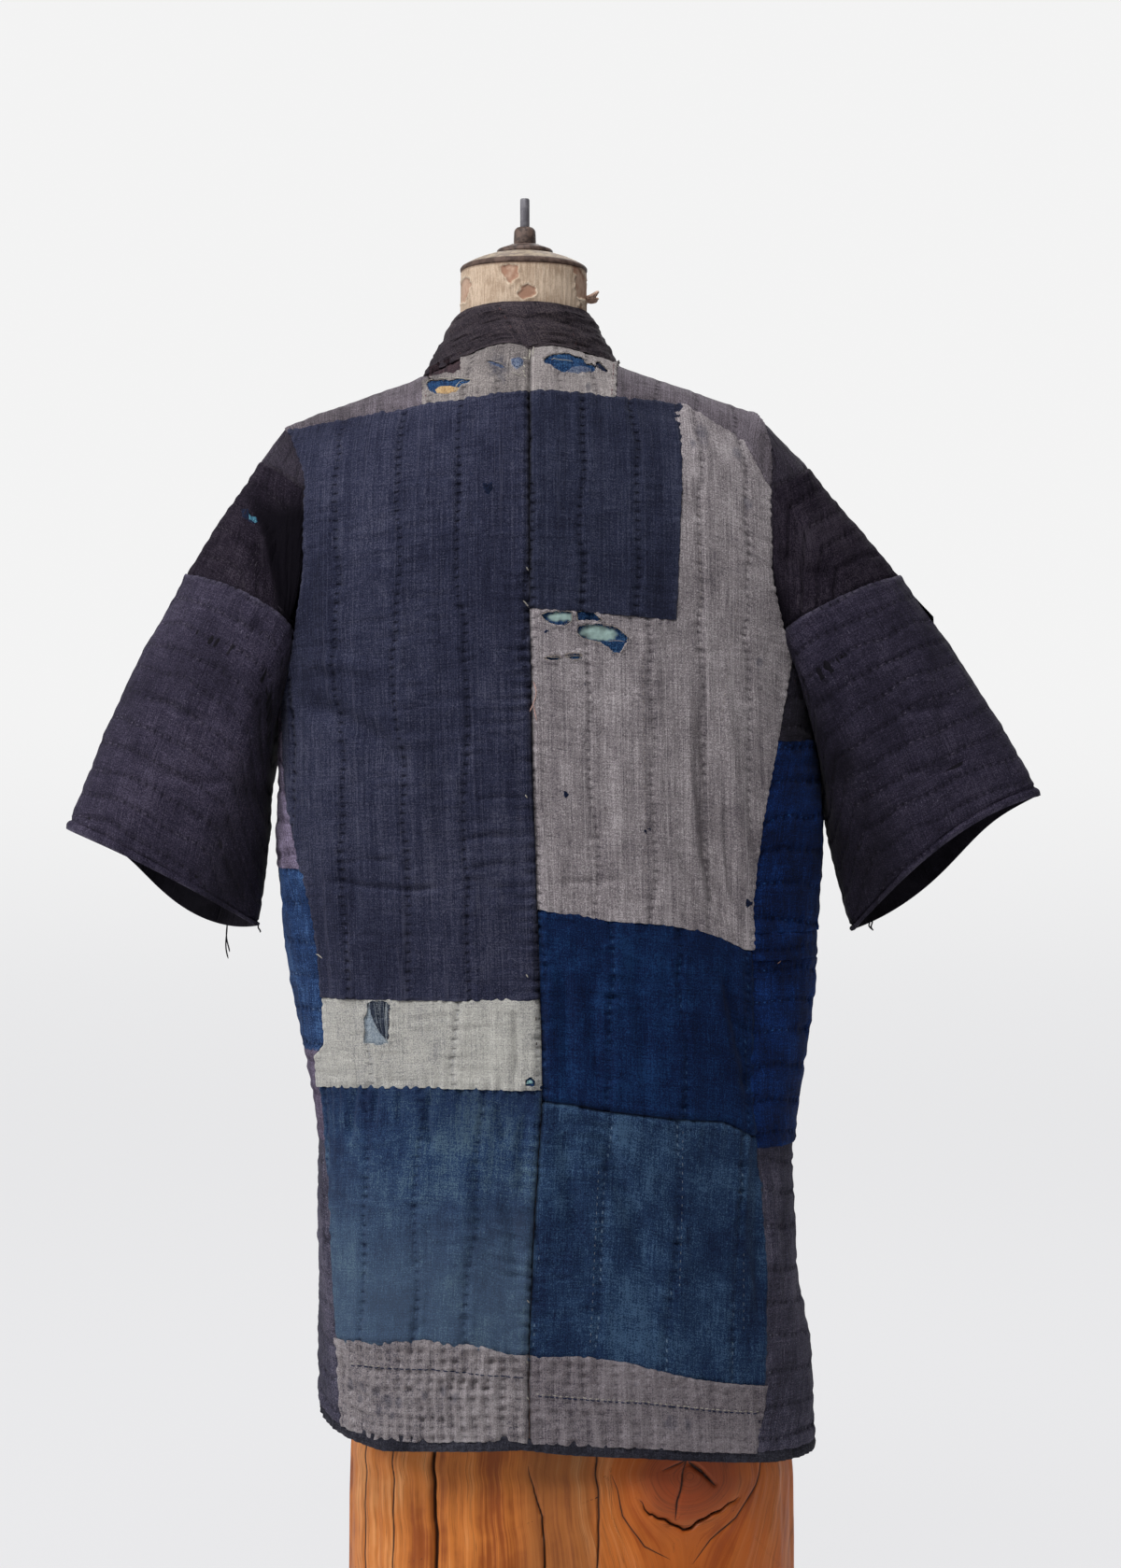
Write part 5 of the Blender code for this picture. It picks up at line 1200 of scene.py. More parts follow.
def stitches_on(parent, path, pitch=STITCH, length=.003, lift=.0004, seed=1):
    """Running stitches along a path: short arches that dip into the cloth at both ends."""
    line = even_path(path, .001)
    run = np.concatenate([[0], np.cumsum(np.linalg.norm(np.diff(line, axis=0), axis=1))])
    starts = np.arange(pitch / 2, run[-1] - pitch, pitch)
    starts = starts + pitch * .14 * ripple(starts / pitch * 1.7, 0 * starts, seed)
    long = length * (1 + .25 * ripple(starts / pitch * 2.3, 0 * starts, seed + 1))
    place = starts[:, None] + long[:, None] * np.array([0, .2, .5, .8, 1.0])
    x, z = (np.interp(place.ravel(), run, line[:, k]) for k in (0, 1))
    rise = np.tile(np.array([-.0006, lift * .7, lift, lift * .7, -.0006]), len(starts))
    points = on_cloth(parent, x, z, rise)[0].reshape(len(starts), 5, 3)
    return list(points)


def fray_on(parent, outline, count, length, seed=1):
    """Short loose fibres across the edge of a torn place, each a slightly bent line."""
    ring = closed_outline(list(outline), count, seed, .0006)
    middle = ring.mean(axis=0)
    place = np.arange(count) * 1.7
    inward = (middle - ring) / np.linalg.norm(middle - ring, axis=1, keepdims=True)
    skew = np.stack([ripple(place, 0 * place, seed), ripple(place, 0 * place, seed + 1)], -1)
    size = length * (.55 + .45 * ripple(place * 1.3, 0 * place, seed + 2))[:, None]
    step = np.array([-.35, 0.0, .35, .65])[None, :, None]
    across = np.stack([-inward[:, 1], inward[:, 0]], -1)[:, None]
    bend = across * (step ** 2) * size[:, None] * skew[:, None, :1]
    flat = ring[:, None] + (inward + .7 * skew)[:, None] * step * size[:, None] + bend
    rise = np.tile([-.0001, .0007, .0006, .0001], count)
    return list(on_cloth(parent, flat[..., 0].ravel(), flat[..., 1].ravel(), rise)[0].reshape(count, 4, 3))


def hanging(parent, x, length, seed):
    """A thread that hangs from the front edge of a cuff, swaying a little on its way down."""
    edge = GRIDS[parent][0][-1]
    edge = edge[edge[:, 1] < np.median(edge[:, 1])]
    start = edge[np.abs(edge[:, 0] - x).argmin()]
    down = np.linspace(-.15, 1, 14)
    sway = .0022 * np.sin(3.6 * down + seed) * np.maximum(down, 0)
    return start + np.stack([sway, .3 * sway + .0004, -length * down], -1)


def grown(outline, by):
    """An outline moved outward from its middle."""
    corners = np.array(outline)
    out = corners - corners.mean(axis=0)
    return [tuple(p) for p in corners + out * (by / np.linalg.norm(out, axis=1, keepdims=True))]


def sew(name, parent, lines, radius, kind, sides=5):
    """One piece of all the given threads, which goes with a piece of cloth."""
    EXTRAS.setdefault(parent, []).append((tubes(name, lines, radius, sides), kind))


def rows_on(parent, rows):
    """Threads and rows of stitches: each row says how it is laid, two measures, a seed and a path."""
    lines = []
    for lay, first, second, seed, *path in rows:
        lines += lay(parent, path, first, second, seed=seed)
    return lines


def sew_rows(name, parent, radius, kind, *rows, sides=5):
    sew(name, parent, rows_on(parent, rows), radius, kind, sides)


def make_back_scraps():
    """What shows through the torn places, and the small bits sewn on."""
    faded = dict(
        first=((.0228, .9424), (.0165, .9452), (.0069, .9452), (.0022, .944), (.003, .9397), (.0093, .9388),
               (.018, .9392)),
        third=((-.005, .9282), (-.008, .933), (-.0137, .9345), (-.024, .9338), (-.0318, .9312),
               (-.035, .9275), (-.034, .924), (-.028, .9222), (-.0209, .9228), (-.0121, .9242)))
    for key in ("first", "second", "third", "upper_slit", "lower_slit"):
        scrap(f"indigo_below_{key}", "grey_right", grown(TORN[key], .003), "indigo", lift=-.0011, seed=3,
              rings=16, faded=faded.get(key))
    for k, (x, z, size) in enumerate(((.0095, .7902, .004), (-.0621, .7605, .0028), (-.1502, .6972, .0034),
                                      (.024, .93, .0016), (-.009, .885, .001))):
        ring = [(x + size * (1 + .5 * (j % 2)) * math.cos(j), z + size * (1 + .5 * (j % 2)) * math.sin(j))
                for j in range(6)]
        scrap(f"worn_dot_{k + 1}", "grey_right", ring, "indigo_dark", lift=.0002, ragged=.0009, rings=4,
              count=36, seed=k)
    scrap("worn_dot_navy", "navy_left", ((.0778, 1.0572), (.0735, 1.056), (.07, 1.058), (.0684, 1.0515),
                                         (.0729, 1.0455), (.0785, 1.05)), "indigo_dark", lift=.0002, rings=5,
          count=48)
    scrap("worn_dot_navy_small", "navy_left", ((.0885, 1.0655), (.086, 1.066), (.0862, 1.0625),
                                               (.088, 1.0622)), "indigo_dark", lift=.0002, rings=4, count=30)
    scrap("below_pale_light", "cream_left", grown(TORN["pale"], .0025), "pale_blue", lift=-.0011)
    scrap("below_pale_dark", "cream_left", ((.1775, .6125), (.173, .6145), (.1617, .6145), (.157, .61),
                                            (.1572, .6023), (.158, .5903), (.159, .5764), (.1638, .5822),
                                            (.1692, .5886), (.173, .5968), (.1763, .6055)), "striped_dark",
          lift=-.0002, ragged=.0004, rings=14)
    scrap("below_pale_corner", "cream_left", grown(TORN["corner"], .0025), "indigo", lift=-.001)
    scrap("in_pale_corner", "cream_left", ((.0415, .544), (.04, .5475), (.0372, .5485), (.035, .545)), "teal",
          lift=-.0004, rings=5, count=40)
    scrap("indigo_below_left_neck", "neck_patch_left", grown(TORN["left_neck"], .003), "indigo", lift=-.0011)
    scrap("orange_in_left_neck", "neck_patch_left", ((.1215, 1.1436), (.1172, 1.1464), (.1072, 1.1458),
                                                     (.0997, 1.1434), (.1028, 1.1388), (.1118, 1.1382),
                                                     (.1195, 1.14)), "ochre", lift=-.0005, ragged=.0003)
    scrap("dark_below_left_corner", "neck_patch_left", ((.1292, 1.17), (.118, 1.174), (.106, 1.1765),
                                                        (.0965, 1.176), (.0955, 1.16), (.104, 1.1535),
                                                        (.12, 1.153), (.1292, 1.1535)), "brown_red",
          lift=-.001, rings=14)
    scrap("blue_in_worn_sleeve", "sleeve_upper_left", ((.2932, 1.0424), (.2862, 1.0426), (.2846, 1.0355),
                                                       (.2782, 1.034), (.2752, 1.0285), (.2785, 1.0266),
                                                       (.2848, 1.0304), (.2908, 1.0346)), "indigo_dark",
          lift=.0003, rings=12)
    scrap("pale_in_worn_sleeve", "sleeve_upper_left", ((.2858, 1.0384), (.2824, 1.0345), (.278, 1.033),
                                                       (.2757, 1.0286), (.278, 1.0274), (.2826, 1.0312)),
          "sea_blue", lift=.0006, rings=8, count=60, ragged=.0008)
    scrap("blue_below_left_slit", "neck_patch_left", grown(TORN["left_slit"], .0022), "grey_blue",
          lift=-.0009)
    scrap("round_bit", "neck_patch_left", ((.0545, 1.1677), (.048, 1.1694), (.0432, 1.1658), (.0439, 1.1605),
                                           (.0495, 1.1569), (.0544, 1.1614)), "grey_blue",
          lift=.0006, rings=6, count=60, ragged=.0003)
    scrap("indigo_below_right_neck", "neck_patch_right", grown(TORN["right_neck"], .003), "indigo",
          lift=-.0011)
    scrap("flap_in_right_neck", "neck_patch_right", ((.0077, 1.156), (.002, 1.1613), (-.0062, 1.164),
                                                     (-.0143, 1.1621), (-.0159, 1.158), (-.0045, 1.1552),
                                                     (.0052, 1.1545)), "grey_blue", lift=-.0004)
    scrap("indigo_below_right_corner", "neck_patch_right", grown(TORN["right_slit"], .0022), "indigo_dark",
          lift=-.0009)
    scrap("worn_bit_of_yoke", "yoke_right", ((-.0989, 1.1065), (-.1065, 1.1096), (-.1112, 1.1045),
                                             (-.115, 1.095), (-.1108, 1.093), (-.106, 1.099)), "indigo_dark",
          lift=.0002)


def make_frayed_edges():
    """Threads and short fibres round the torn places."""
    frayed, fibres = [], []
    for k, key in enumerate(("first", "second", "third", "upper_slit", "lower_slit")):
        ring = grown(TORN[key], .0005)
        ring += ring[:1]
        share = len(ring) * 2 // 3
        frayed += thread_on("grey_right", ring[:share + 1], lift=.0008, wander=.0009, seed=60 + k)
        frayed += thread_on("grey_right", ring[share:], lift=.0005, wander=.0007, seed=80 + k)
        fibres += fray_on("grey_right", TORN[key], 46 if k < 3 else 30, .0024, seed=90 + k)
    sew("fibres_of_grey", "grey_right", fibres, .00016, "thread_frayed", sides=4)
    for side in ("left", "right"):
        fibres = []
        for key, count in (("neck", 60), ("slit", 26)):
            fibres += fray_on(f"neck_patch_{side}", TORN[f"{side}_{key}"], count, .0026, seed=96)
        sew(f"fibres_of_neck_{side}", f"neck_patch_{side}", fibres, .00016, "thread_frayed", sides=4)
    frayed += rows_on("grey_right", (
        (thread_on, .0009, .0006, 61, (-.0008, .9476), (-.0022, .944), (-.002, .9385), (-.0045, .9345)),
        (thread_on, .001, .0006, 62, (-.03, .9215), (-.037, .9222), (-.043, .9214)),
        (thread_on, .001, .0003, 63, (.0235, .908), (.018, .9072), (.0115, .9078)),
        (thread_on, .001, .0003, 64, (.008, .9078), (.001, .909), (-.006, .9086)),
        (thread_on, .0006, .0005, 65, (.033, .95), (.01, .9508), (-.018, .9492), (-.05, .947))))
    sew("frayed_threads", "grey_right", frayed, .00026, "thread_frayed")


def make_back_threads():
    """The threads and stitches that stand out on the back."""
    sew_rows("knotted_thread", "navy_left", .0007, "thread_pale",
             (thread_on, .0016, .0004, 1, (.0438, .956), (.0405, .953), (.0385, .9505)))
    sew_rows("pale_stitches", "grey_right", .00024, "thread_frayed",
             (stitches_on, .0072, .0022, 5, (-.1407, .96), (-.1333, .9118), (-.1252, .8476)),
             (stitches_on, .0072, .0022, 5, (-.1067, 1.0396), (-.1078, .98), (-.1089, .93)),
             (stitches_on, .0072, .0022, 5, (-.0583, .9109), (-.06, .8076), (-.0618, .7038)))
    sew_rows("pale_stitches_low", "blue_low_right", .00022, "thread_dull",
             (stitches_on, .0068, .0026, 6, (-.093, .506), (-.0921, .4324), (-.0895, .3614)),
             (stitches_on, .0068, .0026, 6, (-.146, .3989), (-.1456, .3238)),
             (stitches_on, .0068, .0026, 6, (-.0209, .4736), (-.0177, .4104), (-.0153, .3555),
              (-.0129, .3162)))
    sew_rows("white_hem_row", "hem_patch_right", .00036, "thread_pale",
             (stitches_on, .005, .0032, 7, (.035, .2822), (-.0597, .2749), (-.1621, .259)))
    sew_rows("dark_hem_row", "hem_patch_right", .00048, "thread_indigo",
             (stitches_on, .005, .0036, 8, (.033, .2806), (-.0597, .2733), (-.1621, .2574)))
    sew_rows("indigo_hem_row", "hem_patch_left", .00045, "thread_indigo",
             (stitches_on, .0054, .0042, 9, (.1955, .2981), (.1205, .3015), (.041, .2964)))
    sew_rows("pale_hem_row", "hem_patch_left", .00036, "thread_pale",
             (stitches_on, .006, .002, 10, (.1955, .3), (.165, .3012), (.15, .3014)))
    sew_rows("stripes_of_dark_flap", "cream_left", .00028, "thread_dull",
             (thread_on, .0003, .0005, 30, (.1722, .6128), (.1712, .604), (.17, .5965), (.169, .592)),
             (thread_on, .0003, .0005, 31, (.168, .6128), (.1667, .604), (.1664, .596), (.1655, .5882)),
             (thread_on, .0003, .0005, 32, (.164, .6128), (.163, .605), (.1629, .596), (.1618, .5842)),
             (thread_on, .0003, .0005, 33, (.1612, .6112), (.1605, .604), (.1606, .595), (.16, .583)))
    sew_rows("brown_stitches", "cream_left", .00042, "thread_brown",
             (stitches_on, .0034, .0016, 11, (.159, .609), (.1588, .5911), (.16, .577)),
             (stitches_on, .019, .003, 12, (.033, .61), (.0322, .587), (.0318, .55)))
    red = rows_on("neck_patch_right", (
        (stitches_on, .004, .0026, 13, (-.0352, 1.172), (-.0342, 1.1587), (-.0322, 1.1338)),))
    red += rows_on("yoke_right", (
        (stitches_on, .004, .0026, 13, (-.0366, 1.17), (-.0356, 1.156), (-.0345, 1.135)),))
    sew("red_stitches", "neck_patch_right", red, .00034, "thread_red")
    sew_rows("red_edge_stitches", "neck_patch_left", .00034, "thread_red",
             (stitches_on, .004, .0026, 14, (.1295, 1.148), (.129, 1.14), (.128, 1.133)))
    sew_rows("white_threads_right", "neck_patch_right", .0004, "thread_pale",
             (thread_on, .0012, .0003, 15, (.02, 1.1672), (.012, 1.1668), (.001, 1.1672)),
             (thread_on, .0012, .0004, 16, (.035, 1.18), (.036, 1.174), (.0362, 1.169)))
    sew_rows("white_threads_left", "neck_patch_left", .0003, "thread_pale",
             (thread_on, .0014, .0008, 17, (.101, 1.143), (.0985, 1.147), (.0945, 1.1486)),
             (thread_on, .0014, .0008, 18, (.1035, 1.14), (.1005, 1.144), (.0975, 1.1466)),
             (thread_on, .0008, .0004, 19, (.0545, 1.1555), (.05, 1.152), (.045, 1.1505)),
             (thread_on, .0007, .0009, 20, *grown(TORN["left_neck"], .0004)[:9]))
    round_bit = ((.0528, 1.1664), (.048, 1.168), (.0446, 1.1652), (.045, 1.1612), (.0494, 1.1585),
                 (.053, 1.1618), (.0528, 1.1664))
    sew("round_bit_stitches", "neck_patch_left",
        stitches_on("neck_patch_left", round_bit, .003, .0016, lift=.0012), .00034, "thread_indigo")
    sew_rows("loop_at_neck", "neck_patch_right", .00075, "thread_pale",
             (thread_on, .0016, .0003, 1, (.0385, 1.179), (.038, 1.174), (.039, 1.169), (.0392, 1.1668)),
             sides=7)
    sew_rows("loop_end_at_neck", "neck_patch_left", .00075, "thread_pale",
             (thread_on, .0016, .0002, 1, (.0392, 1.1672), (.0418, 1.166), (.0436, 1.1672), (.044, 1.169)),
             sides=7)
    knots = []
    for parent, x, z in (("neck_patch_left", .0436, 1.1552), ("neck_patch_left", .043, 1.16),
                         ("neck_patch_left", .0424, 1.151), ("navy_left", .0404, .636),
                         ("navy_left", .041, .7893), ("navy_left", .04, .9829),
                         ("blue_low_left", .0392, .36), ("hem_patch_left", .0396, .2782),
                         ("hem_patch_left", .0402, .309)):
        knots += thread_on(parent, ((x - .0012, z - .0016), (x, z), (x + .0008, z + .0018)), .0013, .0002)
    knots += thread_on("navy_left", ((.2243, .6519), (.2213, .653), (.2183, .6489)), .001, .0003)
    sew("knots_of_seam", "navy_left", knots, .00055, "thread_pale")
    for side, spots in (("left", ((.3132, .03), (.312, .024), (.279, .006))),
                        ("right", ((-.269, .008), (-.267, .006)))):
        sleeve = f"sleeve_lower_{side}"
        lines = [hanging(sleeve, x, length, k) for k, (x, length) in enumerate(spots)]
        sew(f"hanging_threads_{side}", sleeve, lines, .0007, "thread_dark", sides=6)
    sew_rows("pink_threads", "grey_right", .00042, "thread_pink",
             (thread_on, .0024, .0003, 1, (.0354, .8875), (.033, .8832), (.0317, .8786), (.0333, .8725),
              (.0351, .8673), (.0383, .8611)),
             (thread_on, .0022, .0003, 1, (.0349, .8673), (.0338, .862), (.0326, .8575), (.032, .8538)))
    sew_rows("small_thread_right", "side_right_navy", .0004, "thread_pink",
             (thread_on, .0014, .0006, 1, (-.1765, .6435), (-.1802, .6475)))


# ------------------------------------------------------------------ form and stump
FORM = dict(
    height=(.5003, .56, .64, .72, .8, .88, .96, 1.03, 1.08),
    half=(.15, .155, .14, .135, .15, .165, .172, .17, .168),
    centre=(.03, .03, .032, .034, .036, .038, .04, .042, .0445),
    back=(.098, .1, .09, .086, .092, .098, .102, .098, .088),
    front=(.095, .098, .092, .092, .1, .104, .102, .092, .08),
)
FORM_NECK = dict(
    height=(1.108, 1.126, 1.141, 1.153, 1.164, 1.179, 1.198, 1.228, NECK_TOP),
    half=(.165, .146, .118, .09, .069, .06, .057, .0562, NECK_RADIUS),
    back=(.078, .072, .066, .062, .059, .0575, .0565, .0562, NECK_RADIUS),
    front=(.062, .054, .051, .05, .051, .0535, .0555, .0562, NECK_RADIUS),
)
SECTION_ROUND = .92
STUMP_TOP = .5
STUMP = dict(
    height=(0.0, .012, .06, .12, .18, .26, .38, .488, STUMP_TOP),
    half=(.196, .2, .1985, .1975, .197, .19, .178, .17, .164),
    depth=(.15, .155, .14, .122, .108, .1, .098, .096, .09),
    centre=(.0005, .0005, .001, .0015, .0015, .006, .012, .015, .015),
)
PEELED = (                  # where the neck's covering has come away: outlines of across and height
    ((.0639, 1.2525), (.0561, 1.2534), (.0483, 1.2515), (.0502, 1.2466), (.0473, 1.2446), (.0502, 1.2417),
     (.0561, 1.2358), (.0581, 1.2378), (.06, 1.2427), (.0639, 1.2466)),
    ((.0463, 1.2339), (.0405, 1.2358), (.0346, 1.2339), (.0326, 1.229), (.0365, 1.2251), (.0444, 1.2231),
     (.0483, 1.2251), (.0493, 1.229), (.0453, 1.2309)),
    ((.0962, 1.2483), (.0913, 1.2444), (.0903, 1.2384), (.0942, 1.2325), (.0962, 1.2265), (.101, 1.2285),
     (.102, 1.2364), (.101, 1.2444)),
    ((.001, 1.2556), (-.006, 1.2556), (-.012, 1.2451), (-.012, 1.2302), (-.004, 1.2277), (-.001, 1.2368),
     (-.0022, 1.2467)),
    ((-.0075, 1.2235), (-.0045, 1.2215), (-.005, 1.2175), (-.0082, 1.2185)),
)


def form_point(turn, z):
    """Dress form: an oval section at each height, which narrows over the shoulders to the neck."""
    torso = {key: smooth(FORM, "height", key, z) for key in ("half", "centre", "back", "front")}
    neck = {key: smooth(FORM_NECK, "height", key, z) for key in ("half", "back", "front")}
    share = np.clip((z - FORM["height"][-1]) / .03, 0, 1)
    half, back, front = (torso[key] * (1 - share) + neck[key] * share for key in ("half", "back", "front"))
    cosine = np.sign(np.cos(turn)) * np.abs(np.cos(turn)) ** SECTION_ROUND
    sine = np.sign(np.sin(turn)) * np.abs(np.sin(turn)) ** SECTION_ROUND
    mid = np.where(share > 0, NECK_X, torso["centre"])
    return np.stack([mid + half * cosine, np.where(np.sin(turn) >= 0, back, front) * sine, z], -1)


def closed_rings(name, points, values=None):
    """Closed solid through rings: quads between the rings and a fan to a middle point at each end."""
    rows, columns = points.shape[:2]
    r, c = (g.ravel() for g in np.meshgrid(np.arange(rows - 1), np.arange(columns), indexing="ij"))
    corner = lambda rr, cc: rr * columns + cc % columns
    quads = np.stack([corner(r, c), corner(r, c + 1), corner(r + 1, c + 1), corner(r + 1, c)], 1)
    ring, count = np.arange(columns), rows * columns
    low = np.stack([0 * ring + count, (ring + 1) % columns, ring], 1)
    high = np.stack([0 * ring + count + 1, corner(rows - 1, ring), corner(rows - 1, ring + 1)], 1)
    ends = points[[0, -1]].mean(axis=1)
    verts = np.concatenate([points.reshape(-1, 3), ends])
    values = {key: np.concatenate([value.ravel(), [0, 0]]) for key, value in (values or {}).items()}
    return make_mesh(f"{name}_finished", verts, quads.tolist() + low.tolist() + high.tolist(), None,
                     values, sharp=40)


def make_form():
    heights = np.concatenate([np.linspace(.5003, 1.13, 54), np.linspace(1.135, NECK_TOP, 112)])
    turn, z = np.meshgrid(np.linspace(0, 2 * math.pi, 232, endpoint=False), heights)
    points = form_point(turn, z)
    outward = np.stack([np.cos(turn), np.sin(turn), 0 * turn], -1)
    x, zz = points[..., 0], points[..., 2]
    ribs = .0002 * np.cos(turn * 174 + 1.2 * ripple(zz / .02, turn * 8,
                                                    60)) + .0004 * ripple(turn * 3, zz / .04, 61)
    away = np.min([outline_distance(x, zz, outline) for outline in PEELED], axis=0)
    away += .0012 * ripple(x / .003, zz / .003, 62) + .0006 * ripple(x / .0013, zz / .0013, 63)
    away = np.where(points[..., 1] > 0, away, .02)
    peeled, lifted = ease(.5 - away / .0012), np.exp(-((away - .0012) / .001) ** 2)
    shift = ribs * (1 - peeled) - .0009 * peeled + .0006 * lifted
    rim = ease(1 - (NECK_TOP - zz) / .0022)
    piece = closed_rings("dress_form", points + outward * shift[..., None], {"peeled": -away, "rim": rim})
    side = points[(np.abs(zz - 1.233) < .0022) & (points[..., 0] < -.008)].mean(axis=0)
    tuft = [even_path([side + (.002, 0, 0), side + (-.004, .002 * k, .001 * k - .001),
                       side + (-.0095 - .0012 * (k % 3), .0035 * k, .0015 * k + .002)], .0015)
            for k in (-2, -1, 0, 1, 2)]
    EXTRAS.setdefault("dress_form", []).append((tubes("neck_tuft", tuft, .0016, 7), "thread_tuft"))
    return piece


def turned_piece(name, profile, sides=96, x=NECK_X - .001, rim=None):
    """A turned solid from its radius at each height; below the height rim it is marked as the rim."""
    turn = np.linspace(0, 2 * math.pi, sides, endpoint=False)
    radius, z = (np.array(column)[:, None] for column in zip(*profile))
    points = np.stack([x + radius * np.cos(turn), radius * np.sin(turn), z + 0 * turn], -1)
    return closed_rings(name, points, None if rim is None else {"rim": rim - points[..., 2]})


def make_finial():
    base = NECK_TOP
    turned_piece("neck_cap", ((.0552, base + .0003), (.0562, base + .0008), (.0567, base + .002),
                              (.0566, base + .0034), (.0556, base + .0048), (.0538, base + .0058),
                              (.05, base + .008), (.045, base + .0104), (.04, base + .0125),
                              (.033, base + .0148), (.0255, base + .0165)), x=NECK_X, rim=base + .006)
    plate = base + .0168
    turned_piece("finial_flange", ((.024, plate), (.0249, plate + .0005), (.0251, plate + .0018),
                                   (.0248, plate + .0032), (.0238, plate + .0041), (.02, plate + .0056),
                                   (.016, plate + .0071), (.013, plate + .0084)))
    hub = plate + .0088
    turned_piece("finial_hub", ((.0088, hub), (.0096, hub + .0006), (.0099, hub + .0022), (.0098, hub + .006),
                                (.0096, hub + .0112), (.0091, hub + .0128), (.0082, hub + .014),
                                (.0072, hub + .0149)))
    rod = hub + .0153
    turned_piece("finial_rod", ((.004, rod), (.0042, rod + .0004), (.0042, rod + .024),
                                (.004, rod + .025), (.0036, rod + .0256)), sides=64)


KNOT = (-.0985, .206, .048)  # the bulge's middle, across and height, and its radius
CRACKS = (                  # in the wood, seen from behind: across, height, half width, depth
    dict(across=(.1818, .1822, .1815), height=(.34, .18, .02), width=.0005, depth=.001),
    dict(across=(.1563, .1567, .1555, .156), height=(.34, .21, .15, .01), width=.0005, depth=.001),
    dict(across=(.121, .1224, .1222, .1195, .119, .1216, .1225), height=(.34, .225, .19, .155, .11, .07, .01),
         width=.0014, depth=.006),
    dict(across=(.0388, .0347, .0268, .0245, .0225), height=(.2168, .1937, .1738, .135, .05), width=.0008,
         depth=.003),
    dict(across=(-.0178, -.0194, -.0218, -.0202, -.021), height=(.3, .205, .1738, .1325, .03), width=.0007,
         depth=.002),
    dict(across=(-.0548, -.058, -.0605, -.0648, -.066, -.072, -.0783, -.083, -.0905, -.0942, -.101, -.106,
                 -.1134, -.119, -.1265, -.1333, -.138, -.1428),
         height=(.1885, .1862, .18, .1752, .1765, .1722, .1712, .1672, .164, .1612, .1622, .1668,
                 .169, .1722, .1735, .179, .18, .1838), width=.0008, depth=.005),
    dict(across=(-.0958, -.0919, -.0871, -.0863), height=(.2224, .2048, .1857, .1698), width=.0007,
         depth=.002),
    dict(across=(-.0966, -.1094, -.1198), height=(.2184, .2088, .1953), width=.0011, depth=.004),
    dict(across=(-.075, -.0958, -.107), height=(.212, .22, .2235), width=.0005, depth=.001),
    dict(across=(-.1683, -.158, -.1405, -.1174, -.1015), height=(.2208, .1898, .1659, .1507, .132),
         width=.0006, depth=.0012),
    dict(across=(-.033, -.042, -.06, -.083), height=(.21, .175, .15, .138), width=.0005, depth=.0008),
)


def make_stump():
    """A trunk of soft oval section with shallow lobes.  Its grain is the stream function of a flow
    past a round knot; each crack is the signed distance from a broken line over a half width that
    tapers to its ends.  There are similar cracks in front."""
    low, high = 0.0, STUMP_TOP
    heights = np.concatenate([[low, .002, .006, .012], np.linspace(.02, .118, 24), np.linspace(.12, .236, 92),
                              np.linspace(.24, high - .006, 38), [high - .002, high]])
    back = np.linspace(0, math.pi, 340, endpoint=False)
    turn, z = np.meshgrid(np.concatenate([back, np.linspace(math.pi, 2 * math.pi, 170, endpoint=False)]),
                          heights)
    half, deep, mid = (smooth(STUMP, "height", key, z) for key in ("half", "depth", "centre"))
    lobes = (.02 * np.cos(3 * turn + .6) + .012 * np.cos(5 * turn + 2.0 + 2 * z)) * np.abs(np.sin(turn))
    points = np.stack([mid + half * np.cos(turn), deep * (1 + lobes) * np.sin(turn), z], -1)
    outward = np.stack([np.cos(turn) / half, np.sin(turn) / deep, 0 * turn], -1)
    outward /= np.linalg.norm(outward, axis=-1, keepdims=True)
    x, behind = points[..., 0], points[..., 1] > 0
    xx = np.where(behind, x, -x + .03) + .0012 * ripple(z / .014, 0 * z, 70)
    crack, groove = np.full(x.shape, 40.0), np.zeros(x.shape)
    for row in CRACKS:
        away, share = polyline(xx, z, row["across"], row["height"])
        taper = row["width"] * np.sqrt(np.clip(np.minimum(share, 1 - share) / .3, .0004, 1))
        long_way, short_way, along, beside = row["height"], row["across"], z, xx
        if np.ptp(long_way) <= np.ptp(short_way):
            long_way, short_way, along, beside = short_way, long_way, beside, along
        side = np.sign(beside - np.interp(along, *zip(*sorted(zip(long_way, short_way)))))
        value = away * side / taper
        crack = np.where(np.abs(value) < np.abs(crack), value, crack)
        groove = np.maximum(groove, row["depth"] * np.exp(-(away / (1.6 * row["width"])) ** 2)
                            * (taper / row["width"]))
    kx, kz, size = KNOT
    reach = np.hypot(xx - kx, (z - kz) / .92)
    stream = (xx - kx) * (1 - np.minimum((size / np.maximum(reach, 1e-6)) ** 2, 1))
    grain = np.where(reach > size, stream, (size - reach) * .55)
    grain += .004 * ripple(z / .07, xx / .05, 74)
    bulge = np.exp(-(reach / (1.05 * size)) ** 4)
    fine = .0004 * ripple(grain / .0045, z / .09, 71) + .0012 * ripple(turn * 15, z / .16, 72)
    shift = (fine + .005 * bulge - groove) * ease(z / .01) * ease((high - z) / .01)
    values = {"crack": np.clip(crack, -40, 40), "bulge": bulge, "grain": grain, "across": xx}
    return closed_rings("stump", points + outward * shift[..., None], values)


# ------------------------------------------------------------------ finishes
def linear(hex_colour):
    """Scene colour of an ordinary six-digit colour."""
    parts = [int(hex_colour[k:k + 2], 16) / 255 for k in (0, 2, 4)]
    return tuple(c / 12.92 if c <= .04045 else ((c + .055) / 1.055) ** 2.4 for c in parts) + (1.0,)


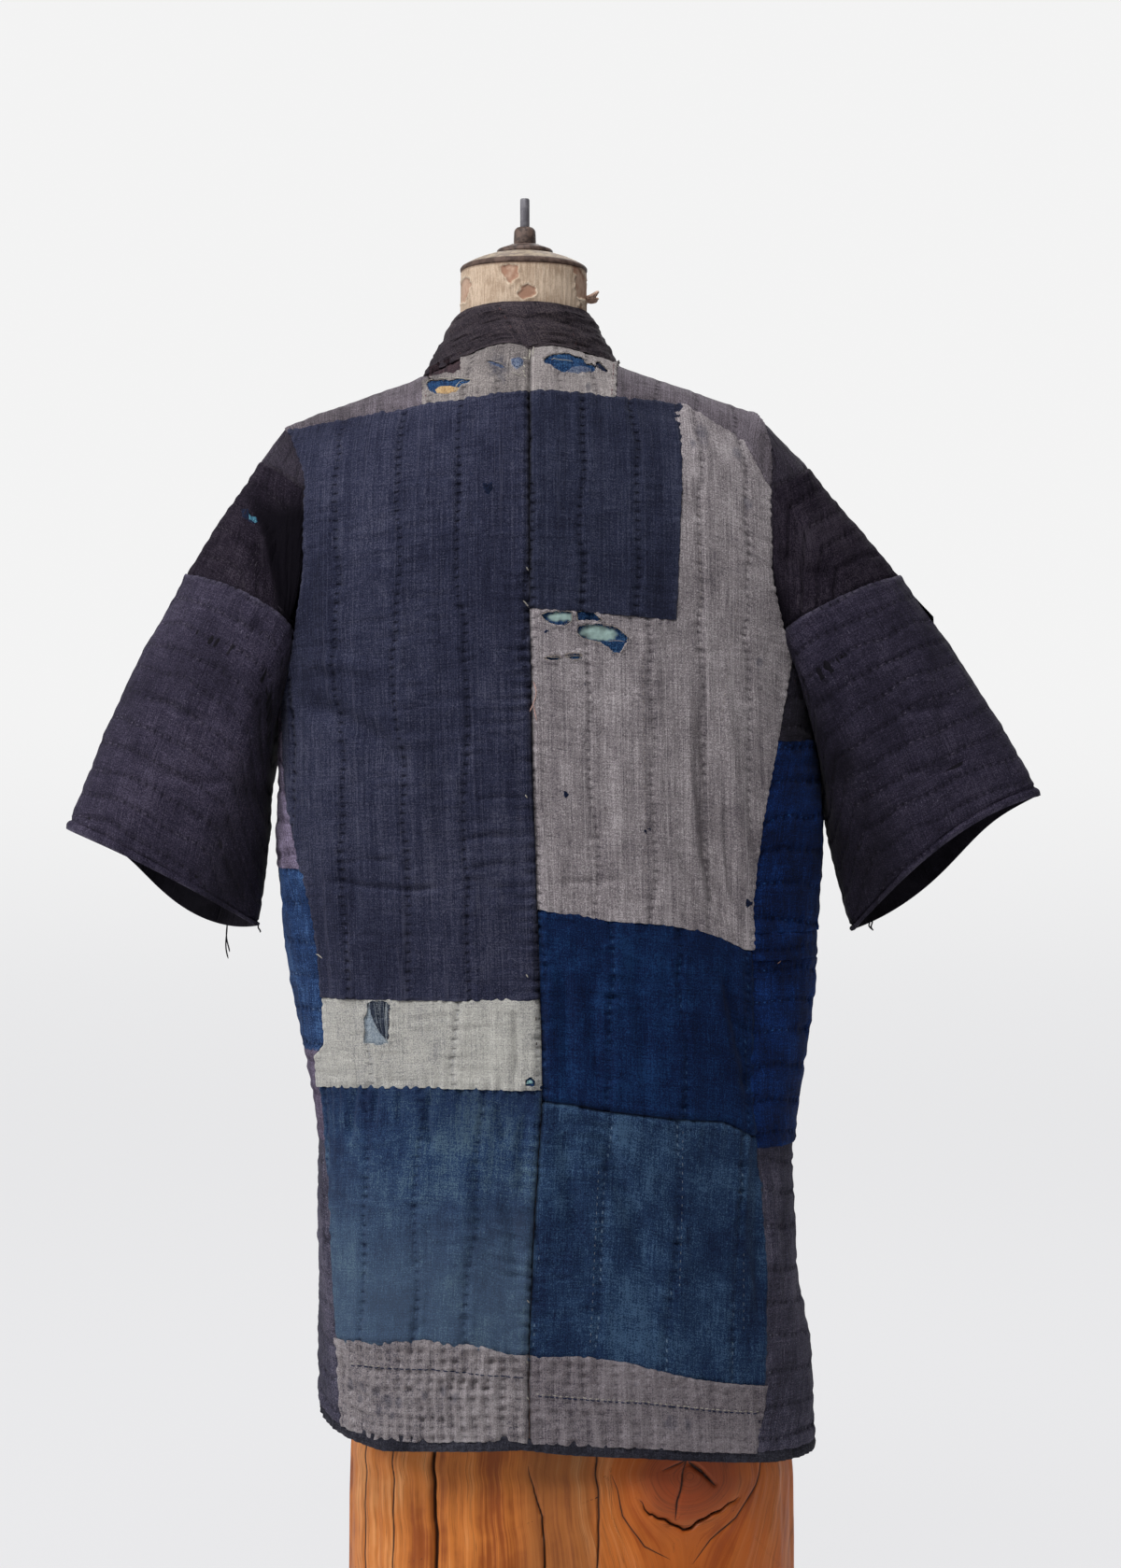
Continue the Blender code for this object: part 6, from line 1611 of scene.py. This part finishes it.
class Socket:
    """A node's output; arithmetic with numbers and other outputs adds the Math nodes."""
    def __init__(self, finish, socket):
        self.finish, self.socket = finish, socket

    def math(self, operation, first, second=None, third=None):
        inputs = {k: v for k, v in enumerate((first, second, third)) if v is not None}
        return self.finish.node("ShaderNodeMath", {"operation": operation}, inputs)

    def __add__(self, other):
        return self.math("ADD", self, other)

    def __sub__(self, other):
        return self.math("SUBTRACT", self, other)

    def __mul__(self, other):
        return self.math("MULTIPLY", self, other)

    def __truediv__(self, other):
        return self.math("DIVIDE", self, other)

    def __rsub__(self, other):
        return self.math("SUBTRACT", other, self)

    __radd__, __rmul__ = __add__, __mul__

    def fraction(self):
        return self.math("FRACT", self)

    def size(self):
        return self.math("ABSOLUTE", self)

    def greater(self, other):
        return self.math("MAXIMUM", self, other)

    def step(self, low, high):
        """0 below low and 1 above high, softly; the other way round when low is above high."""
        return self.finish.node("ShaderNodeMapRange", {"interpolation_type": "SMOOTHSTEP"},
                                {0: self, 1: low, 2: high, 3: 0.0, 4: 1.0})


class Finish:
    """A material and the one method that makes its nodes."""
    def __init__(self, name, fixed=None):
        self.material = bpy.data.materials.new(name)
        self.material.use_nodes = True
        self.tree = self.material.node_tree
        self.shader = self.tree.nodes["Principled BSDF"]
        for key, value in (fixed or {}).items():
            self.shader.inputs[key].default_value = value

    def node(self, kind, settings=None, inputs=None, output=0):
        made = self.tree.nodes.new(kind)
        for key, value in (settings or {}).items():
            setattr(made, key, value)
        for key, value in (inputs or {}).items():
            if isinstance(value, Socket):
                self.tree.links.new(value.socket, made.inputs[key])
            else:
                made.inputs[key].default_value = value
        return Socket(self, made.outputs[output])

    def feed(self, key, value):
        self.tree.links.new(value.socket, self.shader.inputs[key])

    def place(self, uv=False):
        return (self.node("ShaderNodeUVMap", {"uv_map": "cloth"}) if uv
                else self.node("ShaderNodeTexCoord", output="Object"))

    def mark(self, name):
        return self.node("ShaderNodeAttribute", {"attribute_name": name}, output="Fac")

    def noise(self, place, scale, detail=2.0, rough=.5):
        """Soft noise about 0.5, whose cells are 1 / scale metres each way."""
        scaled = self.node("ShaderNodeVectorMath", {"operation": "MULTIPLY"}, {0: place, 1: scale})
        return self.node("ShaderNodeTexNoise", {}, {"Vector": scaled, "Scale": 1.0, "Detail": detail,
                                                    "Roughness": rough})

    def mix(self, share, first, second):
        return self.node("ShaderNodeMix", {"data_type": "RGBA"}, {0: share, 6: first, 7: second}, output=2)

    def bump(self, height, strength, distance, below=None):
        inputs = {"Height": height, "Strength": strength, "Distance": distance}
        if below is not None:
            inputs["Normal"] = below
        return self.node("ShaderNodeBump", {}, inputs)


def cloth_finish(name, main, dark, light, rows, stripes=.5, pin=0.0, mottle=.6, clouds=.6,
                 wear=.4, flecks=0.0, thread=None, worn=None, stitches=.6, torn_colour="a39b92",
                 faded=None, swath=None, shade=.72, gloss=.1, nap=.02):
    """Woven cotton: single threads both ways, fine stripes along the length, dye that has faded in
    streaks and clouds, paler rubbed edges, and rows of running stitch sunk in the furrows."""
    f = Finish(name, {"Specular IOR Level": gloss, "Sheen Weight": nap, "Sheen Roughness": .6})
    uv, place = f.place(uv=True), f.place()
    warp = f.noise(uv, (1150.0, 34.0, 1.0), 1.0)
    weft = f.noise(uv, (50.0, 900.0, 1.0), 1.0)
    grain = f.noise(place, (1000.0, 1000.0, 1000.0), 2.0)
    bands = f.noise(uv, (560.0, 3.2, 1.0), 2.0, .6)
    streaks = f.noise(uv, (75.0, 7.0, 1.0), 3.0, .6)
    blots = f.noise(place, (38.0, 38.0, 30.0), 4.0, .62)
    wide = f.noise(place, (8.5, 8.5, 6.5), 2.0)
    tone = (.5 + .42 * (warp - .5) + .34 * (weft - .5) + 1.15 * (grain - .5)
            + .85 * stripes * (bands - .5) + .32 * stripes * (streaks - .5)
            + .75 * mottle * (blots - .5) + clouds * (wide - .5))
    low = f.mix(tone.step(.24, .5), linear(dark), linear(main))
    colour = f.mix(tone.step(.5, .78), low, linear(light))
    if pin:
        level = f.noise(uv, (95.0, .8, 1.0), 0.0)
        line = 1 - (level - .5).size().step(.004, .016)
        colour = f.mix(line * warp.step(.3, .6) * pin, colour, linear(light))
    if faded:
        colour = f.mix(f.mark("faded"), colour, linear(faded))
    if swath:
        up = f.node("ShaderNodeSeparateXYZ", {}, {0: place}, output=2) + .1 * (wide - .5)
        colour = f.mix((1 - up.step(*swath[:2])) * swath[3], colour, linear(swath[2]))
        colour = f.mix(up.step(swath[1] - .01, swath[1] + .06) * .55, colour, linear(dark))
    edge = f.mark("edge")
    rubbed = (1 - edge.step(.0002, .0045)) * blots.step(.38, .62) * wear
    crown = warp.step(.55, .8) * blots.step(.52, .74) * (.5 * wear)
    colour = f.mix(rubbed.greater(crown), colour, linear(worn or light))
    if flecks:
        bare = f.noise(uv, (520.0, 300.0, 1.0), 2.0, .7)
        area = f.noise(place, (24.0, 24.0, 34.0), 3.0, .6)
        colour = f.mix(bare.step(.6, .72) * area.step(.5, .68) * flecks, colour, linear(worn or light))
    away = ((f.mark("row") + .5).fraction() - .5).size() * rows
    beat = (f.mark("run") / STITCH + .5).fraction()
    sewn = (1 - away.step(.0003, .0008)) * beat.step(.05, .15) * (1 - beat.step(.34, .46))
    gap = (1 - away.step(.0006, .003)) * beat.step(.52, .6) * (1 - beat.step(.68, .8))
    pit = 1 - away.step(.0008, .0046)
    # painted shade: the furrow along each row of stitching and the dimples between stitches are darkened, for
    # the shadow in them
    colour = f.mix(pit * (.28 * stitches), colour, linear(dark))
    colour = f.mix(gap * (.85 * stitches), colour, linear(dark))
    colour = f.mix(sewn * (stitches * blots.step(.44, .62)), colour, linear(thread or light))
    # painted shade: the groove of each butt seam is darkened nearly to black, for the shadow in it
    colour = f.mix(f.mark("groove") * .55, colour, linear("07070e"))
    # painted shade: marked cloth is darkened toward near black in place of the shadow over it; shade sets how
    # far
    colour = f.mix(f.mark("painted_shade") * shade, colour, linear("0b090f"))
    colour = f.mix(f.mark("stain").step(.18, .9) * .42, colour, linear("20283f"))
    colour = f.mix(f.mark("tear").step(.35, .95) * blots.step(.36, .56) * .7, colour, linear(torn_colour))
    f.feed("Base Color", colour)
    f.feed("Roughness", .92 - .1 * blots)
    height = (.45 * warp + .45 * weft + .6 * grain + .5 * blots
              + sewn * (.9 * stitches) - gap * (1.8 * stitches) - pit * (.4 * stitches))
    f.feed("Normal", f.bump(height, .7, .001))
    return f.material


FINISH = {
    "navy_left": dict(main="282b40", dark="17192a", light="494a5c", rows=.0575, stripes=.55, pin=.35,
                      mottle=.4, thread="3b3f58", stitches=.9),
    "navy_right": dict(main="22263a", dark="151727", light="3e4153", rows=.045, stripes=.5, pin=.3,
                       mottle=.35, thread="383c51", stitches=.9),
    "grey_right": dict(main="827b7e", dark="5a545a", light="b0a9ac", rows=.05, stripes=.5, pin=.5, mottle=.7,
                       clouds=.3, thread="cdc6c6", torn_colour="b5adab", stitches=.5),
    "blue_mid_right": dict(main="061b40", dark="030d28", light="15355f", rows=.062, mottle=.8, clouds=.3,
                           thread="446b97", stripes=.2, stitches=.35),
    "blue_low_right": dict(main="1c3150", dark="0e1a36", light="405a77", rows=.06, mottle=1.0, clouds=.5,
                           thread="94adc2", stripes=.25, stitches=.4),
    "blue_low_left": dict(main="263c5e", dark="14203e", light="52697a", rows=.052, mottle=1.0, clouds=.6,
                          thread="647b99", stripes=.2, stitches=.4, swath=(.34, .5, "5a6b7c", .34)),
    "cream_left": dict(main="acaaa5", dark="878788", light="c8c7c1", rows=.075, mottle=.5, thread="878893",
                       stripes=.25, torn_colour="8d97a0"),
    "hem_patch_left": dict(main="857e80", dark="524e58", light="a09a9d", rows=.0105, mottle=.55, stitches=.35,
                           thread="c1bbbf"),
    "hem_patch_right": dict(main="797276", dark="4f4952", light="928b91", rows=.0125, mottle=.55, stitches=.3,
                            thread="aea7ab"),
    "charcoal": dict(main="3f3d4d", dark="26252f", light="686474", rows=.03, mottle=.7, thread="858594"),
    # the upper sleeves are darker than the cap and lower sleeve partly as painted shade for the folds'
    # shadow, and their painted shade goes nearly to black
    "sleeve_upper": dict(main="201b25", dark="0f0d13", light="3a343e", rows=.024, mottle=.8, thread="443f47",
                         stripes=.2, worn="6f6a71", wear=.2, flecks=.35, stitches=.5, shade=.94, gloss=.04,
                         nap=0.0),
    "sleeve_cap": dict(main="2b2631", dark="18151d", light="4a4450", rows=.024, mottle=.7, thread="5b5565",
                       stripes=.2, wear=.3, stitches=.5),
    "neck_patch_right": dict(main="8a8383", dark="655f61", light="aba5a3", rows=.03, mottle=.6,
                             thread="9b9594", clouds=.2, stripes=.5, torn_colour="b0a8a5"),
    "side_blue_left": dict(main="1f3760", dark="111f3c", light="456490", rows=.03, mottle=.9,
                           thread="6d83a3"),
    "side_dark": dict(main="1f1c26", dark="121017", light="35313c", rows=.03, mottle=.7, thread="4a4750"),
    "sleeve": dict(main="2d293a", dark="1b1825", light="4c4658", rows=.024, mottle=.7, thread="5b5565",
                   stripes=.2, worn="837e92", wear=.22, flecks=.6, stitches=.7),
    "collar": dict(main="312b32", dark="1d191e", light="51484b", rows=.06, mottle=.5, thread="6a4c4c",
                   stripes=.3),
    "binding": dict(main="2a2a34", dark="18181f", light="45454f", rows=.0085, mottle=.6, thread="55555f",
                    stitches=.4),
    "yoke": dict(main="595259", dark="3a363b", light="79717b", rows=.04, mottle=.6, thread="81797b",
                 stripes=.6, pin=.3),
    "neck_patch": dict(main="736d6c", dark="4e494c", light="9a9391", rows=.03, mottle=.8, thread="9b9594",
                       stripes=.5, torn_colour="b0a8a5"),
    "side_blue": dict(main="072150", dark="030d2a", light="173d7e", rows=.03, mottle=.9, thread="2f5fa0"),
    "side_grey": dict(main="645a6e", dark="3f3749", light="877d97", rows=.03, mottle=.8, thread="9187a2"),
    "front": dict(main="2f3146", dark="1c1d2c", light="4e4f60", rows=.055, mottle=.6, thread="565768",
                  stripes=.6),
}
WEARS = {                   # which finish each piece of cloth has
    "sleeve": ("sleeve_lower_left", "sleeve_lower_right"),
    "sleeve_cap": ("sleeve_cap_left", "sleeve_cap_right"),
    "sleeve_upper": ("sleeve_upper_left", "sleeve_upper_right"),
    "collar": ("collar", "band_left", "band_right"),
    "yoke": ("yoke_left", "yoke_right"),
    "neck_patch": ("neck_patch_left",),
    "neck_patch_right": ("neck_patch_right",),
    "binding": ("hem_binding",),
    "charcoal": ("side_left_charcoal", "side_right_charcoal"),
    "side_dark": ("side_right_dark",),
    "side_blue_left": ("side_left_blue",),
    "side_blue": ("side_right_blue", "side_right_strip", "side_right_navy"),
    "side_grey": ("side_left_thin", "side_left_grey"),
    "front": ("front_left", "front_right"),
}


SCRAPS = {                  # finishes of the small bits, and of the threads
    "indigo": dict(main="173358", dark="0b1a36", light="3a5f88", rows=.05, stitches=0, mottle=1.0,
                   torn_colour="14233f", faded="93aaa6"),
    "indigo_dark": dict(main="0f1830", dark="070b18", light="1d2b4a", rows=.05, stitches=0,
                        torn_colour="2f4367"),
    "teal": dict(main="8fafae", dark="5d8795", light="b9c8bd", rows=.05, stitches=0, mottle=.9,
                 torn_colour="4d7c92"),
    "pale_blue": dict(main="8c97a1", dark="6b7886", light="adb4b8", rows=.05, stitches=0,
                      torn_colour="9aa3aa"),
    "striped_dark": dict(main="3d4453", dark="1e2432", light="8b9094", rows=.05, stitches=0, stripes=2.6,
                         torn_colour="3d4453"),
    "grey_blue": dict(main="4b566f", dark="2d3650", light="7a8496", rows=.05, stitches=0,
                      torn_colour="8d8b92"),
    "sea_blue": dict(main="3f7285", dark="1b3a52", light="7fabb2", rows=.05, stitches=0, mottle=1.2,
                     torn_colour="1c3a5c"),
    "brown_red": dict(main="35292f", dark="20181d", light="5a474a", rows=.05, stitches=0, mottle=1.0,
                      torn_colour="35292f"),
    "ochre": dict(main="a98a63", dark="7d6548", light="c7ab80", rows=.05, stitches=0, torn_colour="b9a58a"),
}
THREADS = {"thread_pale": "b5b0a6", "thread_indigo": "1d2a47", "thread_brown": "4a3a34",
           "thread_red": "6b3f45", "thread_pink": "c9a39a", "thread_dark": "26232b", "thread_tuft": "d9b9a8",
           "thread_frayed": "a0968f", "thread_dull": "7f8893"}


def thread_finish(name, colour):
    """Spun cotton: fine light and dark fibres."""
    f = Finish(name, {"Specular IOR Level": .15})
    fibre = f.noise(f.place(), (1400.0, 1400.0, 500.0), 2.0)
    plain = linear(colour)
    deep = tuple(.55 * part for part in plain[:3]) + (1.0,)
    f.feed("Base Color", f.mix(fibre.step(.35, .6), deep, plain))
    f.feed("Roughness", .8 + .15 * fibre)
    f.feed("Normal", f.bump(fibre, .5, .0003))
    return f.material


def wood_finish():
    """Polished wood: orange-brown, with growth lines and streaks that follow the grain round the
    knot, a red knot, browner bands, and dark cracks in a darker brown margin."""
    f = Finish("stump_wood", {"Coat Weight": .1, "Coat Roughness": .3, "Specular IOR Level": .35})
    place = f.place()
    up = f.node("ShaderNodeSeparateXYZ", {}, {0: place}, output=2)
    along = f.node("ShaderNodeCombineXYZ", {}, {0: f.mark("grain"), 1: f.mark("bulge") * .02, 2: up})
    lines = f.noise(along, (300.0, 60.0, 5.0), 3.0, .6)
    bands = f.noise(along, (48.0, 60.0, 3.0), 3.0, .6)
    fine = f.noise(along, (1500.0, 60.0, 18.0), 2.0)
    clouds = f.noise(place, (16.0, 16.0, 12.0), 4.0, .6)
    tone = .5 + 1.1 * (bands - .5) + .55 * (lines - .5) + .8 * (clouds - .5) + .3 * (fine - .5)
    colour = f.mix(tone.step(.22, .52), linear("94480e"), linear("cd7830"))
    colour = f.mix(tone.step(.5, .84), colour, linear("eaa262"))
    across = f.mark("across")
    brown = across.step(.055, .03) * (1 - across.step(-.01, -.035))
    colour = f.mix(brown * .55, colour, linear("7c4a24"))
    colour = f.mix(across.step(0.0, -.05) * (.55 + 1.2 * (clouds - .5)), colour, linear("b24d04"))
    colour = f.mix(f.mark("bulge").step(.2, .95) * .75, colour, linear("8c3414"))
    thin = 1 - (lines - .5).size().step(.004, .022)
    colour = f.mix(thin * bands.step(.45, .6) * .45, colour, linear("5d2f15"))
    crack = f.mark("crack").size()
    colour = f.mix((1 - crack.step(1.0, 3.2)) * .35, colour, linear("6e3416"))
    colour = f.mix((1 - crack.step(.6, 1.5)) * .92, colour, linear("1c0e09"))
    f.feed("Base Color", colour)
    f.feed("Roughness", .42 + .3 * clouds)
    f.feed("Normal", f.bump(lines * .6 + fine * .5, .3, .0008))
    return f.material


def form_cloth_finish():
    """Ribbed cream cloth stretched on the form's neck; brown board shows where it has peeled, with
    a pale frayed edge, and the top edge, just under the cap, is darker."""
    f = Finish("form_cloth", {"Specular IOR Level": .2})
    place = f.place()
    ribs = f.noise(place, (800.0, 800.0, 90.0), 2.0)
    weave = f.noise(place, (900.0, 900.0, 900.0), 2.0)
    stain = f.noise(place, (40.0, 40.0, 36.0), 4.0, .65)
    tone = ribs * .45 + weave * .25 + stain * .6
    colour = f.mix(tone.step(.48, .82), linear("a28b76"), linear("d0bba6"))
    bare = f.mark("peeled")
    lip = (1 - (bare + .0007).size().step(.0001, .0008)) * stain.step(.4, .6)
    colour = f.mix(lip * .8, colour, linear("dccdb8"))
    board = f.mix(stain.step(.45, .6), linear("9f7a66"), linear("bfa28e"))
    colour = f.mix(bare.step(-.0004, .0005), colour, board)
    colour = f.mix(f.mark("rim") * .8, colour, linear("5b4337"))
    f.feed("Base Color", colour)
    f.feed("Roughness", .82 + .1 * stain)
    f.feed("Normal", f.bump(ribs + weave, .4, .0006))
    return f.material


def cap_finish():
    """The form's cap: a dark brown painted rim, and above it dusty grey-brown cloth."""
    f = Finish("neck_cap", {"Specular IOR Level": .25})
    blots = f.noise(f.place(), (160.0, 160.0, 160.0), 4.0, .65)
    top = f.mix(blots.step(.4, .62), linear("7d6e62"), linear("a3937f"))
    rim = f.mix(blots.step(.4, .62), linear("463630"), linear("64524a"))
    f.feed("Base Color", f.mix(f.mark("rim").step(-.0004, .0006), top, rim))
    f.feed("Roughness", .55 + .25 * blots)
    f.feed("Normal", f.bump(blots, .3, .0005))
    return f.material


def metal_finish(name, light, dark, metallic, rough):
    """Old iron: blotched between two tones, duller in the darker parts."""
    f = Finish(name, {"Metallic": metallic})
    place = f.place()
    blots = f.noise(place, (180.0, 180.0, 180.0), 4.0, .65)
    f.feed("Base Color", f.mix(blots.step(.4, .62), linear(dark), linear(light)))
    f.feed("Roughness", rough + .25 * blots)
    f.feed("Normal", f.bump(blots, .3, .0005))
    return f.material


# ------------------------------------------------------------------ what stands for what
TURNED_UNDER = .014         # both seam allowances of a cut piece
LEAST_SHARE = .3            # of its rectangle that a piece fills


def claim(name, kind, flat=None, area=None):
    """Joins a finished piece to its body, node and slot."""
    piece = PIECES[f"{name}_cloth" if flat else f"{name}_finished"]
    piece.data.materials.append(kind)
    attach(piece, "root")
    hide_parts(name)
    for extra, finish in EXTRAS.get(name, ()):
        extra.data.materials.append(made[finish])
        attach(extra, "root")


def cut_of(name):
    """Flat width and length of a piece's cut, its greatest girth and length with the allowances,
    and the area of the finished piece, kept between 0.3 and 1 of that rectangle's."""
    left, low = GRIDS[name][2:]
    width, length = (float(run.max()) + TURNED_UNDER for run in (left[:, -1], low[-1]))
    area = sum(face.area for face in PIECES[f"{name}_cloth"].data.polygons)
    return width, length, min(max(area, LEAST_SHARE * width * length), width * length)


make_back()
make_sides()
make_fronts()
make_hem()
make_shoulders()
make_collar()
make_sleeves()
make_back_scraps()
make_frayed_edges()
make_back_threads()
make_form()
make_finial()
make_stump()

finish_of = {piece: kind for kind, pieces in WEARS.items() for piece in pieces}
made = {kind: cloth_finish(f"cloth_{kind}", **values) for kind, values in {**FINISH, **SCRAPS}.items()}
made.update({kind: thread_finish(kind, colour) for kind, colour in THREADS.items()})
for name in GRIDS:
    width, length, area = cut_of(name)
    claim(name, made[finish_of.get(name, name)], (width, length), area=area)
claim("dress_form", form_cloth_finish())
claim("neck_cap", cap_finish())
iron = metal_finish("finial_iron", "66534b", "3a2c27", .1, .5)
claim("finial_flange", iron)
claim("finial_hub", iron)
claim("finial_rod", metal_finish("finial_steel", "757379", "626067", .3, .45))
claim("stump", wood_finish())


# ------------------------------------------------------------------ stage, light and camera
def make_stage():
    """A pale floor that curves up far behind the object into a backdrop.  Seen by the camera it
    gives its own colour, a little paler with height and distance."""
    turn = np.linspace(0, math.pi / 2, 20)
    y = np.concatenate([[40.0, 1.0], -9.0 - 3.0 * np.sin(turn), [-12.0]])
    z = np.concatenate([[0.0, 0.0], 3.0 - 3.0 * np.cos(turn), [14.0]])
    x = np.linspace(-40, 40, 9)
    points = np.stack(np.broadcast_arrays(x[None, :], y[:, None], z[:, None]), -1)
    rows, columns = points.shape[:2]
    r, c = (g.ravel() for g in np.meshgrid(np.arange(rows - 1), np.arange(columns - 1), indexing="ij"))
    corner = lambda rr, cc: rr * columns + cc
    quads = np.stack([corner(r, c), corner(r + 1, c), corner(r + 1, c + 1), corner(r, c + 1)], 1)
    floor = make_mesh("floor_and_backdrop", points.reshape(-1, 3), quads)
    f = Finish("pale_stage", {"Base Color": linear("e9e9ea"), "Roughness": 1.0, "Specular IOR Level": 0.0})
    up = f.node("ShaderNodeSeparateXYZ", {}, {0: f.place()}, output=2)
    across = f.node("ShaderNodeSeparateXYZ", {}, {0: f.place()}, output=1)
    colour = f.mix((up - across * .06).step(-1.2, 2.0), linear("e2e2e5"), linear("fafafa"))
    glow = f.node("ShaderNodeEmission", {}, {"Color": colour, "Strength": 1.0})
    ray = f.node("ShaderNodeLightPath", output="Is Camera Ray")
    glossy = f.node("ShaderNodeLightPath", output="Is Glossy Ray")
    seen = ray.greater(glossy)
    direct = Socket(f, f.shader.outputs[0])
    mixed = f.node("ShaderNodeMixShader", {}, {0: seen * .93, 1: direct, 2: glow})
    f.tree.links.new(mixed.socket, f.tree.nodes["Material Output"].inputs["Surface"])
    floor.data.materials.append(f.material)
    floor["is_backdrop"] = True


def make_light(name, place, aim, size, power):
    data = bpy.data.lights.new(name, "AREA")
    data.shape, data.size, data.energy = "SQUARE", size, power
    lamp = bpy.data.objects.new(name, data)
    lamp.location = place
    lamp.rotation_euler = (Vector(aim) - Vector(place)).to_track_quat("-Z", "Y").to_euler()
    bpy.context.scene.collection.objects.link(lamp)


def make_world(strength):
    world = bpy.data.worlds.new("studio")
    bpy.context.scene.world = world
    world.use_nodes = True
    tree = world.node_tree
    sky = tree.nodes["Background"]
    sky.inputs["Color"].default_value = (1, 1, 1, 1)
    sky.inputs["Strength"].default_value = strength
    pale = tree.nodes.new("ShaderNodeBackground")
    pale.inputs["Color"].default_value = linear("ededee")
    ray, mixed = tree.nodes.new("ShaderNodeLightPath"), tree.nodes.new("ShaderNodeMixShader")
    tree.links.new(ray.outputs["Is Camera Ray"], mixed.inputs[0])
    tree.links.new(sky.outputs[0], mixed.inputs[1])
    tree.links.new(pale.outputs[0], mixed.inputs[2])
    tree.links.new(mixed.outputs[0], tree.nodes["World Output"].inputs["Surface"])


def make_camera():
    data = bpy.data.cameras.new("camera")
    data.sensor_fit, data.sensor_height, data.sensor_width = "VERTICAL", 36.0, 36.0
    data.lens = 2.5 * 36.0 / (1679 / 1200)
    camera = bpy.data.objects.new("camera", data)
    camera.location = (.0117, 2.5, .8)
    camera.rotation_euler = (math.pi / 2, 0, math.pi)
    bpy.context.scene.collection.objects.link(camera)
    bpy.context.scene.camera = camera


make_stage()
make_light("key", (.5, 1.4, 3.0), (0, 0, .7), 1.1, 56)
make_light("side", (2.3, .8, 1.6), (0, 0, .75), .8, 26)
make_light("front", (-.4, -1.7, 2.6), (0, 0, .8), 1.8, 30)
make_world(.16)
make_camera()
bpy.context.scene.view_settings.view_transform = "Standard"

[[list(map(float, corner)) for corner in box] for box in (FRAME_BOX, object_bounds())]
